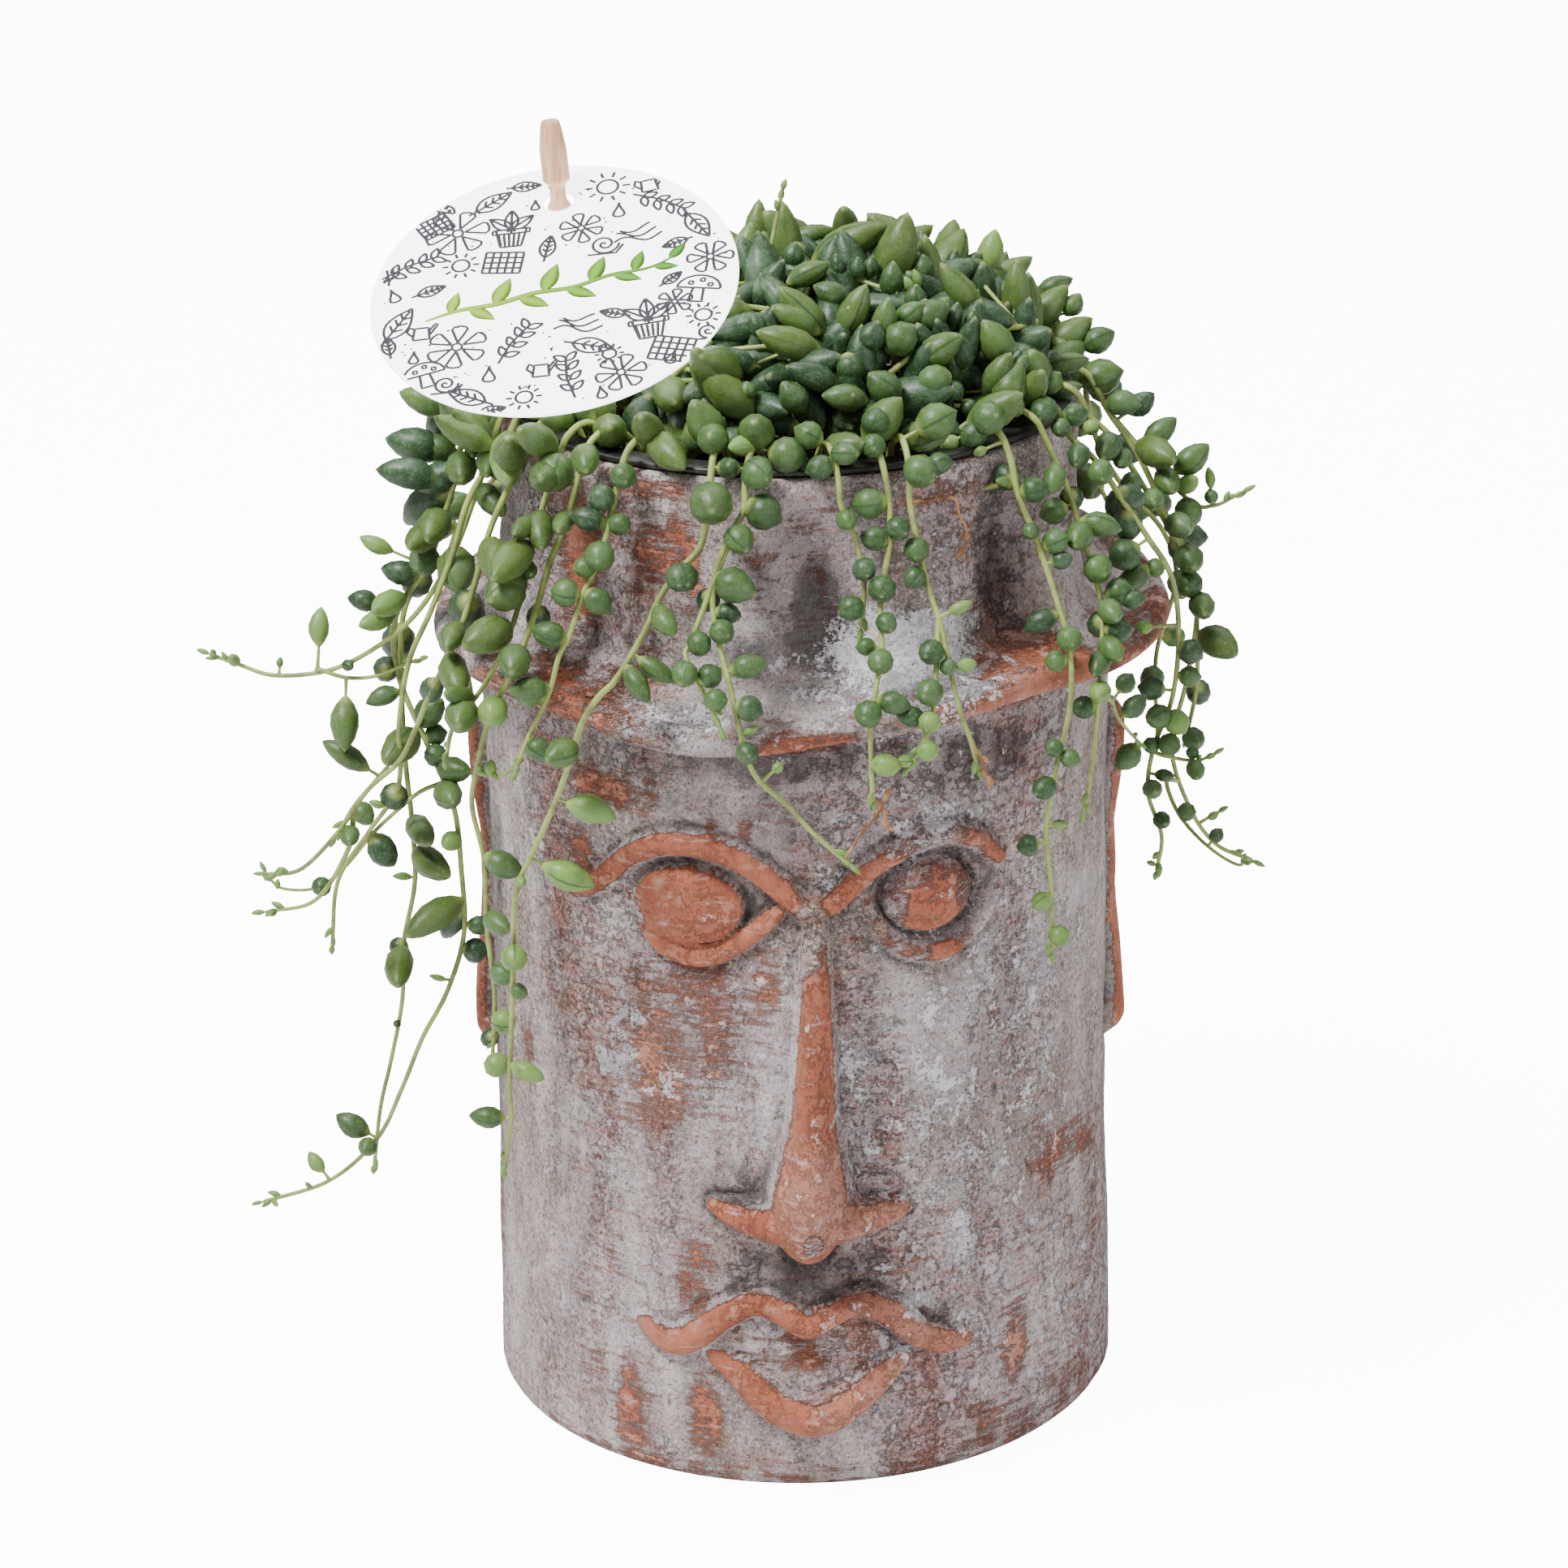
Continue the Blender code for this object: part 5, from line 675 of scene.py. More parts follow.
def liner_inner_radius(z):
    """Inner radius of the nursery pot at a height."""
    share = (z - LINER_FOOT) / (LINER_LIP_FOOT - LINER_FOOT)
    return LINER_FOOT_RADIUS - LINER_WALL + (LINER_TOP_RADIUS - LINER_FOOT_RADIUS) * share


def liner_profile():
    """Foot, wall, rolled lip and inside of the nursery pot."""
    floor_height = LINER_FOOT + LINER_WALL
    lip = LINER_LIP_TOP - LINER_LIP_FOOT
    middle, edge = (LINER_LIP_FOOT + LINER_LIP_TOP) / 2, LINER_LIP_RADIUS - lip / 2
    profile = [(0, LINER_FOOT), (LINER_FOOT_RADIUS - 1.5, LINER_FOOT), (LINER_FOOT_RADIUS, LINER_FOOT + 1.5)]
    profile += [(LINER_TOP_RADIUS, LINER_LIP_FOOT - 0.4), (LINER_TOP_RADIUS + 0.5, LINER_LIP_FOOT)]
    for angle in range(-90, 91, 30):
        turn = math.radians(angle)
        profile.append((edge + lip / 2 * math.cos(turn), middle + lip / 2 * math.sin(turn)))
    inner = liner_inner_radius(LINER_LIP_TOP)
    profile += [(inner + 0.8, LINER_LIP_TOP), (inner, LINER_LIP_TOP - 0.8)]
    return profile + [(liner_inner_radius(floor_height) - 0.5, floor_height), (0, floor_height)]


nursery_pot = turned("nursery_pot_skin", liner_profile(), LINER_SIDES)
drain_cutters = []
for i in range(DRAIN_HOLES):
    angle = 2 * math.pi * (i + 0.5) / DRAIN_HOLES
    cutter = turned("drain_cutter", ((0, -2), (DRAIN_HOLE_RADIUS, -2), (DRAIN_HOLE_RADIUS, 4), (0, 4)), 16)
    middle = Vector((DRAIN_HOLE_RING * math.cos(angle), DRAIN_HOLE_RING * math.sin(angle), LINER_FOOT))
    cutter.data.transform(Matrix.Translation(middle * MM))
    drain_cutters.append(cutter)
drilled(nursery_pot, drain_cutters)
nursery_plastic, liner_tree, liner_shader = new_material("nursery_plastic", 0.42, 0.4)
liner_dust = noise(liner_tree, object_place(liner_tree), 0.004, 5.0, 0.7)
liner_black = coated(liner_tree, (0.012, 0.012, 0.013), ((liner_dust, 0.5, 0.75, 1, (0.075, 0.066, 0.058)),))
liner_tree.links.new(liner_black, liner_shader.inputs["Base Color"])
nursery_pot.data.materials.append(nursery_plastic)
nursery_pot.data.shade_smooth()
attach(nursery_pot, "root")
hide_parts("nursery_pot")

# Potting soil fills the nursery pot to a finger below its lip. It is dark peat and bark with white grains
# of perlite, and the stems stand in it.
SOIL_TOP = 219.0
SOIL_GAP = 0.5
SOIL_FOOT = 138.5
SOIL_RINGS = 22
SOIL_SIDES = 72
SOIL_LUMP = 0.9


def make_soil_skin():
    """The soil's body with a lumpy top."""
    foot, brink = liner_inner_radius(SOIL_FOOT) - SOIL_GAP, liner_inner_radius(SOIL_TOP) - SOIL_GAP
    profile = [(0, SOIL_FOOT), (foot, SOIL_FOOT), (brink, SOIL_TOP - 0.6)]
    profile += [(brink * (1 - ring / SOIL_RINGS), SOIL_TOP) for ring in range(SOIL_RINGS)]
    skin = turned("soil_skin", profile + [(0, SOIL_TOP)], SOIL_SIDES)
    for vertex in skin.data.vertices:
        away = math.hypot(vertex.co.x, vertex.co.y) / MM
        if vertex.co.z / MM > SOIL_TOP - 0.5 and away < brink - 0.5:
            lump = noise_field.noise(vertex.co / MM * 0.35) + 0.5 * noise_field.noise(vertex.co / MM * 0.9)
            vertex.co.z += SOIL_LUMP * lump * MM
    return skin


def joined(tree, parts):
    """Several geometries as one."""
    join = tree.nodes.new("GeometryNodeJoinGeometry")
    for part in parts:
        tree.links.new(part.outputs[0] if isinstance(part, bpy.types.Node) else part, join.inputs[0])
    return join


def crumbs_tree():
    """Scatters grains over a surface and keeps the surface under them."""
    tree, given = geometry_tree("soil_crumbs", (
        ("Density", "NodeSocketFloat", 30000.0), ("Grain Size", "NodeSocketFloat", 0.0016),
        ("Seed", "NodeSocketInt", 4), ("Lowest", "NodeSocketFloat", 0.218),
        ("Finish", "NodeSocketMaterial", None)))
    facing, height = [add_node(tree, "ShaderNodeSeparateXYZ", {0: tree.nodes.new(kind)}).outputs["Z"]
                      for kind in ("GeometryNodeInputNormal", "GeometryNodeInputPosition")]
    upper = times(tree, add_math(tree, "GREATER_THAN", facing, 0.5),
                  add_math(tree, "GREATER_THAN", height, given["Lowest"]))
    scatter = add_node(tree, "GeometryNodeDistributePointsOnFaces", {
        "Mesh": given["Geometry"], "Selection": upper, "Density": given["Density"], "Seed": given["Seed"]})
    size = add_node(tree, "FunctionNodeRandomValue", {2: 0.4, 3: 1.2, "Seed": given["Seed"]}).outputs[1]
    spin = add_node(tree, "FunctionNodeRandomValue", {0: (0, 0, 0), 1: (6, 6, 6)}, data_type="FLOAT_VECTOR")
    grain = add_node(tree, "GeometryNodeMeshIcoSphere", {"Radius": 0.5, "Subdivisions": 1})
    size = times(tree, size, given["Grain Size"])
    grains = add_node(tree, "GeometryNodeInstanceOnPoints", {
        "Points": scatter, "Instance": grain, "Rotation": spin, "Scale": size})
    return end_tree(tree, joined(tree, (grains, given["Geometry"])), given["Finish"])


def potting_soil():
    """Dark peat with bark and scattered perlite."""
    made, tree, shader = new_material("potting_soil", 0.95, 0.2)
    place = object_place(tree)
    crumb = noise(tree, place, 0.002, 4.0, 0.7)
    perlite = noise(tree, place, 0.0024, 1.0, 0.4)
    colour = coated(tree, (0.018, 0.012, 0.008), (
        (crumb, 0.35, 0.7, 1, (0.085, 0.052, 0.03)), (perlite, 0.66, 0.70, 1, (0.62, 0.60, 0.56))))
    tree.links.new(colour, shader.inputs["Base Color"])
    add_bump(tree, shader, times(tree, crumb, 0.0008))
    return made


soil = grow(make_soil_skin(), crumbs_tree(), {"Finish": potting_soil()})
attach(soil, "root")
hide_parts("soil")

# Each trailing stem grows from the soil, bends over both rims and hangs down the hat and the face. Its beads
# are plump leaves on short stalks, with young ones at its end. One object is one stem with its forks.
EYE = np.array(CAMERA_PLACE) / MM
ROOT_DEPTH = 5.0
ROOT_RING = 48.5
RIM_REACH = 59.0
CARD_CENTRE = (-49.0, -14.0, 254.0)
CARD_RADIUS = 39.0
CARD_TILT = 26.1
CARD_ROLL = 6.7
BACK_PREFIX = "string_back"
LEFT_PREFIX = "string_left"
HANG_TOP = 176.0
HANG_RADIUS = 86.5
HANG_STEP = 16.0
RUN_OVER_BRIM = 55.0
LINE_STEP = 1.2
STEM_RADIUS = 0.8
BRANCH_RADIUS = 0.68
SHOOT_RADIUS = 0.55
DRIED_RADIUS = 0.42
STALK_RADIUS = 0.5
FIRST_BEAD = 37.0
BEAD_PITCH = 8.5
COLLAR_LEAVES = (17.0, 26.0)
LEFT_COLLAR = (14.0, 18.0, 22.0, 26.0, 31.0, 37.0)
DEPTH_COST = 0.12
TIP_BUDS = 3
PLUMP_SHARE = 0.78
BEAD_SIDES = 10
SIDE_GROWTH = ((-100, 1.15), (-80, 1.30), (-50, 1.30), (-36, 1.0), (58, 1.0), (72, 1.16))
BEAD_OUTLINE = (
    (0.0, 0.0), (0.02, 0.10), (0.13, 0.31), (0.32, 0.47), (0.55, 0.50), (0.77, 0.38), (0.90, 0.17),
    (1.0, 0.0))
LEAF_OUTLINE = (
    (0.0, 0.0), (0.02, 0.10), (0.15, 0.31), (0.34, 0.48), (0.54, 0.49), (0.76, 0.37), (0.92, 0.17),
    (1.0, 0.0))
# Each trailing stem: name, azimuth of its root in the soil, route from the rim on
STRINGS = (
    ("string_left_shoot", -70, ((-66, -25, 214), (-71, -25, 201), (-76, -25, 192), (-82, -23, 184),
     (-90, -20, 177), (-100, -16, 171), (-112, -13, 169), (-120, -11, 171), (-126, -10, 173))),
    ("string_left_side", -88, ((-71, -8, 216), (-74, -7, 204), (-78, -7, 193), (-84, -8, 181),
     (-85, -10, 166), (-85, -11, 150), (-84, -12, 134), (-84, -12, 120), (-87, -12, 106), (-88, -12, 92),
     (-91, -12, 78), (-94, -12, 66), (-96, -12, 52))),
    ("string_left_fork", -54, ((-62, -42, 212), (-66, -46, 200), (-70, -49, 189), (-76, -48, 177),
     (-80, -44, 167), (-84, -41, 159), (-91, -39, 152), (-98, -38, 142), (-106, -38, 134), (-113, -38, 133))),
    ("string_left_bend", -62, ((-67, -33, 215), (-71, -34, 203), (-76, -36, 191), (-81, -36, 180),
     (-84, -33, 165), (-85, -31, 150), (-92, -30, 139), (-99, -30, 128), (-101, -30, 113))),
    ("string_left_long", -79, ((-70, -17, 216), (-74, -17, 205), (-78, -16, 194), (-85, -15, 183),
     (-85, -17, 170), (-79, -21, 155), (-74, -23, 142), (-73, -22, 127), (-73, -22, 112), (-77, -23, 99),
     (-83, -24, 88), (-88, -24, 76), (-94, -24, 64), (-105, -24, 54), (-120, -24, 49))),
    ("string_left_short", -46, ((-53, -50, 212), (-56, -55, 200), (-60, -60, 190), (-65, -59, 181),
     (-71, -55, 172), (-73, -53, 164))),
    ("string_temple", -38, ((-46, -53, 216), (-50, -55, 207), (-53, -59, 198), (-57, -64, 189),
     (-63, -60, 176), (-66, -56, 165), (-68, -53, 154), (-66, -52, 141), (-66, -52, 126), (-65, -52, 110),
     (-66, -52, 95))),
    ("string_brow", -29, ((-36, -57, 222), (-38, -60, 214.5), (-40, -62, 209), (-43, -65, 203.5),
     (-45.7, -67.5, 196), (-48, -69, 192), (-50.3, -69.5, 184), (-55, -69, 174), (-58, -67, 166))),
    ("string_cheek", -15, ((-17, -65.5, 221), (-19, -67.5, 214), (-23, -69, 210), (-27, -70.5, 205),
     (-30, -73, 199), (-36, -77, 190), (-40, -77.5, 186), (-43.4, -76, 180), (-46, -75, 172),
     (-49, -72, 163), (-52.6, -69.5, 154), (-56, -66.5, 146), (-59, -64.5, 138), (-60, -62, 124),
     (-61, -61, 108), (-62, -61, 93), (-62, -60, 85), (-64, -58, 72))),
    ("string_forehead", -6, ((-10, -67, 221.5), (-13.5, -70.5, 216), (-15.6, -72.5, 211),
     (-16.4, -74.5, 206), (-16.2, -77, 201.5), (-14.8, -81, 195.7), (-13.4, -84, 190.8), (-12, -86, 184),
     (-10.3, -86.5, 176.5), (-8, -86, 171), (-2, -86, 165), (3, -86, 159), (10, -85, 152))),
    ("string_hat_short", 5, ((9.6, -66, 222), (12.2, -67.5, 216), (14, -70.5, 207.5),
     (13.4, -73.5, 198.5))),
    ("string_hat_left", 14, ((19.4, -64.5, 221), (19.2, -68, 213.7), (17.6, -71, 206.3),
     (17.2, -74.5, 201), (17.4, -78, 195), (16.4, -82, 191), (15.4, -84.5, 186), (14.7, -86, 181),
     (14.8, -86, 173), (15, -86, 166))),
    ("string_hat_right", 24, ((23.6, -62, 221), (24.8, -65, 214.8), (26, -67.5, 209),
     (27.5, -70, 204), (29.5, -74, 198.3), (31, -78.5, 191), (33.2, -80.5, 181.7), (34.9, -80.5, 176.7),
     (36.5, -79.5, 170))),
    ("string_right_eye", 40, ((46, -50, 219), (50, -53, 209), (54, -58, 197), (56, -62, 189),
     (56, -65, 178), (53, -68, 165), (51, -69, 152), (52, -69, 139), (52, -69, 125))),
    ("string_right_brow", 51, ((56, -42, 219), (60, -46, 207), (63, -51, 196), (63, -57, 187),
     (62, -60, 176), (61, -62, 165), (59, -64, 154))),
    ("string_right_side", 63, ((63, -36, 221), (69, -37, 212), (74, -36, 204), (79, -34, 195),
     (81, -31, 182), (80, -30, 167), (76, -30, 155), (75, -30, 145), (78, -30, 135), (77, -30, 127))),
    ("string_right_dense", 73, ((67, -22, 222), (74, -22, 211), (80, -20, 200), (85, -19, 188),
     (86, -19, 176), (86, -18, 164), (84, -18, 153))),
    ("string_right_far", 85, ((68, -5, 222), (74, -6, 213), (79, -6, 202), (83, -6, 192),
     (87, -6, 179), (85, -5, 161), (82, -5, 146), (86, -5, 132), (92, -5, 123), (100, -5, 119))),
)
# Side shoots: parent, where along it (0 to 1), route
FORKS = (
    ("string_left_fork", 0.84, ((-96, -34, 137), (-104, -31, 124), (-115, -30, 121))),
    ("string_forehead", 0.36, ((-20.5, -78, 199), (-22, -81, 195.5), (-18.5, -85, 189), (-15.5, -87, 183))),
    ("string_hat_right", 0.66, ((27.5, -83, 184.8), (25.8, -84.5, 179), (22.5, -85, 173))),
    ("string_right_far", 0.26, ((84, -8, 204), (90, -8, 202), (96, -8, 205))),
)
# Young side shoots, read on one upright plane: parent, the plane, X and Z there
YOUNG_SHOOTS = (
    ("string_left_shoot", -20, ((-102, 172.8), (-96, 170.7), (-89.3, 171), (-82.6, 173.7), (-80.2, 174.5))),
    ("string_left_long", -20, ((-80, 160), (-84, 155), (-90, 148), (-96, 141), (-100, 134))),
    ("string_left_long", -20, ((-81.3, 144.3), (-86, 140.5), (-92, 134.8), (-98.5, 127), (-105, 122.3),
                               (-112.6, 122.5), (-115.4, 126))),
    ("string_brow", -60, ((-57.1, 166), (-61.8, 162.5), (-64.7, 164))),
    ("string_right_eye", -35, ((37.7, 214.7), (41, 213.9), (45, 214.2))),
    ("string_right_side", -35, ((75.6, 156.3), (78.2, 155.2), (84.7, 154), (88.3, 155.5))),
    ("string_right_brow", -35, ((66.5, 168), (67.8, 164.5), (70.1, 161.2), (72.7, 158.2))),
    ("string_right_far", -35, ((78.5, 149.2), (80.8, 142.6), (84.7, 137.2), (89.6, 132.6), (94.1, 130),
                               (95.8, 131.1))),
)
# Dried brown shoots, read in the same way, and how many dried leaves each ends in
DRIED_SHOOTS = (
    ("string_hat_right", -58, ((32.3, 220.7), (33.7, 217.1), (35.1, 214.3), (35.1, 212.2), (34.9, 210.8),
                               (34.1, 209.4))),
    ("string_forehead", -76, ((9.6, 149.9), (11.1, 152.1), (12.8, 155.2), (14.2, 156.6), (16.5, 159.8),
                              (17.2, 161.6))),
    ("string_hat_left", -80, ((17.0, 163.0), (17.4, 160.6), (18.2, 158.4))),
    ("string_hat_right", -80, ((35.0, 177.0), (36.2, 173.8), (37.6, 171.0), (38.4, 168.8))),
)
# Stems round the back, which hang by a rule: azimuth and length past the rim
BACK_STRINGS = ((104, 92), (121, 70), (138, 118), (155, 84), (172, 130), (-170, 66), (-152, 108),
                (-135, 78), (-118, 96))
# Beads seen in the photograph, by the upright plane (its Y) they were read on: X and Z of the middle, length,
# width, and a tone where it differs: 1 young and light, -1 behind its stem and painted darker as shade
SEEN_BEADS = (
    (-78, ((5.4, 233.8, 6.5, 5.2), (10.6, 222.8, 5.5, 4.4), (15, 226.2, 7.6, 6.6), (16, 218.8, 6.2, 5.2),
        (14, 212.3, 5.4, 5), (17.5, 208.1, 6.2, 5.8), (11.2, 204.2, 6, 5.5), (18.2, 200.7, 6, 4.4),
        (14.1, 196, 4.4, 3.8), (20.8, 220.8, 6, 5), (17, 192.8, 6.6, 5.4), (14.4, 181.6, 6, 5.8),
        (19.6, 183.8, 7.4, 4.8), (18, 170.5, 6.4, 5, 1), (25.6, 232.6, 7, 6.4), (24.4, 216.2, 5.8, 5.4),
        (24, 210.4, 5.4, 4.9), (33, 204, 5.5, 2.6, 1), (27.2, 194.6, 6, 5.4), (30.6, 191.4, 4, 3.7),
        (34.4, 191.7, 4.2, 3, 1), (26.8, 186, 6.2, 5.8), (23, 181, 6.4, 4.6), (26.8, 179.5, 5, 4.7, 1),
        (26.4, 173.4, 5, 4.7, 1), (21.6, 171.4, 4, 2.8, 1), (-12.9, 234, 4.6, 4.4), (-7, 232.6, 7.6, 6.6),
        (-16.3, 226.7, 10.8, 9), (-5.8, 224.7, 8.4, 7.8), (-10.6, 218.9, 8, 6.2), (-22, 211.3, 6.6, 6.2),
        (-11.8, 209.5, 10, 7.4), (-17, 206.5, 7, 5, -1), (-13.5, 203.5, 6, 4.5, -1),
        (-14.7, 199.7, 5.6, 5.3), (-19.3, 197.2, 6.4, 5), (-9.6, 192.2, 8, 5), (-17.3, 190.4, 5.6, 5.2),
        (-22.4, 190.5, 7, 5.4), (-16.2, 185.2, 5.4, 4.8), (-9.5, 183.2, 6.2, 5.4),
        (-9.4, 178.6, 3.8, 1.8, 1), (-10.2, 173.6, 5.4, 4.8), (-4, 170.4, 2.8, 2.4, 1))),
    (-65, ((-34, 228.6, 6, 5.6), (-38.6, 224.2, 6, 5.6), (-35, 218.4, 5.4, 4.7),
        (-41.4, 219.8, 7.4, 4.8, -1), (-39.3, 211.8, 6.6, 6.2), (-42.3, 209.6, 5, 4),
        (-46.5, 204.2, 5, 4.8), (-39.8, 202.2, 6.6, 5.4), (-52, 199, 8, 4, -1), (-50, 195.4, 6, 4.4),
        (-54.5, 183.4, 7, 4), (-47.9, 229.7, 7, 6.6), (-41.3, 232, 9.6, 5.6), (-46.3, 219, 8.5, 3.4),
        (-50.8, 217.5, 9.5, 4.6), (-57, 210.8, 15, 5.8), (-53.5, 209, 5, 3), (-58.5, 203.6, 8.4, 5.8),
        (-57, 189.3, 8.8, 5.4), (-61, 195.5, 9, 5.4, -1), (-54, 218, 9, 3.6), (-57, 231.5, 12, 5.5, -1),
        (-23.2, 206.9, 7, 6), (-26.3, 197.8, 10, 5), (-28.3, 187.3, 9.4, 4.4), (-32.3, 184.2, 10, 4.6),
        (-25, 233.5, 15, 7))),
    (-60, ((-54.9, 181, 6, 4.4), (-62.4, 177, 6.2, 5, 1), (-53.2, 168.5, 5, 3.9), (-48.8, 167.7, 7.6, 4.8),
        (-42.9, 154.8, 9.6, 5.2, 1), (-48, 140.4, 9.4, 5, 1), (-61.4, 143.2, 7.2, 4.6),
        (-63.2, 164.7, 3.2, 2, 1), (-58, 139, 3, 2, 1))),
    (-25, ((-76, 233, 9.5, 5), (-70.2, 228.5, 14, 8, -1), (-78.5, 223.6, 10.5, 6, -1),
        (-73.8, 223, 6.6, 5.2), (-80.3, 217.2, 11, 5.6, -1), (-74.2, 216.2, 9.8, 5.8, -1),
        (-68.8, 218.2, 9, 5.4), (-76.4, 210.4, 14, 6.4, -1), (-75.1, 205.7, 9.8, 5.6),
        (-77.6, 203.4, 12, 5), (-87.7, 202.2, 6.4, 3, 1), (-77.8, 198.4, 6.4, 5.3),
        (-82.8, 196, 7, 4.4, -1), (-79.3, 193.3, 9, 5.4, -1), (-70.8, 196, 10, 6.6), (-62, 197.4, 14, 6),
        (-60.8, 191.6, 9.4, 6), (-59, 220.3, 14, 6, 1), (-66, 223.5, 7, 3.6), (-63.5, 219.5, 9, 4),
        (-63, 211.5, 8.5, 4.2), (-85.6, 188.8, 9.5, 4.6, 1), (-91, 189.5, 6, 4, -1), (-69, 187.5, 9, 6, -1),
        (-114, 118.8, 3.6, 1.6, 1), (-79, 116.8, 13, 5.4), (-74.9, 115.5, 10, 4, -1),
        (-86.9, 105.5, 13, 5.2), (-87.1, 110.2, 3.8, 3.6, -1), (-70.5, 109, 4.6, 4.4, -1),
        (-69.5, 114.7, 4.4, 3.4), (-65.5, 115.3, 7.5, 3.8), (-64.9, 103.4, 5, 4),
        (-62.2, 107.1, 4.8, 4.4, 1), (-61.2, 99.2, 3.6, 2.8), (-65, 92.1, 4.4, 4.2, 1),
        (-68, 87.9, 4.2, 3.2, -1), (-66.9, 81.6, 4.6, 4.4, 1), (-60.2, 80, 6.4, 3.4, 1),
        (-69.4, 69.3, 6.2, 3.8), (-99.1, 68, 7.6, 4.8), (-96.1, 62.5, 4.6, 3.8), (-107.6, 59, 5, 3, 1),
        (-88.2, 91.9, 2.2, 1.5), (-78.9, 102.8, 3.2, 1.2, 1), (-109.6, 53.4, 2.4, 1, 1),
        (-117.2, 49.2, 3.4, 1.2, 1))),
    (-20, ((-101, 182.3, 7.6, 4, 1), (-95.3, 173.4, 3.3, 2.3), (-109.9, 174.4, 2.2, 1.4, 1),
        (-119.6, 175.1, 4.6, 2.4, 1), (-124, 176.8, 3, 1.3, 1), (-87, 172.5, 6.3, 4.6, -1),
        (-88.3, 166.1, 6.5, 3.6), (-96.7, 160.2, 10.5, 5.5), (-96.9, 152.9, 10.5, 4.4),
        (-85.2, 154.5, 13, 5.8), (-77.3, 157.4, 4, 3.9), (-87, 143.2, 5.2, 5, -1), (-93.7, 139.4, 5.6, 4.3),
        (-90.8, 141.6, 3, 1.6, 1), (-96.7, 134.3, 7, 3.8), (-89.8, 130.9, 7.6, 5.4, -1),
        (-81.5, 135, 11.5, 4.6), (-79.4, 127.7, 11.5, 5.2), (-75, 132.4, 5, 3.5, 1),
        (-103.7, 122.6, 4, 3.9), (-112.4, 126.2, 2.8, 1.8, 1), (-86, 124.6, 3.6, 1.5, 1),
        (-69, 184.4, 11, 6, -1), (-72.6, 179.4, 9.5, 4), (-65.5, 179.4, 11, 6), (-72.6, 170.8, 12, 5),
        (-77.6, 167.5, 7, 4, -1), (-72, 166, 8, 3.5), (-78.2, 162.4, 7, 5), (-71.3, 161.3, 9.5, 5.6),
        (-73.7, 149.2, 8, 4.6), (-77.6, 152.6, 4, 4), (-74.9, 143.5, 9, 5), (-88.5, 184, 9, 4, 1),
        (-84, 178.5, 12, 6, -1))),
    (-35, ((40.9, 230.5, 7.6, 7.2), (46.1, 232.8, 5.1, 4.4), (52.2, 231.8, 7.5, 6), (58.7, 230.9, 6, 5),
        (55.7, 228.1, 4.6, 4.3), (61.9, 228, 3.8, 3.5, 1), (38.7, 227.3, 5, 4.2), (39, 223.3, 3.2, 2.2, 1),
        (44.4, 217.8, 7, 6, -1), (43.7, 216.7, 4.5, 2.2, 1), (50.3, 214.9, 6.2, 5.6),
        (54.2, 217.2, 8.4, 4.8), (58, 212.8, 6.2, 5.2, -1), (54.2, 210, 6.4, 5.8), (49.5, 205.7, 4.3, 3.7),
        (54.7, 203.4, 6, 5.8), (59.2, 204.5, 8.5, 6), (64, 206.8, 8.6, 5.2), (56, 199.3, 5, 4, -1),
        (59.1, 222.1, 7.5, 5), (65.3, 223.6, 8.6, 5.6), (68.2, 221.1, 6.4, 4), (64, 218.3, 6, 5.4),
        (70.4, 215.7, 5.2, 4.2), (70, 212.6, 8, 5, -1), (74.6, 212.3, 6.6, 4.2),
        (69.6, 206.8, 8.6, 5.6, -1), (69, 200.2, 6.8, 6.2), (63.6, 197.2, 6.2, 6), (70.8, 195.1, 7.6, 4.6),
        (68, 192.2, 5.5, 5.2), (71, 190.3, 5, 3.4), (66, 187.6, 7.4, 4.8), (68, 183.6, 5.4, 5, -1),
        (64.3, 185, 6, 5.6, -1), (66.6, 179.2, 7.6, 4.6), (63.7, 176.4, 8, 4.4), (57.7, 181.8, 5.6, 5.4),
        (54.8, 177, 5, 4.8), (51.8, 185.7, 8, 5, -1), (73, 184.1, 3.8, 2.8, 1), (75.6, 197.3, 3.7, 3.6),
        (82.3, 198.9, 7.6, 5.6), (80.4, 201.3, 8.8, 4.8, -1), (80.3, 206.2, 7.8, 5),
        (82.3, 209.1, 6.6, 5.4), (82, 215.6, 5.6, 3.6, 1), (77.6, 216, 8.6, 4.8), (75.3, 222.4, 12, 6),
        (82.8, 221, 8.4, 5.4), (76.2, 227, 8, 4.6), (68.5, 232.9, 7.4, 5.2), (72.1, 233.1, 6.4, 4.6, -1),
        (86.6, 216.7, 4.3, 2, 1), (87, 212.7, 3.1, 2.8), (91.3, 212.5, 2.9, 1.2, 1), (82.7, 193.5, 6, 5.2),
        (82.1, 196, 3.2, 2, 1), (85.1, 188.5, 9, 5), (88.8, 180.1, 10.4, 6.2), (83.3, 178.5, 5.2, 4.8, -1),
        (83.1, 173, 4.6, 4), (84.6, 169.4, 8.4, 4.8, -1), (75, 170.5, 5.4, 4.6, -1),
        (69.6, 171.8, 4.4, 3.8), (71.4, 166.7, 6, 4), (76.3, 163.9, 6.2, 4.8), (80.5, 162.7, 5.6, 4.8, 1),
        (84.1, 159, 5.6, 4.4), (79, 157.9, 4.8, 4.4), (75.1, 157.6, 3.5, 3.3), (83.9, 155.9, 2.7, 2.6),
        (70.1, 155.2, 6.4, 4.8), (84.4, 151.9, 5.4, 3.6), (78, 150.8, 4, 2.6), (75.3, 147.5, 6, 3.8),
        (77.4, 140.4, 4.6, 3.4), (82.9, 142.4, 4, 3.7), (89.3, 136.9, 3.4, 2.9), (88.5, 141.5, 2.7, 1.7, 1),
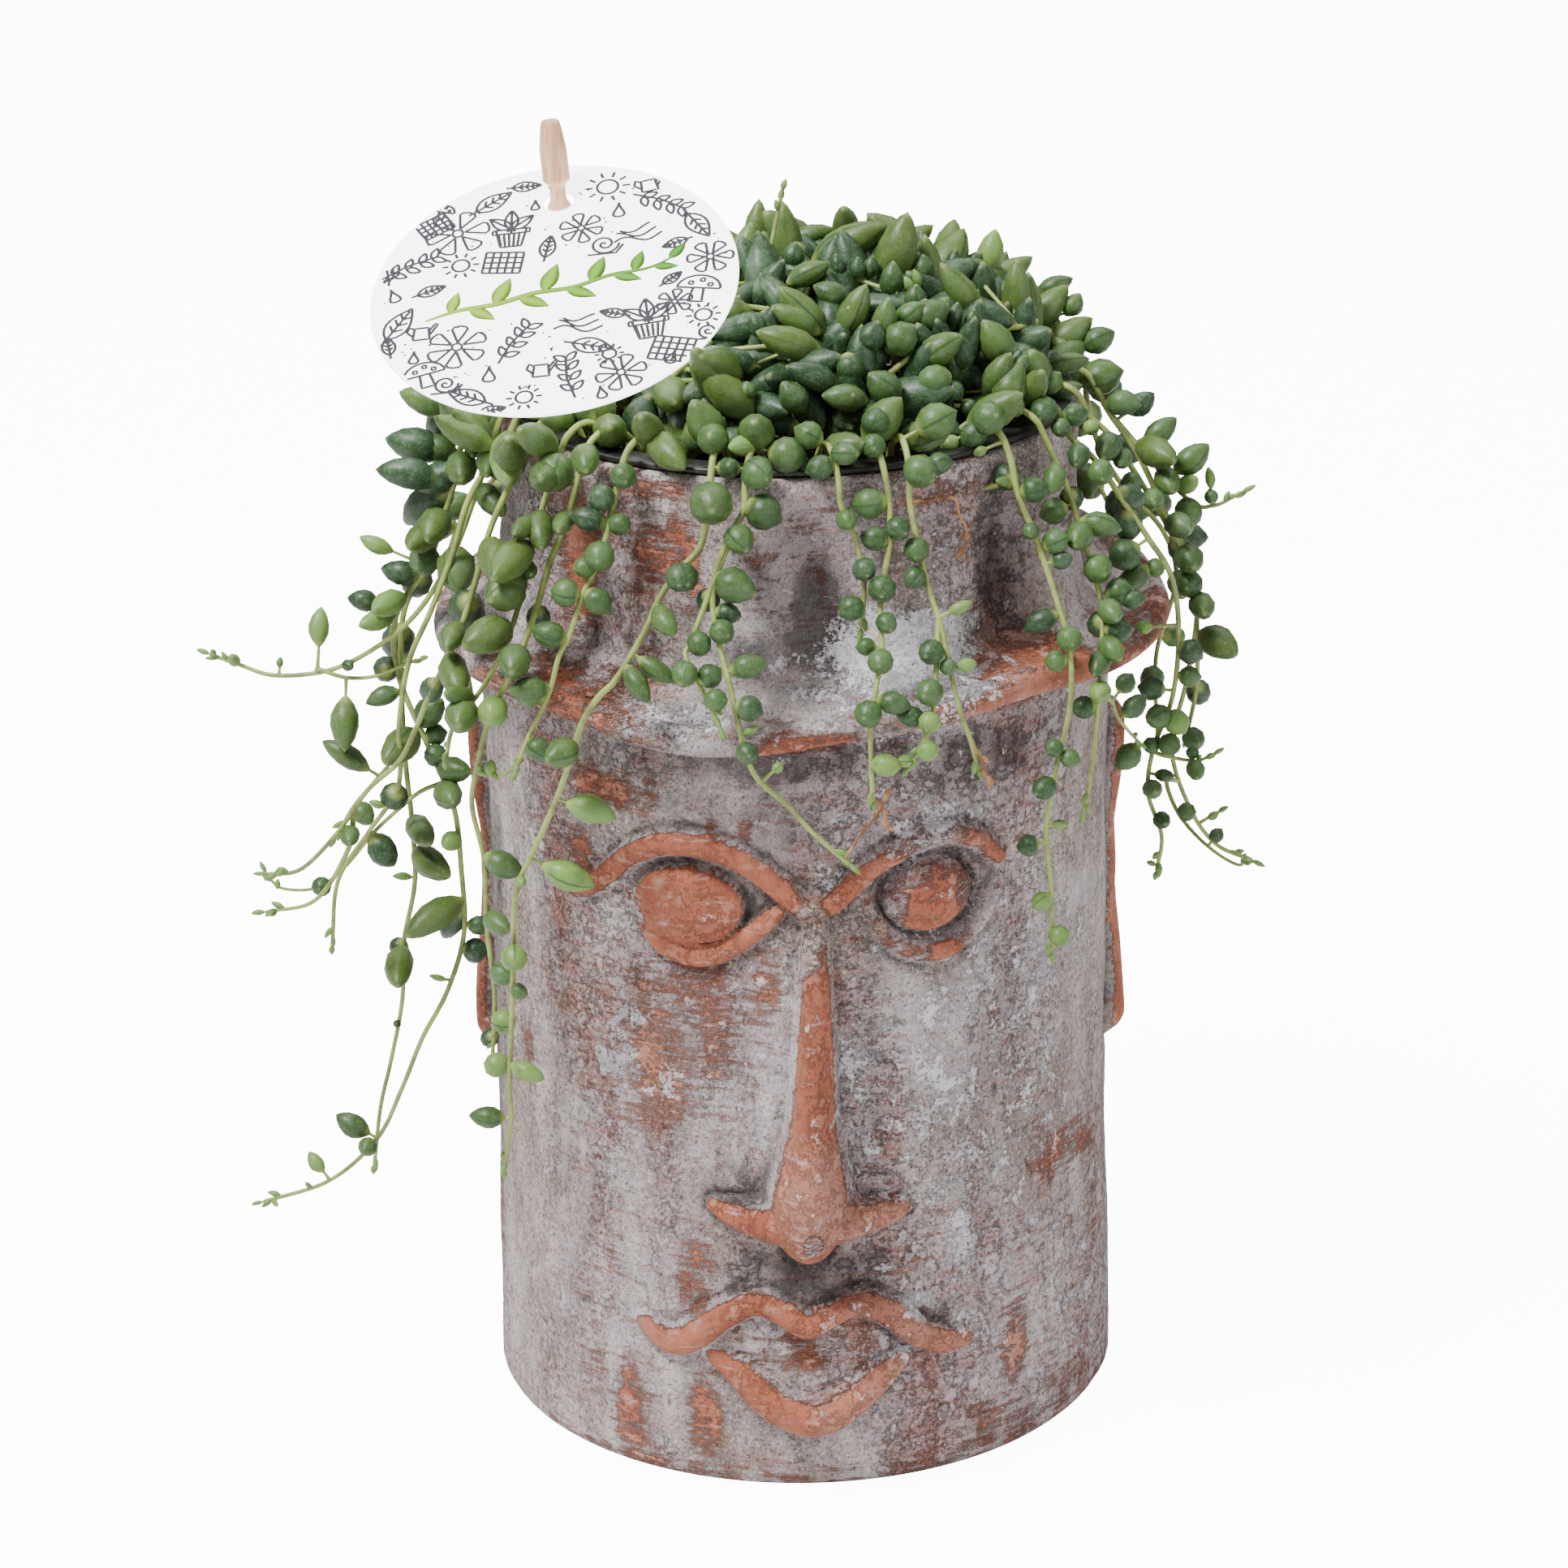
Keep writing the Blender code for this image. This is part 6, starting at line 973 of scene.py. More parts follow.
        (90.6, 142.8, 2.5, 1.1, 1), (93.5, 132.6, 2.8, 1, 1), (75.4, 130.7, 2, 1.2, 1),
        (60.7, 166.5, 5.4, 5), (63.9, 169.8, 7, 4.6, 1), (54.5, 157.4, 4.5, 4.1), (58, 155, 4.8, 4),
        (52.5, 148.4, 6.2, 5), (49.1, 135.3, 5, 4.9), (55.8, 139.9, 3.8, 2, 1), (51.9, 122.3, 4.8, 4.3, 1),
        (55.9, 114.2, 5, 4.6, 1), (53.3, 111, 2, 1.3, 1))),
    (-30, ((17.5, 228.6, 6.4, 6), (17, 223.4, 5.4, 5.2), (3.5, 226, 6.6, 6), (-0.8, 221.7, 8.6, 7.6),
        (5.7, 218.8, 6, 5.2), (11.2, 221.8, 7.6, 5), (-7.1, 218.3, 6.6, 6.4), (-12.9, 219.1, 4.4, 4.2),
        (-10.3, 223.9, 8, 4.6, 1), (-16, 225.4, 8.6, 6.6), (30.2, 228.5, 9.4, 8), (37.8, 225.3, 7, 5.6),
        (32.8, 223.6, 4.6, 3.6, 1), (26.8, 217.6, 8, 7), (30.8, 219.4, 5.6, 4.6), (34.7, 219.3, 6, 4.6, -1),
        (34, 215.6, 5, 4.6))),
)


def rim_route(azimuth, first):
    """From the soil up and over the lips, toward the first point outside."""
    turn = math.radians(azimuth)
    out = math.atan2(first[0], -first[1])
    away = (out - turn + math.pi) % (2 * math.pi) - math.pi
    steps = ((ROOT_RING, SOIL_TOP - ROOT_DEPTH, 0.0), (ROOT_RING, SOIL_TOP + 1.5, 0.0),
             (ROOT_RING + 2.5, 227.5, 0.25), (57.5, 232.4, 0.55), (63.0, 231.0, 0.8), (66.0, 226.0, 0.95))
    return [at_turn(radius, turn + away * share, z) for radius, z, share in steps]


def hanging_route(azimuth, length):
    """A stem that follows the hat down over its brim and hangs, with a slight seeded sway."""
    draw = random.Random(azimuth)
    falls = ((67.5, 216.0), (70.5, 206.0), (76.0, 197.0), (83.5, 188.0), (87.0, HANG_TOP))
    route = [at_turn(radius, math.radians(azimuth + draw.uniform(-2, 2)), z) for radius, z in falls]
    hanging = length - RUN_OVER_BRIM
    drops = max(1, round(hanging / HANG_STEP))
    drift = draw.uniform(-3, 3)
    for i in range(1, drops + 1):
        turn = math.radians(azimuth + drift * i / drops + draw.uniform(-1, 1))
        radius = HANG_RADIUS - 4.0 * i / drops + draw.uniform(-1.0, 1.5)
        route.append(at_turn(radius, turn, HANG_TOP - hanging * i / drops))
    return route


def on_sight(plane, x, z, depth):
    """The place at a depth (Y) that looks to stand at X, Z on an upright plane."""
    scale = (depth - EYE[1]) / (plane - EYE[1])
    return np.array((EYE[0] + (x - EYE[0]) * scale, depth, EYE[2] + (z - EYE[2]) * scale))


def nearest_in_view(points, plane, x, z):
    """How far each point looks to be from X, Z on an upright plane."""
    scale = (plane - EYE[1]) / (points[:, 1] - EYE[1])
    return np.hypot(EYE[0] + (points[:, 0] - EYE[0]) * scale - x,
                    EYE[2] + (points[:, 2] - EYE[2]) * scale - z)


def stem_lines(name, azimuth, route):
    """The lines of one trailing stem, its forks and its side shoots, each with its radius and tone."""
    line = smooth_line(rim_route(azimuth, route[0]) + list(route), LINE_STEP)
    lines = [(line, STEM_RADIUS, 0.0)]
    for parent, share, side_route in FORKS:
        if parent == name:
            start = line[int(share * (len(line) - 1))]
            lines.append((smooth_line([tuple(start)] + list(side_route), LINE_STEP), BRANCH_RADIUS, 0.0))
    outside = np.array([p for p in line if math.hypot(p[0], p[1]) > RIM_REACH])
    for shoots, radius, tone in ((YOUNG_SHOOTS, SHOOT_RADIUS, 0.0), (DRIED_SHOOTS, DRIED_RADIUS, 2.0)):
        for parent, plane, readings in shoots:
            if parent == name:
                start = outside[int(np.argmin(nearest_in_view(outside, plane, *readings[0])))]
                depths = np.linspace(start[1], plane, len(readings) + 1)[1:]
                places = [tuple(on_sight(plane, x, z, y)) for (x, z), y in zip(readings, depths)]
                lines.append((smooth_line([tuple(start)] + places, LINE_STEP), radius, tone))
    return lines


def unit(vector):
    """The vector at length 1."""
    return vector / np.linalg.norm(vector)


Bead = namedtuple("Bead", "root foot direction length width tone face shade")


def bead(root, foot, direction, length, width, tone, draw):
    """A bead or leaf: its root on the stem, foot, direction, sizes, tone, the side it shows and its shade."""
    middle = foot + direction * length / 2
    outward = unit(np.array((middle[0], middle[1], 12.0)) + 0.001)
    face = outward + np.array([draw.gauss(0, 0.45) for _ in range(3)]) + np.array((0, 0, 0.35))
    return Bead(root, foot, direction, length, width, tone, face, draw.random())


def seen_bead(points, keys, plane, x, z, length, width, tone=0):
    """A bead read from the photograph: the number of its stem, and the bead."""
    away = nearest_in_view(points, plane, x, z)
    best = int(np.argmin(away + DEPTH_COST * np.abs(points[:, 1] - plane)))
    owner, line, index = keys[best]
    growth = eased(SIDE_GROWTH, x)
    length, width = length * growth, width * growth
    back = 0.3 if away[best] < length / 2 else 0.1
    root = np.array(line[max(index - int(back * length / LINE_STEP), 0)])
    ray = unit(np.array((x, plane, z)) - EYE)
    middle = EYE + ray * float((root - EYE) @ ray)
    offset = float(np.linalg.norm(middle - root))
    if offset < length / 2:
        forward = math.sqrt((length / 2) ** 2 - offset ** 2)
        middle = middle + ray * (forward if tone < 0 else -forward)
    direction = unit(middle - root)
    draw = random.Random(f"{x} {z}")
    return owner, bead(root, middle - direction * length / 2, direction, length, width, tone, draw)


def side_frame(tangent):
    """Two directions across a stem."""
    level = np.cross(tangent, (0.0, 0.0, 1.0))
    if np.linalg.norm(level) < 0.05:
        level = np.array((1.0, 0.0, 0.0))
    level = unit(level)
    return level, np.cross(tangent, level)


def run_of(line):
    """How far along a line each of its points is."""
    return np.concatenate([[0.0], np.cumsum(np.linalg.norm(np.diff(line, axis=0), axis=1))])


def ruled_beads(name, line):
    """Beads along a stem that the photograph doesn't show, smaller and younger toward its tip."""
    along = run_of(line)
    grown = []
    at = FIRST_BEAD
    while at < along[-1] - 1.5:
        count = len(grown)
        index = int(np.searchsorted(along, at))
        share = (at - FIRST_BEAD) / max(along[-1] - FIRST_BEAD, 1.0)
        draw = random.Random(f"{name} {count}")
        level, across = side_frame(unit(line[min(index + 1, len(line) - 1)] - line[index - 1]))
        angle = math.radians(count * 137.5 + draw.uniform(-25, 25))
        outward = unit(np.array((line[index][0], line[index][1], 0.0)))
        direction = unit(level * math.cos(angle) + across * math.sin(angle) + outward * 0.6
                         + np.array((0, 0, draw.uniform(-0.6, -0.1))))
        grown_to = draw.uniform(0.88, 1.1) * (0.7 if share > 0.9 else 1.0)
        length, width = (9.6 - 2.8 * share) * grown_to, (7.2 - 2.2 * share) * grown_to
        foot = line[index] + direction * 0.8
        # Near the tip the beads are young; elsewhere one in four gets tone -1, painted darker as shade.
        tone = 1 if share > 0.88 else draw.choice((-1, 0, 0, 0))
        grown.append(bead(line[index], foot, direction, length, width, tone, draw))
        at += BEAD_PITCH * draw.uniform(0.85, 1.15)
    return grown


def collar_leaves(name, line, places):
    """Large leaves that stand up and out of a stem where it passes over the rim."""
    along = run_of(line)
    grown = []
    for i, at in enumerate(places):
        base = line[int(np.searchsorted(along, at))]
        outward = unit(np.array((base[0], base[1], 0.0)))
        sideways = np.cross(outward, (0.0, 0.0, 1.0))
        draw = random.Random(f"{name} collar {i}")
        direction = outward * draw.uniform(-0.1, 0.9) + sideways * draw.uniform(-0.8, 0.8)
        direction = unit(direction + np.array((0, 0, draw.uniform(0.2, 1.0))))
        length, width = draw.uniform(11.0, 15.0), draw.uniform(6.0, 8.0)
        grown.append(bead(base, base + direction * 1.0, direction, length, width, 0, draw))
    return grown


def card_place():
    """Turns and moves the flat card into its place."""
    tilt = Matrix.Rotation(math.radians(CARD_TILT), 4, "X")
    roll = Matrix.Rotation(-math.radians(CARD_ROLL), 4, "Y")
    return Matrix.Translation(Vector(CARD_CENTRE) * MM) @ tilt @ roll


def clear_of_card(grown):
    """Only the leaves that stand clear of the label card."""
    normal = np.array(card_place().to_3x3() @ Vector((0, 0, 1)))
    clear = []
    for each in grown:
        heights = []
        for share in (0.0, 0.5, 1.0):
            offset = each.foot + each.direction * each.length * share - np.array(CARD_CENTRE)
            height = float(offset @ normal)
            if np.linalg.norm(offset - height * normal) < CARD_RADIUS + each.width / 4:
                heights.append(height)
        highest = max(heights, default=-math.inf)
        if highest < -0.4 - each.width * 0.45 or highest > each.width:
            clear.append(each)
    return clear


def tip_buds(name, line, tone=0.0):
    """The growth at a stem's end: a few slim buds close together, coloured as dried on a dried shoot."""
    draw = random.Random(f"{name} tip")
    end, course = line[-1], unit(line[-1] - line[-3])
    level, across = side_frame(course)
    grown = []
    for i in range(TIP_BUDS):
        angle = i * 2.4 + draw.uniform(-0.4, 0.4)
        spread = 0.15 + 0.25 * i
        direction = unit(course + (level * math.cos(angle) + across * math.sin(angle)) * spread)
        foot = end - course * 2.2 * i
        length, width = draw.uniform(2.4, 3.6), draw.uniform(1.1, 1.5)
        grown.append(bead(foot, foot, direction, length, width, max(tone, 1.0), draw))
    return grown


def joined_lines(lines):
    """All points of some lines in one list, and the edges along them."""
    points, edges = [], []
    for line in lines:
        start = len(points)
        edges += [(start + i, start + i + 1) for i in range(len(line) - 1)]
        points += list(line)
    return points, edges


def drawn_object(name, points, edges, values):
    """An object of points and edges in millimetres, with named values kept on its points."""
    mesh = bpy.data.meshes.new(name)
    mesh.from_pydata(in_metres(points), edges, [])
    for label, numbers in values.items():
        store(mesh, label, numbers)
    return in_scene(name, mesh)


def plant_points(name, lines, beads):
    """Stems as edges and beads as loose points, with what the tree needs kept on the points."""
    lines = list(lines)
    for each in beads:
        if np.linalg.norm(each.foot - each.root) > 0.3:
            neck = each.foot + each.direction * each.length * 0.12
            lines.append(([each.root, (each.root + each.foot) / 2 + (0, 0, 0.1), neck], STALK_RADIUS, 0.0))
    points, edges = joined_lines([line for line, radius, tone in lines])
    thick = [radius * (1 - 0.4 * i / (len(line) - 1)) * MM
             for line, radius, tone in lines for i in range(len(line))]
    blank, no_way = [0.0] * len(points), [(0.0, 0.0, 0.0)] * len(points)
    return drawn_object(name, points + [each.foot for each in beads], edges, {
        "thick": thick + [0.0] * len(beads),
        "tone": [tone for line, radius, tone in lines for point in line] + [each.tone for each in beads],
        "long": blank + [each.length * MM for each in beads],
        "wide": blank + [each.width * MM for each in beads],
        "shade": blank + [each.shade for each in beads],
        "warm": blank + [min(1.0, max(0.0, (each.length - 7) / 7)) for each in beads],
        "plump": blank + [each.width > PLUMP_SHARE * each.length for each in beads],
        "aim": no_way + [tuple(each.direction) for each in beads],
        "face": no_way + [tuple(each.face) for each in beads]})


def bead_shape(name, outline, bend):
    """A bead one unit long and wide that grows along Z, with its own places kept on its points."""
    points = [(0.0, 0.0, 0.0)]
    turns = [(0.0, 0.0)]
    for share, radius in outline[1:-1]:
        lean = bend * math.sin(math.pi * share)
        for i in range(BEAD_SIDES):
            angle = 2 * math.pi * i / BEAD_SIDES
            points.append((radius * math.sin(angle), radius * math.cos(angle) + lean, share))
            turns.append((math.sin(angle), math.cos(angle)))
    points.append((0.0, 0.0, 1.0))
    turns.append((0.0, 0.0))
    faces = []
    last = 1 + (len(outline) - 3) * BEAD_SIDES
    for i in range(BEAD_SIDES):
        after = (i + 1) % BEAD_SIDES
        faces.append((0, 1 + i, 1 + after))
        for low in range(1, last, BEAD_SIDES):
            faces.append((low + after, low + i, low + BEAD_SIDES + i, low + BEAD_SIDES + after))
        faces.append((last + after, last + i, len(points) - 1))
    made = new_mesh_object(name, [tuple(c / MM for c in p) for p in points], faces)
    store(made.data, "leaf_at", [z for x, y, z in points])
    store(made.data, "leaf_side", [side for side, front in turns])
    store(made.data, "leaf_front", [front for side, front in turns])
    return made


def stroked(tree, edges, sides):
    """Tubes along a mesh's edges, as thick as its points say."""
    curves = add_node(tree, "GeometryNodeMeshToCurve", {"Mesh": edges})
    section = add_node(tree, "GeometryNodeCurvePrimitiveCircle", {"Resolution": sides, "Radius": 1.0})
    return add_node(tree, "GeometryNodeCurveToMesh", {
        "Curve": curves, "Profile Curve": section, "Scale": kept(tree, "thick"), "Fill Caps": True})


def stems_and_beads_tree():
    """Stems of round section along the edges, and a bead or leaf on every loose point."""
    tree, given = geometry_tree("stems_and_beads", (
        ("Stem Sides", "NodeSocketInt", 7), ("Bead", "NodeSocketObject", None),
        ("Leaf", "NodeSocketObject", None), ("Finish", "NodeSocketMaterial", None)))
    is_bead = add_math(tree, "GREATER_THAN", kept(tree, "long"), 0.0)
    loose = add_node(tree, "GeometryNodeSeparateGeometry", {
        "Geometry": given["Geometry"], "Selection": is_bead})
    stems = stroked(tree, loose.outputs["Inverted"], given["Stem Sides"])
    stems = add_node(tree, "GeometryNodeStoreNamedAttribute", {
        "Geometry": stems, "Name": "stalk", "Value": 1.0})
    aim, face = kept(tree, "aim", "FLOAT_VECTOR"), kept(tree, "face", "FLOAT_VECTOR")
    along = add_node(tree, "FunctionNodeAlignRotationToVector", {"Vector": aim}, axis="Z")
    way = add_node(tree, "FunctionNodeAlignRotationToVector", {"Rotation": along, "Vector": face},
                   axis="Y", pivot_axis="Z")
    wide, plump = kept(tree, "wide"), kept(tree, "plump")
    size = add_node(tree, "ShaderNodeCombineXYZ", {0: wide, 1: wide, 2: kept(tree, "long")})
    parts = []
    for label, chosen in (("Bead", plump), ("Leaf", minus(tree, 1.0, plump))):
        shape = add_node(tree, "GeometryNodeObjectInfo", {"Object": given[label]}).outputs["Geometry"]
        parts.append(add_node(tree, "GeometryNodeInstanceOnPoints", {
            "Points": loose, "Selection": chosen, "Instance": shape, "Rotation": way, "Scale": size}))
    smooth = add_node(tree, "GeometryNodeSetShadeSmooth", {"Geometry": joined(tree, parts + [stems])})
    return end_tree(tree, smooth, given["Finish"])


def succulent_green():
    """Waxy leaf: dark to fresh green by age, painted darker as shade where it lies deep in the heap or behind
    its stem, a darker clear line on its face, pale at its neck and tip.
    """
    made, tree, shader = new_material("succulent_green", 0.4, 0.4)
    place = object_place(tree)
    at, side, front, tone, shade, warm, stalk = [
        kept(tree, name) for name in ("leaf_at", "leaf_side", "leaf_front", "tone", "shade", "warm", "stalk")]
    mottle = noise(tree, place, 0.006, 3.0, 0.6)
    frost = noise(tree, place, 0.0014, 3.0, 0.7)
    speck = noise(tree, place, 0.0005, 2.0, 0.6)
    grown = coated(tree, LEAF_DEEP, ((shade, 0, 1, 1, LEAF_FRESH),))
    grown = mix_colour(tree, times(tree, warm, 0.8), grown, LEAF_WARM)
    # Tone -1 gives painted shade: LEAF_SHADED for leaves deep in the heap or behind their stems. Tone 1 gives
    # young light green.
    green = coated(tree, LEAF_SHADED, (
        (tone, -1, 0, 1, grown), (tone, 0, 1, 1, LEAF_YOUNG), (mottle, 0.45, 0.68, 0.3, LEAF_BLOOM),
        (frost, 0.45, 0.70, 0.35, LEAF_BLOOM), (mottle, 0.5, 0.3, 0.5, LEAF_DEEP),
        (speck, 0.58, 0.72, 0.4, LEAF_YOUNG)))
    away = add_math(tree, "ABSOLUTE", side)
    line = times(tree, add_ramp(tree, away, 0.15, 0.02), add_ramp(tree, front, 0, 0.2))
    faded = add_ramp(tree, add_math(tree, "FRACT", times(tree, shade, 7.0)), 0.2, 0.9, 0.12, 0.75)
    line = times(tree, line, times(tree, add_ramp(tree, at, 0.08, 0.2), faded))
    green = mix_colour(tree, line, green, LEAF_LINE)
    green = coated(tree, green, ((at, 0.2, 0.03, 0.8, STEM_PALE), (at, 0.93, 1, 0.6, LEAF_TIP)))
    bark = coated(tree, STEM_PALE, ((mottle, 0.4, 0.65, 1, STEM_DEEP),))
    dried = coated(tree, DRIED_LIGHT, ((mottle, 0.4, 0.6, 1, DRIED_DARK),))
    colour = coated(tree, mix_colour(tree, stalk, green, bark), ((tone, 1.2, 1.8, 1, dried),))
    tree.links.new(colour, shader.inputs["Base Color"])
    shader.inputs["Subsurface Weight"].default_value = 0.12
    shader.inputs["Subsurface Radius"].default_value = (0.6, 1.0, 0.3)
    shader.inputs["Subsurface Scale"].default_value = 0.002
    add_bump(tree, shader, times(tree, speck, 0.00008))
    return made


LEAF_DEEP = (0.024, 0.064, 0.018)
LEAF_FRESH = (0.070, 0.145, 0.032)
LEAF_WARM = (0.096, 0.150, 0.022)
# Painted shade: the green for leaves deep in the heap or behind their stems.
LEAF_SHADED = (0.020, 0.050, 0.020)
LEAF_YOUNG = (0.190, 0.330, 0.070)
LEAF_BLOOM = (0.125, 0.210, 0.110)
LEAF_LINE = (0.016, 0.046, 0.016)
LEAF_TIP = (0.300, 0.330, 0.130)
STEM_PALE = (0.350, 0.430, 0.115)
STEM_DEEP = (0.200, 0.235, 0.070)
DRIED_LIGHT = (0.420, 0.210, 0.090)
DRIED_DARK = (0.200, 0.070, 0.028)

plant_tree = stems_and_beads_tree()
bead_form = bead_shape("bead_form", BEAD_OUTLINE, 0.0)
leaf_form = bead_shape("leaf_form", LEAF_OUTLINE, 0.07)
plant_finish = succulent_green()
plant_inputs = {"Bead": bead_form, "Leaf": leaf_form, "Finish": plant_finish}

routes = list(STRINGS)
routes += [(f"{BACK_PREFIX}_{i + 1}", azimuth, hanging_route(azimuth, length))
           for i, (azimuth, length) in enumerate(BACK_STRINGS)]
plans = [(name, stem_lines(name, azimuth, route)) for name, azimuth, route in routes]
points, keys = [], []
for owner, (name, lines) in enumerate(plans[:len(STRINGS)]):
    for line, radius, tone in lines:
        outside = [i for i, point in enumerate(line) if math.hypot(point[0], point[1]) > RIM_REACH]
        points += [line[i] for i in outside]
        keys += [(owner, line, i) for i in outside]
points = np.array(points)
beads_of = [[] for plan in plans]
for plane, readings in SEEN_BEADS:
    for reading in readings:
        owner, grown = seen_bead(points, keys, plane, *reading)
        beads_of[owner].append(grown)
for (name, lines), beads in zip(plans, beads_of):
    unseen = name.startswith(BACK_PREFIX)
    collar = COLLAR_LEAVES if unseen else COLLAR_LEAVES[:1]
    if name.startswith(LEFT_PREFIX):
        collar = LEFT_COLLAR
    beads += collar_leaves(name, lines[0][0], collar)
    if unseen:
        beads += ruled_beads(name, lines[0][0])
    for line, radius, tone in lines:
        beads += tip_buds(f"{name} {len(line)}", line, tone)
    string = grow(plant_points(f"{name}_skin", lines, clear_of_card(beads)), plant_tree, plant_inputs)
    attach(string, "root")
    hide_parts(name)

# The crown is the plant's dense heap of large leaves, which hides the stems and the soil it grows from.
# The leaves are plump and pointed and stand up and out on short stalks; those deep inside are painted darker
# as shade.
MOUND_CENTRE = np.array((6.0, 1.0, 229.0))
MOUND_RADII = np.array((54.0, 47.0, 29.0))
CROWN_PLANE = -30.0
SPROUT = ((-3, -6, 238), (-5, -5, 252), (-3, -3, 262), (-1, 0, 270.5))
INNER_LEAVES = 240
OUTER_LEAVES = 100
TANGLE_STEMS = 46
CORE_SHARE = 0.66
GOLDEN_TURN = math.radians(137.508)
# Leaves read on the crown's plane: X and Z of the middle, length, width, the way the tip points in degrees
# (0 to the right, 90 up), and a tone where it differs: 1 young and light, -1 painted darker as shade
SEEN_LEAVES = (
    (-7.6, 263.4, 12.5, 5.6, 120, -1), (-4.6, 267, 5.6, 4.2, 100), (4.8, 268.3, 11.2, 4.9, -6),
    (1, 264.2, 6.4, 5, 80), (4, 260.5, 10.4, 5.2, 8), (9.8, 266.4, 5, 4, 80), (11.4, 265, 5, 2.8, 92, 1),
    (14.6, 267.7, 7.6, 4.4, 115), (18.3, 267.1, 4, 2.4, 75), (23.3, 265.9, 9, 4.4, 45),
    (27.2, 263.4, 8.6, 4, 92), (10, 262, 5.6, 3.6, 105, -1), (14.1, 261.3, 5.4, 3.4, 90),
    (16.8, 261.6, 5.4, 3.6, 80), (21, 258.8, 8.6, 5.2, 85), (24.4, 257.8, 4, 2.4, 120, 1),
    (26.2, 259.1, 4.4, 2, 115, 1), (25.9, 255.1, 6, 4.6, 90), (8.9, 256.1, 9, 5.6, 170),
    (13.2, 252.3, 13.4, 6.4, 60), (2.5, 252.5, 15.5, 6.6, 142), (1.3, 250.8, 12, 6, 160),
    (-0.2, 246, 15, 7, 172), (12.4, 240.3, 6.6, 6, -80), (-10.6, 254.4, 8, 5, 110, 1),
    (-6.6, 249.6, 6, 4.4, 120, -1), (-10.9, 242.6, 8.6, 4.6, 160, -1), (-14, 247.4, 6, 4.6, 150),
    (-13, 235.2, 17, 8, 136), (-9, 235.8, 4.4, 4, 90), (0.4, 234.3, 8.6, 6.2, 125),
    (4.6, 238.6, 13, 6, 165, -1), (16.7, 246.9, 8, 6, 60, -1), (19.4, 249.9, 11.5, 5.6, 80),
    (22.8, 246.4, 8.6, 7.4, 40), (24.9, 251.4, 8, 5.5, 30), (19.1, 236, 9.4, 7, 140),
    (11.2, 233.8, 10.4, 6, 176), (27.4, 266.5, 5.6, 3.4, 100), (31.7, 264.5, 4.8, 2.4, 70, 1),
    (33.7, 262.6, 5.4, 3.6, 80, -1), (27.4, 261.1, 6.6, 5, 90), (41, 264, 11.4, 6.2, 76, 1),
    (35.2, 255.9, 16, 6.4, 138), (46.5, 255.1, 16.5, 6.4, 98), (52.7, 252.4, 14, 7, 46),
    (54.5, 256.8, 9, 4.6, 15), (58.3, 253, 6, 4.6, 60), (57.3, 246.6, 13, 7, 36), (63.7, 245.3, 8, 6, 30),
    (59.1, 243, 4, 2.6, 60, 1), (64.4, 237.5, 10, 8, 20), (56.7, 240.3, 11, 5, 10),
    (56.8, 234.5, 8, 4.6, 28), (54, 236.5, 6, 5, 60), (42.8, 238.3, 11.6, 6.2, 66),
    (47.1, 240.1, 6.4, 3.8, 56), (42.2, 245, 12, 7.4, 130), (47.1, 235.3, 5.4, 4.6, 30),
    (31, 243.9, 11.4, 7, 28), (35.1, 243.2, 9, 5.4, 110, -1), (29, 251.3, 9.4, 7, 20),
    (31.5, 253.1, 5, 3.6, 50), (29.6, 237.3, 8, 6.6, 200), (34, 251.2, 6, 3.6, 80, -1),
    (37.6, 250.2, 5, 3.4, 85), (33.8, 234.9, 5, 4.4, -60, -1), (36.9, 231.3, 4, 3.8, -70),
    (-25.9, 224.0, 18.5, 9.2, 8), (-18.0, 226.9, 12, 8, 35), (-41.8, 221.5, 11, 7.4, -10),
    (-46.3, 229.7, 12, 8, 110, -1), (-35.5, 225.1, 8, 6, 100, -1), (-11.9, 224.7, 9, 7, 150, -1),
    (-53.1, 228.1, 12, 7, 120, -1), (-31.1, 230.3, 12, 8, 60, -1))


def mound_place(rise, turn, depth):
    """A place at a share of the mound's size, and the way out of it there."""
    flat = math.sqrt(max(0.0, 1 - rise * rise))
    way = np.array((flat * math.cos(turn), flat * math.sin(turn), rise))
    return MOUND_CENTRE + MOUND_RADII * way * depth, unit(way / MOUND_RADII)


def seen_leaf(x, z, length, width, turn, tone=0):
    """A leaf read from the photograph, where its line of sight meets the mound."""
    ray = unit(np.array((x, CROWN_PLANE, z)) - EYE)
    start, run = (EYE - MOUND_CENTRE) / MOUND_RADII, ray / MOUND_RADII
    inside = float((start @ run) ** 2 - (run @ run) * (start @ start - 1))
    middle = EYE + ray * (-float(start @ run) - math.sqrt(max(inside, 0.0))) / float(run @ run)
    outward = unit((middle - MOUND_CENTRE) / MOUND_RADII ** 2)
    direction = np.array((math.cos(math.radians(turn)), 0.0, math.sin(math.radians(turn))))
    direction = unit(direction + outward * 0.35)
    foot = middle - direction * length / 2
    root = MOUND_CENTRE + (foot - MOUND_CENTRE) * CORE_SHARE
    grown = bead(root, foot, direction, length, width, tone, random.Random(f"leaf {x} {z}"))
    return grown._replace(face=grown.face + np.array((0, -0.7, 0)))


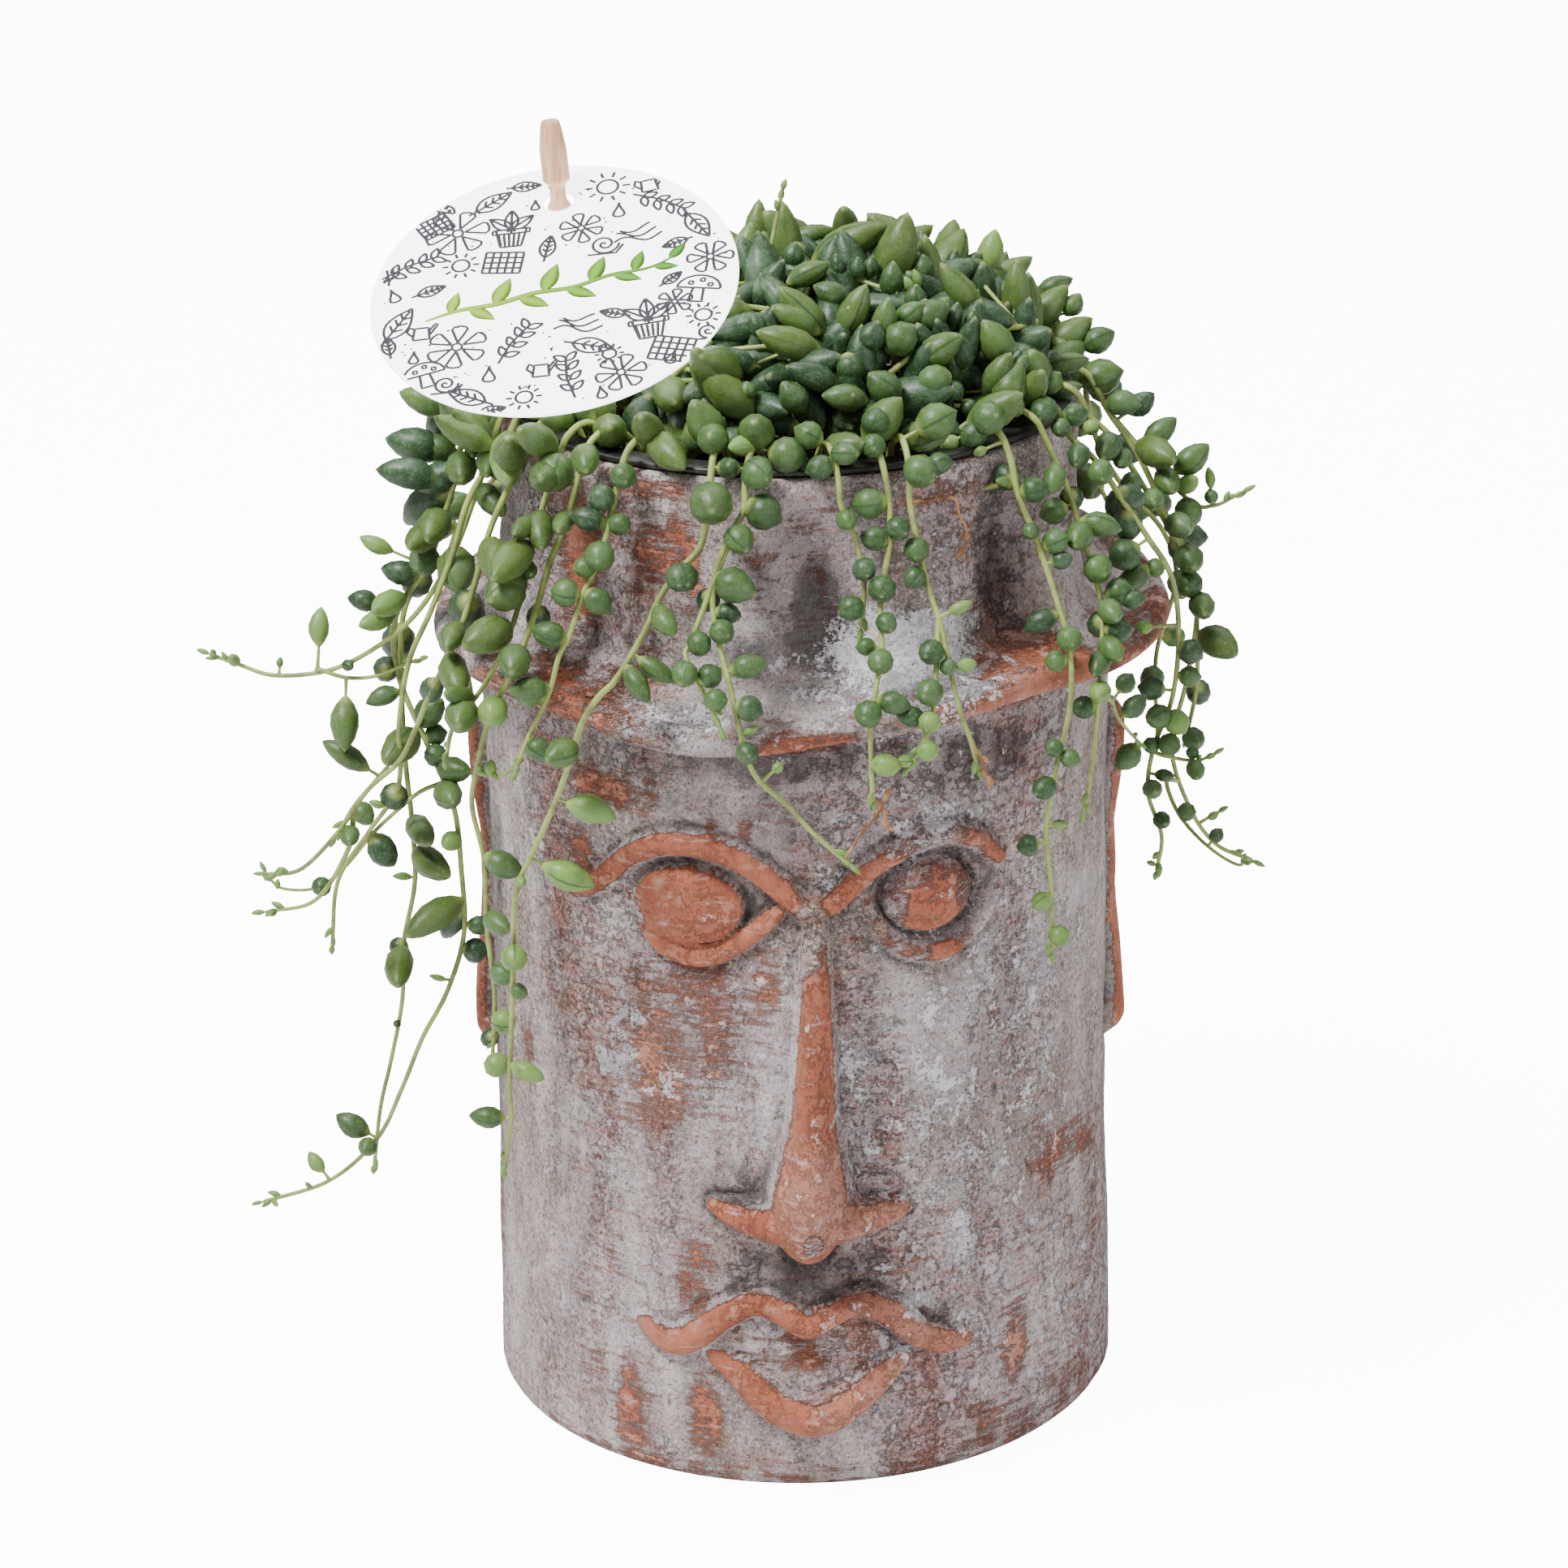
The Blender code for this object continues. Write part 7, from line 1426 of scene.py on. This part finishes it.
def heaped_leaves(count, depth, tone, sizes, shown_behind):
    """Leaves that fill the mound at a share of its size, untidily."""
    grown = []
    for i in range(count):
        draw = random.Random(f"heap {depth} {i}")
        place, out = mound_place(1 - 0.98 * (i + 0.5) / count, i * GOLDEN_TURN + draw.gauss(0, 0.15),
                                 depth + draw.uniform(-0.1, 0.05))
        if shown_behind and out[1] < -0.12 and place[0] > -12:
            continue
        lean = np.array([draw.gauss(0, 0.75) for _ in range(3)])
        direction = unit(out * 0.8 + lean + np.array((0, 0, 0.25)))
        length = draw.uniform(*sizes)
        width = length * draw.uniform(0.36, 0.5)
        foot = place - direction * length * 0.4
        grown.append(bead(place - out * length, foot, direction, length, width, tone, draw))
    return grown


def tangle_lines():
    """Old stems that wind through the heap."""
    lines = []
    for i in range(TANGLE_STEMS):
        draw = random.Random(f"tangle {i}")
        rise, turn = draw.uniform(0.1, 0.95), draw.uniform(0, 2 * math.pi)
        depth = draw.uniform(0.74, 0.93)
        knots = []
        for step in range(5):
            knots.append(tuple(mound_place(rise, turn, depth)[0]))
            rise = min(0.98, max(0.02, rise + draw.uniform(-0.22, 0.18)))
            turn += draw.choice((-1, 1)) * draw.uniform(0.12, 0.4)
            depth = min(0.97, max(0.7, depth + draw.uniform(-0.08, 0.08)))
        lines.append((smooth_line(knots, 3.0), BRANCH_RADIUS, 0.0))
    return lines


sprout = smooth_line(SPROUT, LINE_STEP)
crown_leaves = [seen_leaf(*leaf) for leaf in SEEN_LEAVES]
# The inner leaves get tone -1: painted shade for the depth of the heap.
crown_leaves += heaped_leaves(INNER_LEAVES, 0.84, -1, (13.5, 19.0), False)
crown_leaves += heaped_leaves(OUTER_LEAVES, 0.96, 0, (14.5, 20.5), True)
crown_leaves += tip_buds("sprout", sprout)
crown_lines = tangle_lines() + [(sprout, BRANCH_RADIUS, 0.0)]
crown = grow(plant_points("crown_skin", crown_lines, clear_of_card(crown_leaves)), plant_tree, plant_inputs)
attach(crown, "root")
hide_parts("crown")
for form in (bead_form, leaf_form):
    bpy.data.objects.remove(form)

# The label is a round die-cut disc of stiff white card, printed in grey line drawings of garden things
# round a green brushed vine. It has a punched hole near its upper edge, through which the peg holds it.
CARD_THICKNESS = 0.6
CARD_HOLE = (0.5, 27.6)
CARD_HOLE_RADIUS = 3.3
CARD_SIDES = 128
CARD_EDGE = 0.12
INK_RADIUS = 0.31
INK_LIFT = 0.02
PEN_STEP = 0.6
DRAWING_SCALE = 1.16
PRINT_MARGIN = 0.5
PRINT_SIDES = 4
VINE_RADIUS = 0.75
# Drawings on the card: kind, X and Y of the middle, size, turn in degrees
DRAWINGS = (
    ("daisy", -21, 20.5, 6.4, 10), ("leaf", -13.5, 29.5, 8.0, 35), ("sun", 11, 30.5, 4.4, 0),
    ("sprig", 22, 24, 11.0, -30), ("drop", 13.5, 22.5, 3.6, 0), ("pot", -9.5, 20, 9.5, 0),
    ("daisy", 5.5, 18.0, 4.4, 40), ("leaf", 30.5, 15, 8.0, -60), ("sprig", -31, 11, 11.0, 25),
    ("leaf", -1.5, 13.2, 6.0, 80), ("sun", -20, 10.0, 3.6, 0), ("breeze", 17.5, 14.5, 9.0, 8),
    ("drop", -34, 2.5, 3.4, 20), ("daisy", 33, 4.5, 4.6, 0), ("mushroom", 30.5, -5, 8.0, -12),
    ("leaf", -32.5, -6.5, 9.0, 60), ("pot", 20, -13, 10.0, 6), ("sprig", -8, -16.5, 11.0, 60),
    ("daisy", -20, -15.5, 6.0, 25), ("breeze", 5.5, -12, 9.0, -6), ("sun", 31.5, -13.5, 3.4, 0),
    ("leaf", 8.5, -19.5, 8.0, -20), ("mushroom", -26.5, -23, 7.5, 14), ("drop", -13, -25, 3.8, 0),
    ("daisy", 14.5, -28.5, 5.0, 15), ("leaf", -17.5, -31, 8.0, 150), ("sprig", 4, -28.5, 11.0, 100),
    ("sun", -5.5, -33, 3.4, 0), ("drop", 25, -25.5, 3.2, -20), ("leaf", -6.5, 33.5, 5.5, 0),
    ("drop", 10.5, -34, 3.0, 10), ("leaf", -34.5, -13, 5.0, 100), ("drop", -4.5, 27, 2.6, 0),
    ("leaf", 25.5, 10, 5.0, 200), ("mushroom", -24.5, 28, 4.5, -20), ("leaf", -26, 3, 5.5, 20),
    ("daisy", 25.5, -8.5, 3.6, 20), ("sun", 12, -22.5, 2.8, 0), ("leaf", -12, -36, 5.0, 10),
    ("drop", -29, -17.5, 3.0, 0), ("breeze", -35, 9, 5.0, 70), ("leaf", 12.5, -10, 5.0, 160),
    ("trellis", -11, 9.5, 7.0, -8), ("snail", 10.5, 11.5, 4.4, 0), ("can", -27.5, -9.8, 5.6, 0),
    ("can", 20, 30, 5.6, 10), ("trellis", -26, 23.5, 6.0, 30), ("snail", 32.5, -19, 3.4, 0),
    ("trellis", 25, -23, 7.5, -16), ("can", -2, -25, 5.5, 0), ("snail", -22, -27, 3.8, 0),
    ("leaf", 25, -1, 4.5, 40))
SPECKS = 260
SPECK_RADIUS = 0.28
SPECK_REACH = 37.0
VINE_CLEAR = (28, 9)
HOLE_CLEAR = 5
DRAWING_CLEAR = 0.55
# The green branch across the middle: its line as X, Y and share of full width, and its filled leaves as the
# place along it (0 to 1), length and turn in degrees
VINE = ((-27, -6.5, 0.4), (-20, -4.2, 0.8), (-12, -3.4, 1.0), (-4, -1.2, 1.0), (4, -0.6, 0.9), (12, 2.0, 0.8),
        (20, 3.0, 0.6), (26, 6.2, 0.3))
VINE_LEAVES = (
    (0.10, 6.5, 75), (0.18, 7.0, -38), (0.28, 8.5, 68), (0.37, 7.5, -30), (0.47, 8.8, 72), (0.56, 7.4, -28),
    (0.65, 8.0, 70), (0.74, 6.6, -22), (0.82, 6.4, 74), (0.90, 5.4, -8), (0.97, 5.6, 52))


def moved(line, angle, x=0.0, y=0.0):
    """A drawn line turned by an angle in degrees and then moved."""
    turn = math.radians(angle)
    across, up = math.cos(turn), math.sin(turn)
    return [(x + u * across - v * up, y + u * up + v * across) for u, v in line]


def ring_of(x, y, radius, count=14):
    """A drawn circle."""
    return [(x + radius * math.cos(2 * math.pi * i / count), y + radius * math.sin(2 * math.pi * i / count))
            for i in range(count + 1)]


def pen_leaf(size):
    """A leaf along X with its midrib and veins."""
    lines = [[(size * t, side * size * 0.24 * math.sin(math.pi * t ** 0.8)) for t in np.linspace(0, 1, 9)]
             for side in (-1, 1)]
    lines.append([(-0.2 * size, 0), (size * 0.92, 0)])
    for t in (0.25, 0.45, 0.65):
        for side in (-1, 1):
            lines.append([(size * t, 0), (size * (t + 0.14), side * size * 0.15)])
    return [[(x - size / 2, y) for x, y in line] for line in lines]


def pen_daisy(size):
    """A flower of six open petals."""
    petal = []
    for turn in np.linspace(-1, 1, 9):
        along = size * (0.2 + 0.72 * math.cos(turn * math.pi / 2) ** 0.6)
        petal.append((along, size * 0.24 * math.sin(turn * math.pi)))
    return [ring_of(0, 0, size * 0.16, 8)] + [moved(petal, 60 * i) for i in range(6)]


def pen_sprig(size):
    """A stem with paired leaves."""
    lines = [[(-size / 2, 0), (0, size * 0.06), (size / 2, 0)]]
    leaf = [[(x + size * 0.13, y) for x, y in line] for line in pen_leaf(size * 0.26)[:2]]
    for t in (-0.3, -0.05, 0.2, 0.42):
        lines += [moved(line, side * 48, size * t) for side in (-1, 1) for line in leaf]
    return lines


def pen_sun(size):
    """A ring with ten rays."""
    ray = [(size * 0.62, 0), (size * 0.95, 0)]
    return [ring_of(0, 0, size * 0.45)] + [moved(ray, 36 * i) for i in range(10)]


def pen_drop(size):
    """A falling drop."""
    return [[(size * 0.38 * math.sin(2 * math.pi * t) * math.sin(math.pi * t),
              size * (0.6 - 1.1 * math.sin(math.pi * t))) for t in np.linspace(0, 1, 17)]]


def pen_pot(size):
    """A flower pot with three leaves."""
    wall = ((-0.3, 0), (-0.2, -0.5), (0.2, -0.5), (0.3, 0))
    collar = ((-0.36, 0), (0.36, 0), (0.36, -0.12), (-0.36, -0.12), (-0.36, 0))
    lines = [[(x * size, y * size) for x, y in line] for line in (wall, collar)]
    leaf = [[(x + 0.28 * size, y) for x, y in line] for line in pen_leaf(0.55 * size)[:3]]
    lines += [moved(line, angle) for angle in (40, 90, 140) for line in leaf]
    for i in range(5):
        lines.append([((-0.24 + 0.1 * i) * size, -0.15 * size), ((-0.19 + 0.08 * i) * size, -0.47 * size)])
    return lines


def pen_mushroom(size):
    """A spotted mushroom."""
    cap = [(0.5 * size * math.cos(a), 0.42 * size * math.sin(a)) for a in np.linspace(0, math.pi, 13)]
    foot = [(size * x, size * y) for x, y in ((-0.12, 0), (-0.16, -0.45), (0.16, -0.45), (0.12, 0))]
    spots = [ring_of(x * size, y * size, 0.06 * size, 6)
             for x, y in ((-0.2, 0.16), (0.05, 0.27), (0.25, 0.13))]
    return [cap + [cap[0]], foot] + spots


def pen_breeze(size):
    """Three waves of wind."""
    return [[(size * (t - 0.5), size * (0.1 * math.sin(7 * t + row) + 0.16 * row - 0.16))
             for t in np.linspace(0.08 * row, 1 - 0.1 * row, 13)] for row in range(3)]


def pen_trellis(size):
    """A slatted frame."""
    slats = [[(size * t, -size * 0.4), (size * t, size * 0.4)] for t in np.linspace(-0.5, 0.5, 6)]
    return slats + [[(-size * 0.5, size * t), (size * 0.5, size * t)] for t in np.linspace(-0.4, 0.4, 5)]


def pen_can(size):
    """A watering can."""
    body = [(-0.3, -0.35), (0.25, -0.35), (0.2, 0.2), (-0.25, 0.2), (-0.3, -0.35)]
    spout = [(0.22, -0.2), (0.5, 0.3), (0.42, 0.36), (0.2, 0.0)]
    handle = [(-0.28, -0.2), (-0.5, 0.05), (-0.42, 0.28), (-0.25, 0.15)]
    return [[(size * x, size * y) for x, y in line] for line in (body, spout, handle)]


def pen_snail(size):
    """A coiled shell on its foot."""
    coil = [(size * 0.1 * a * math.cos(a) * 0.5, size * (0.1 * a * math.sin(a) * 0.5 + 0.1))
            for a in np.linspace(0, 4 * math.pi, 40)]
    return [coil, [(-0.7 * size, -0.5 * size), (0.5 * size, -0.5 * size), (0.8 * size, 0.0)]]


PENS = {"leaf": pen_leaf, "daisy": pen_daisy, "sprig": pen_sprig, "sun": pen_sun, "drop": pen_drop,
        "pot": pen_pot, "mushroom": pen_mushroom, "breeze": pen_breeze, "trellis": pen_trellis,
        "can": pen_can, "snail": pen_snail}


def on_card(line):
    """The runs of a pen line that lie on the card, clear of its edge and its hole."""
    points = []
    for start, end in zip(line, line[1:]):
        steps = max(1, round(math.dist(start, end) / PEN_STEP))
        points += [(start[0] + (end[0] - start[0]) * i / steps, start[1] + (end[1] - start[1]) * i / steps)
                   for i in range(steps)]
    runs = [[]]
    for point in points + [line[-1]]:
        clear_of_hole = math.dist(point, CARD_HOLE) > CARD_HOLE_RADIUS + PRINT_MARGIN
        if clear_of_hole and math.hypot(*point) < CARD_RADIUS - PRINT_MARGIN:
            runs[-1].append(point)
        elif runs[-1]:
            runs.append([])
    return [run for run in runs if len(run) > 1]


def card_print():
    """Every printed line: its points on the card, the half width at each, and whether it is green."""
    printed = []
    for kind, x, y, size, angle in DRAWINGS:
        for line in PENS[kind](size * DRAWING_SCALE):
            printed += [(run, [INK_RADIUS] * len(run), 0.0) for run in on_card(moved(line, angle, x, y))]
    vine = smooth_line(VINE, 0.5)
    printed.append(([(x, y) for x, y, share in vine], [VINE_RADIUS * share for x, y, share in vine], 1.0))
    steps = np.linspace(0, 1, 10)
    for place, size, angle in VINE_LEAVES:
        x, y, share = vine[int(place * (len(vine) - 1))]
        spine = moved([(size * t, 0) for t in steps], angle, x, y)
        printed.append((spine, [0.1 + size * 0.21 * math.sin(math.pi * t ** 0.8) for t in steps], 1.0))
    draw = random.Random("specks")
    for _ in range(SPECKS):
        away, turn = SPECK_REACH * math.sqrt(draw.random()), draw.uniform(0, 2 * math.pi)
        x, y = away * math.cos(turn), away * math.sin(turn)
        on_vine = abs(x) < VINE_CLEAR[0] and abs(y - 1) < VINE_CLEAR[1]
        on_drawing = any(math.hypot(x - a, y - b) < size * DRAWING_CLEAR for _, a, b, size, angle in DRAWINGS)
        if on_vine or on_drawing or math.hypot(x, y - CARD_HOLE[1]) < HOLE_CLEAR:
            continue
        radius = SPECK_RADIUS * draw.uniform(0.5, 1.1)
        dot = [(x - radius, y), (x, y), (x + radius, y)]
        printed.append((dot, [radius * 0.7, radius, radius * 0.7], 0.0))
    return printed


def print_tree():
    """Flat strokes of printing ink along edges."""
    tree, given = geometry_tree("printed_lines", (
        ("Flatness", "NodeSocketFloat", 0.08), ("Ink", "NodeSocketMaterial", None)))
    strokes = stroked(tree, given["Geometry"], PRINT_SIDES)
    flatten = add_node(tree, "ShaderNodeCombineXYZ", {0: 1.0, 1: 1.0, 2: given["Flatness"]})
    flat = add_node(tree, "GeometryNodeTransform", {"Geometry": strokes, "Scale": flatten})
    return end_tree(tree, flat, given["Ink"])


def printing_ink():
    """Grey drawing ink, and a green that deepens along the vine."""
    made, tree, shader = new_material("printing_ink", 0.6, 0.3)
    vine = coated(tree, (0.36, 0.60, 0.03), ((kept(tree, "along"), 0, 1, 1, (0.06, 0.27, 0.02)),))
    colour = mix_colour(tree, kept(tree, "green"), (0.045, 0.045, 0.055), vine)
    tree.links.new(colour, shader.inputs["Base Color"])
    return made


half_card = CARD_THICKNESS / 2
flat_radius, edge = CARD_RADIUS - CARD_EDGE, half_card - CARD_EDGE
card = turned("card_disc", ((0, -half_card), (flat_radius, -half_card), (CARD_RADIUS, -edge),
                            (CARD_RADIUS, edge), (flat_radius, half_card), (0, half_card)), CARD_SIDES)
hole_cutter = turned("hole_cutter", ((0, -3), (CARD_HOLE_RADIUS, -3), (CARD_HOLE_RADIUS, 3), (0, 3)), 40)
hole_cutter.data.transform(Matrix.Translation(Vector((*CARD_HOLE, 0)) * MM))
drilled(card, [hole_cutter])
card.data.shade_flat()
white_card, _, card_shader = new_material("white_card", 0.55, 0.35)
card_shader.inputs["Base Color"].default_value = (0.93, 0.93, 0.94, 1)
# The card glows white: painted light that makes it look brighter than its lamps would light it.
card_shader.inputs["Emission Color"].default_value = (1.0, 1.0, 1.0, 1)
card_shader.inputs["Emission Strength"].default_value = 4.0
card.data.materials.append(white_card)
card.data.transform(card_place())
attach(card, "root")
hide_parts("label_card")

strokes = card_print()
stroke_points, stroke_edges = joined_lines([line for line, widths, green in strokes])
card_drawing = drawn_object("card_print", [(x, y, 0.0) for x, y in stroke_points], stroke_edges, {
    "thick": [width * MM for line, widths, green in strokes for width in widths],
    "green": [green for line, widths, green in strokes for point in line],
    "along": [(x + CARD_RADIUS) / (2 * CARD_RADIUS) for x, y in stroke_points]})
grow(card_drawing, print_tree(), {"Ink": printing_ink()})
card_drawing.data.transform(card_place() @ Matrix.Translation((0, 0, (half_card + INK_LIFT) * MM)))
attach(card_drawing, "root")

# The peg is turned from a pale beech stick: a head with eight flats, a neck, a collar that sits in the card's
# hole, and a long pointed shank pushed into the soil.
PEG_TOP = 284.0
PEG_LEAN = 4.4
PEG_SIDES = 64
PEG_PROFILE = (
    (0.0, 0.0), (1.0, 0.4), (1.6, 2.0), (2.1, 3.6), (2.2, 50.0), (2.2, 60.6), (2.4, 61.2), (2.5, 61.8),
    (2.5, 62.6), (2.2, 63.2), (1.75, 64.0), (1.7, 65.8), (1.7, 67.2), (2.3, 67.6), (2.85, 68.2),
    (3.0, 68.8), (3.05, 70.0), (3.05, 74.4), (2.95, 75.2), (2.5, 78.0), (2.1, 80.4), (1.9, 80.9),
    (1.6, 81.15), (0.0, 81.2))
PEG_FLATS = (69.2, 78.5)
PEG_FLATS_ROUND = 8
PEG_FLAT_TURN = 0.2
PEG_FLAT_REACH = 2.78


def peg_place():
    """The peg leans a little, and its collar sits in the card's hole."""
    lean = Matrix.Rotation(-math.radians(PEG_LEAN), 4, "Y")
    axis = lean @ Vector((0, 0, 1))
    hole = card_place() @ (Vector((*CARD_HOLE, 0)) * MM) / MM
    foot = hole + axis * ((PEG_TOP - hole.z) / axis.z - PEG_PROFILE[-1][1])
    return Matrix.Translation(foot * MM) @ lean


def flattened(radius, height, angle):
    """Radius of the peg's head where its flats are cut."""
    if not PEG_FLATS[0] < height < PEG_FLATS[1]:
        return radius
    turn = (angle + PEG_FLAT_TURN) % (2 * math.pi / PEG_FLATS_ROUND) - math.pi / PEG_FLATS_ROUND
    return min(radius, PEG_FLAT_REACH / math.cos(turn))


def turned_beech():
    """Pale wood with fine pores along the grain."""
    made, tree, shader = new_material("turned_beech", 0.55, 0.35)
    drawn = object_place(tree, (1, 1, 0.08))
    grain = noise(tree, drawn, 0.0012, 3.0, 0.6)
    pore = noise(tree, drawn, 0.0004, 2.0, 0.6)
    colour = coated(tree, (0.82, 0.52, 0.33), (
        (grain, 0.35, 0.65, 1, (0.62, 0.33, 0.18)), (pore, 0.58, 0.70, 0.5, (0.32, 0.15, 0.07))))
    tree.links.new(colour, shader.inputs["Base Color"])
    add_bump(tree, shader, times(tree, pore, 0.0001))
    return made


peg = turned("peg_skin", PEG_PROFILE, PEG_SIDES, flattened)
peg.data.transform(peg_place())
peg.data.materials.append(turned_beech())
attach(peg, "root")
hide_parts("wooden_peg")

# The photographer's sweep: a plain pale floor that the planter stands on, lit by large soft lamps.
FLOOR_SIZE = 30.0
FLOOR_GLOW = 12.0
floor = in_scene("floor", bpy.data.meshes.new("floor"))
corners = [(x * FLOOR_SIZE / 2, y * FLOOR_SIZE / 2, 0) for x, y in ((-1, -1), (1, -1), (1, 1), (-1, 1))]
floor.data.from_pydata(corners, [], [(0, 1, 2, 3)])
floor_paint, floor_tree, floor_shader = new_material("pale_floor", 0.9, 0.1)
floor_shader.inputs["Base Color"].default_value = (0.92, 0.92, 0.92, 1)
seen_straight = floor_tree.nodes.new("ShaderNodeLightPath").outputs["Is Camera Ray"]
floor_glow = times(floor_tree, seen_straight, FLOOR_GLOW)
floor_shader.inputs["Emission Color"].default_value = (1.0, 1.0, 1.0, 1)
floor_tree.links.new(floor_glow, floor_shader.inputs["Emission Strength"])
floor.data.materials.append(floor_paint)

world = bpy.data.worlds.new("studio")
world.use_nodes = True
world.node_tree.nodes["Background"].inputs["Color"].default_value = (1.0, 1.0, 1.0, 1)
world.node_tree.nodes["Background"].inputs["Strength"].default_value = 0.45
bpy.context.scene.world = world


def soft_lamp(name, place, aim, size, power):
    """A square soft lamp that looks at a place."""
    lamp = bpy.data.lights.new(name, "AREA")
    lamp.size = size
    lamp.energy = power
    holder = in_scene(name, lamp)
    holder.location = place
    holder.rotation_euler = (Vector(aim) - Vector(place)).to_track_quat("-Z", "Y").to_euler()


soft_lamp("key_lamp", (-0.55, -0.42, 1.25), (0, 0, 0.12), 0.32, 27.0)
soft_lamp("fill_lamp", (0.95, -0.80, 0.55), (0, 0, 0.12), 0.7, 4.0)
soft_lamp("top_lamp", (0.1, 0.35, 1.1), (0, 0, 0.12), 0.8, 6.5)
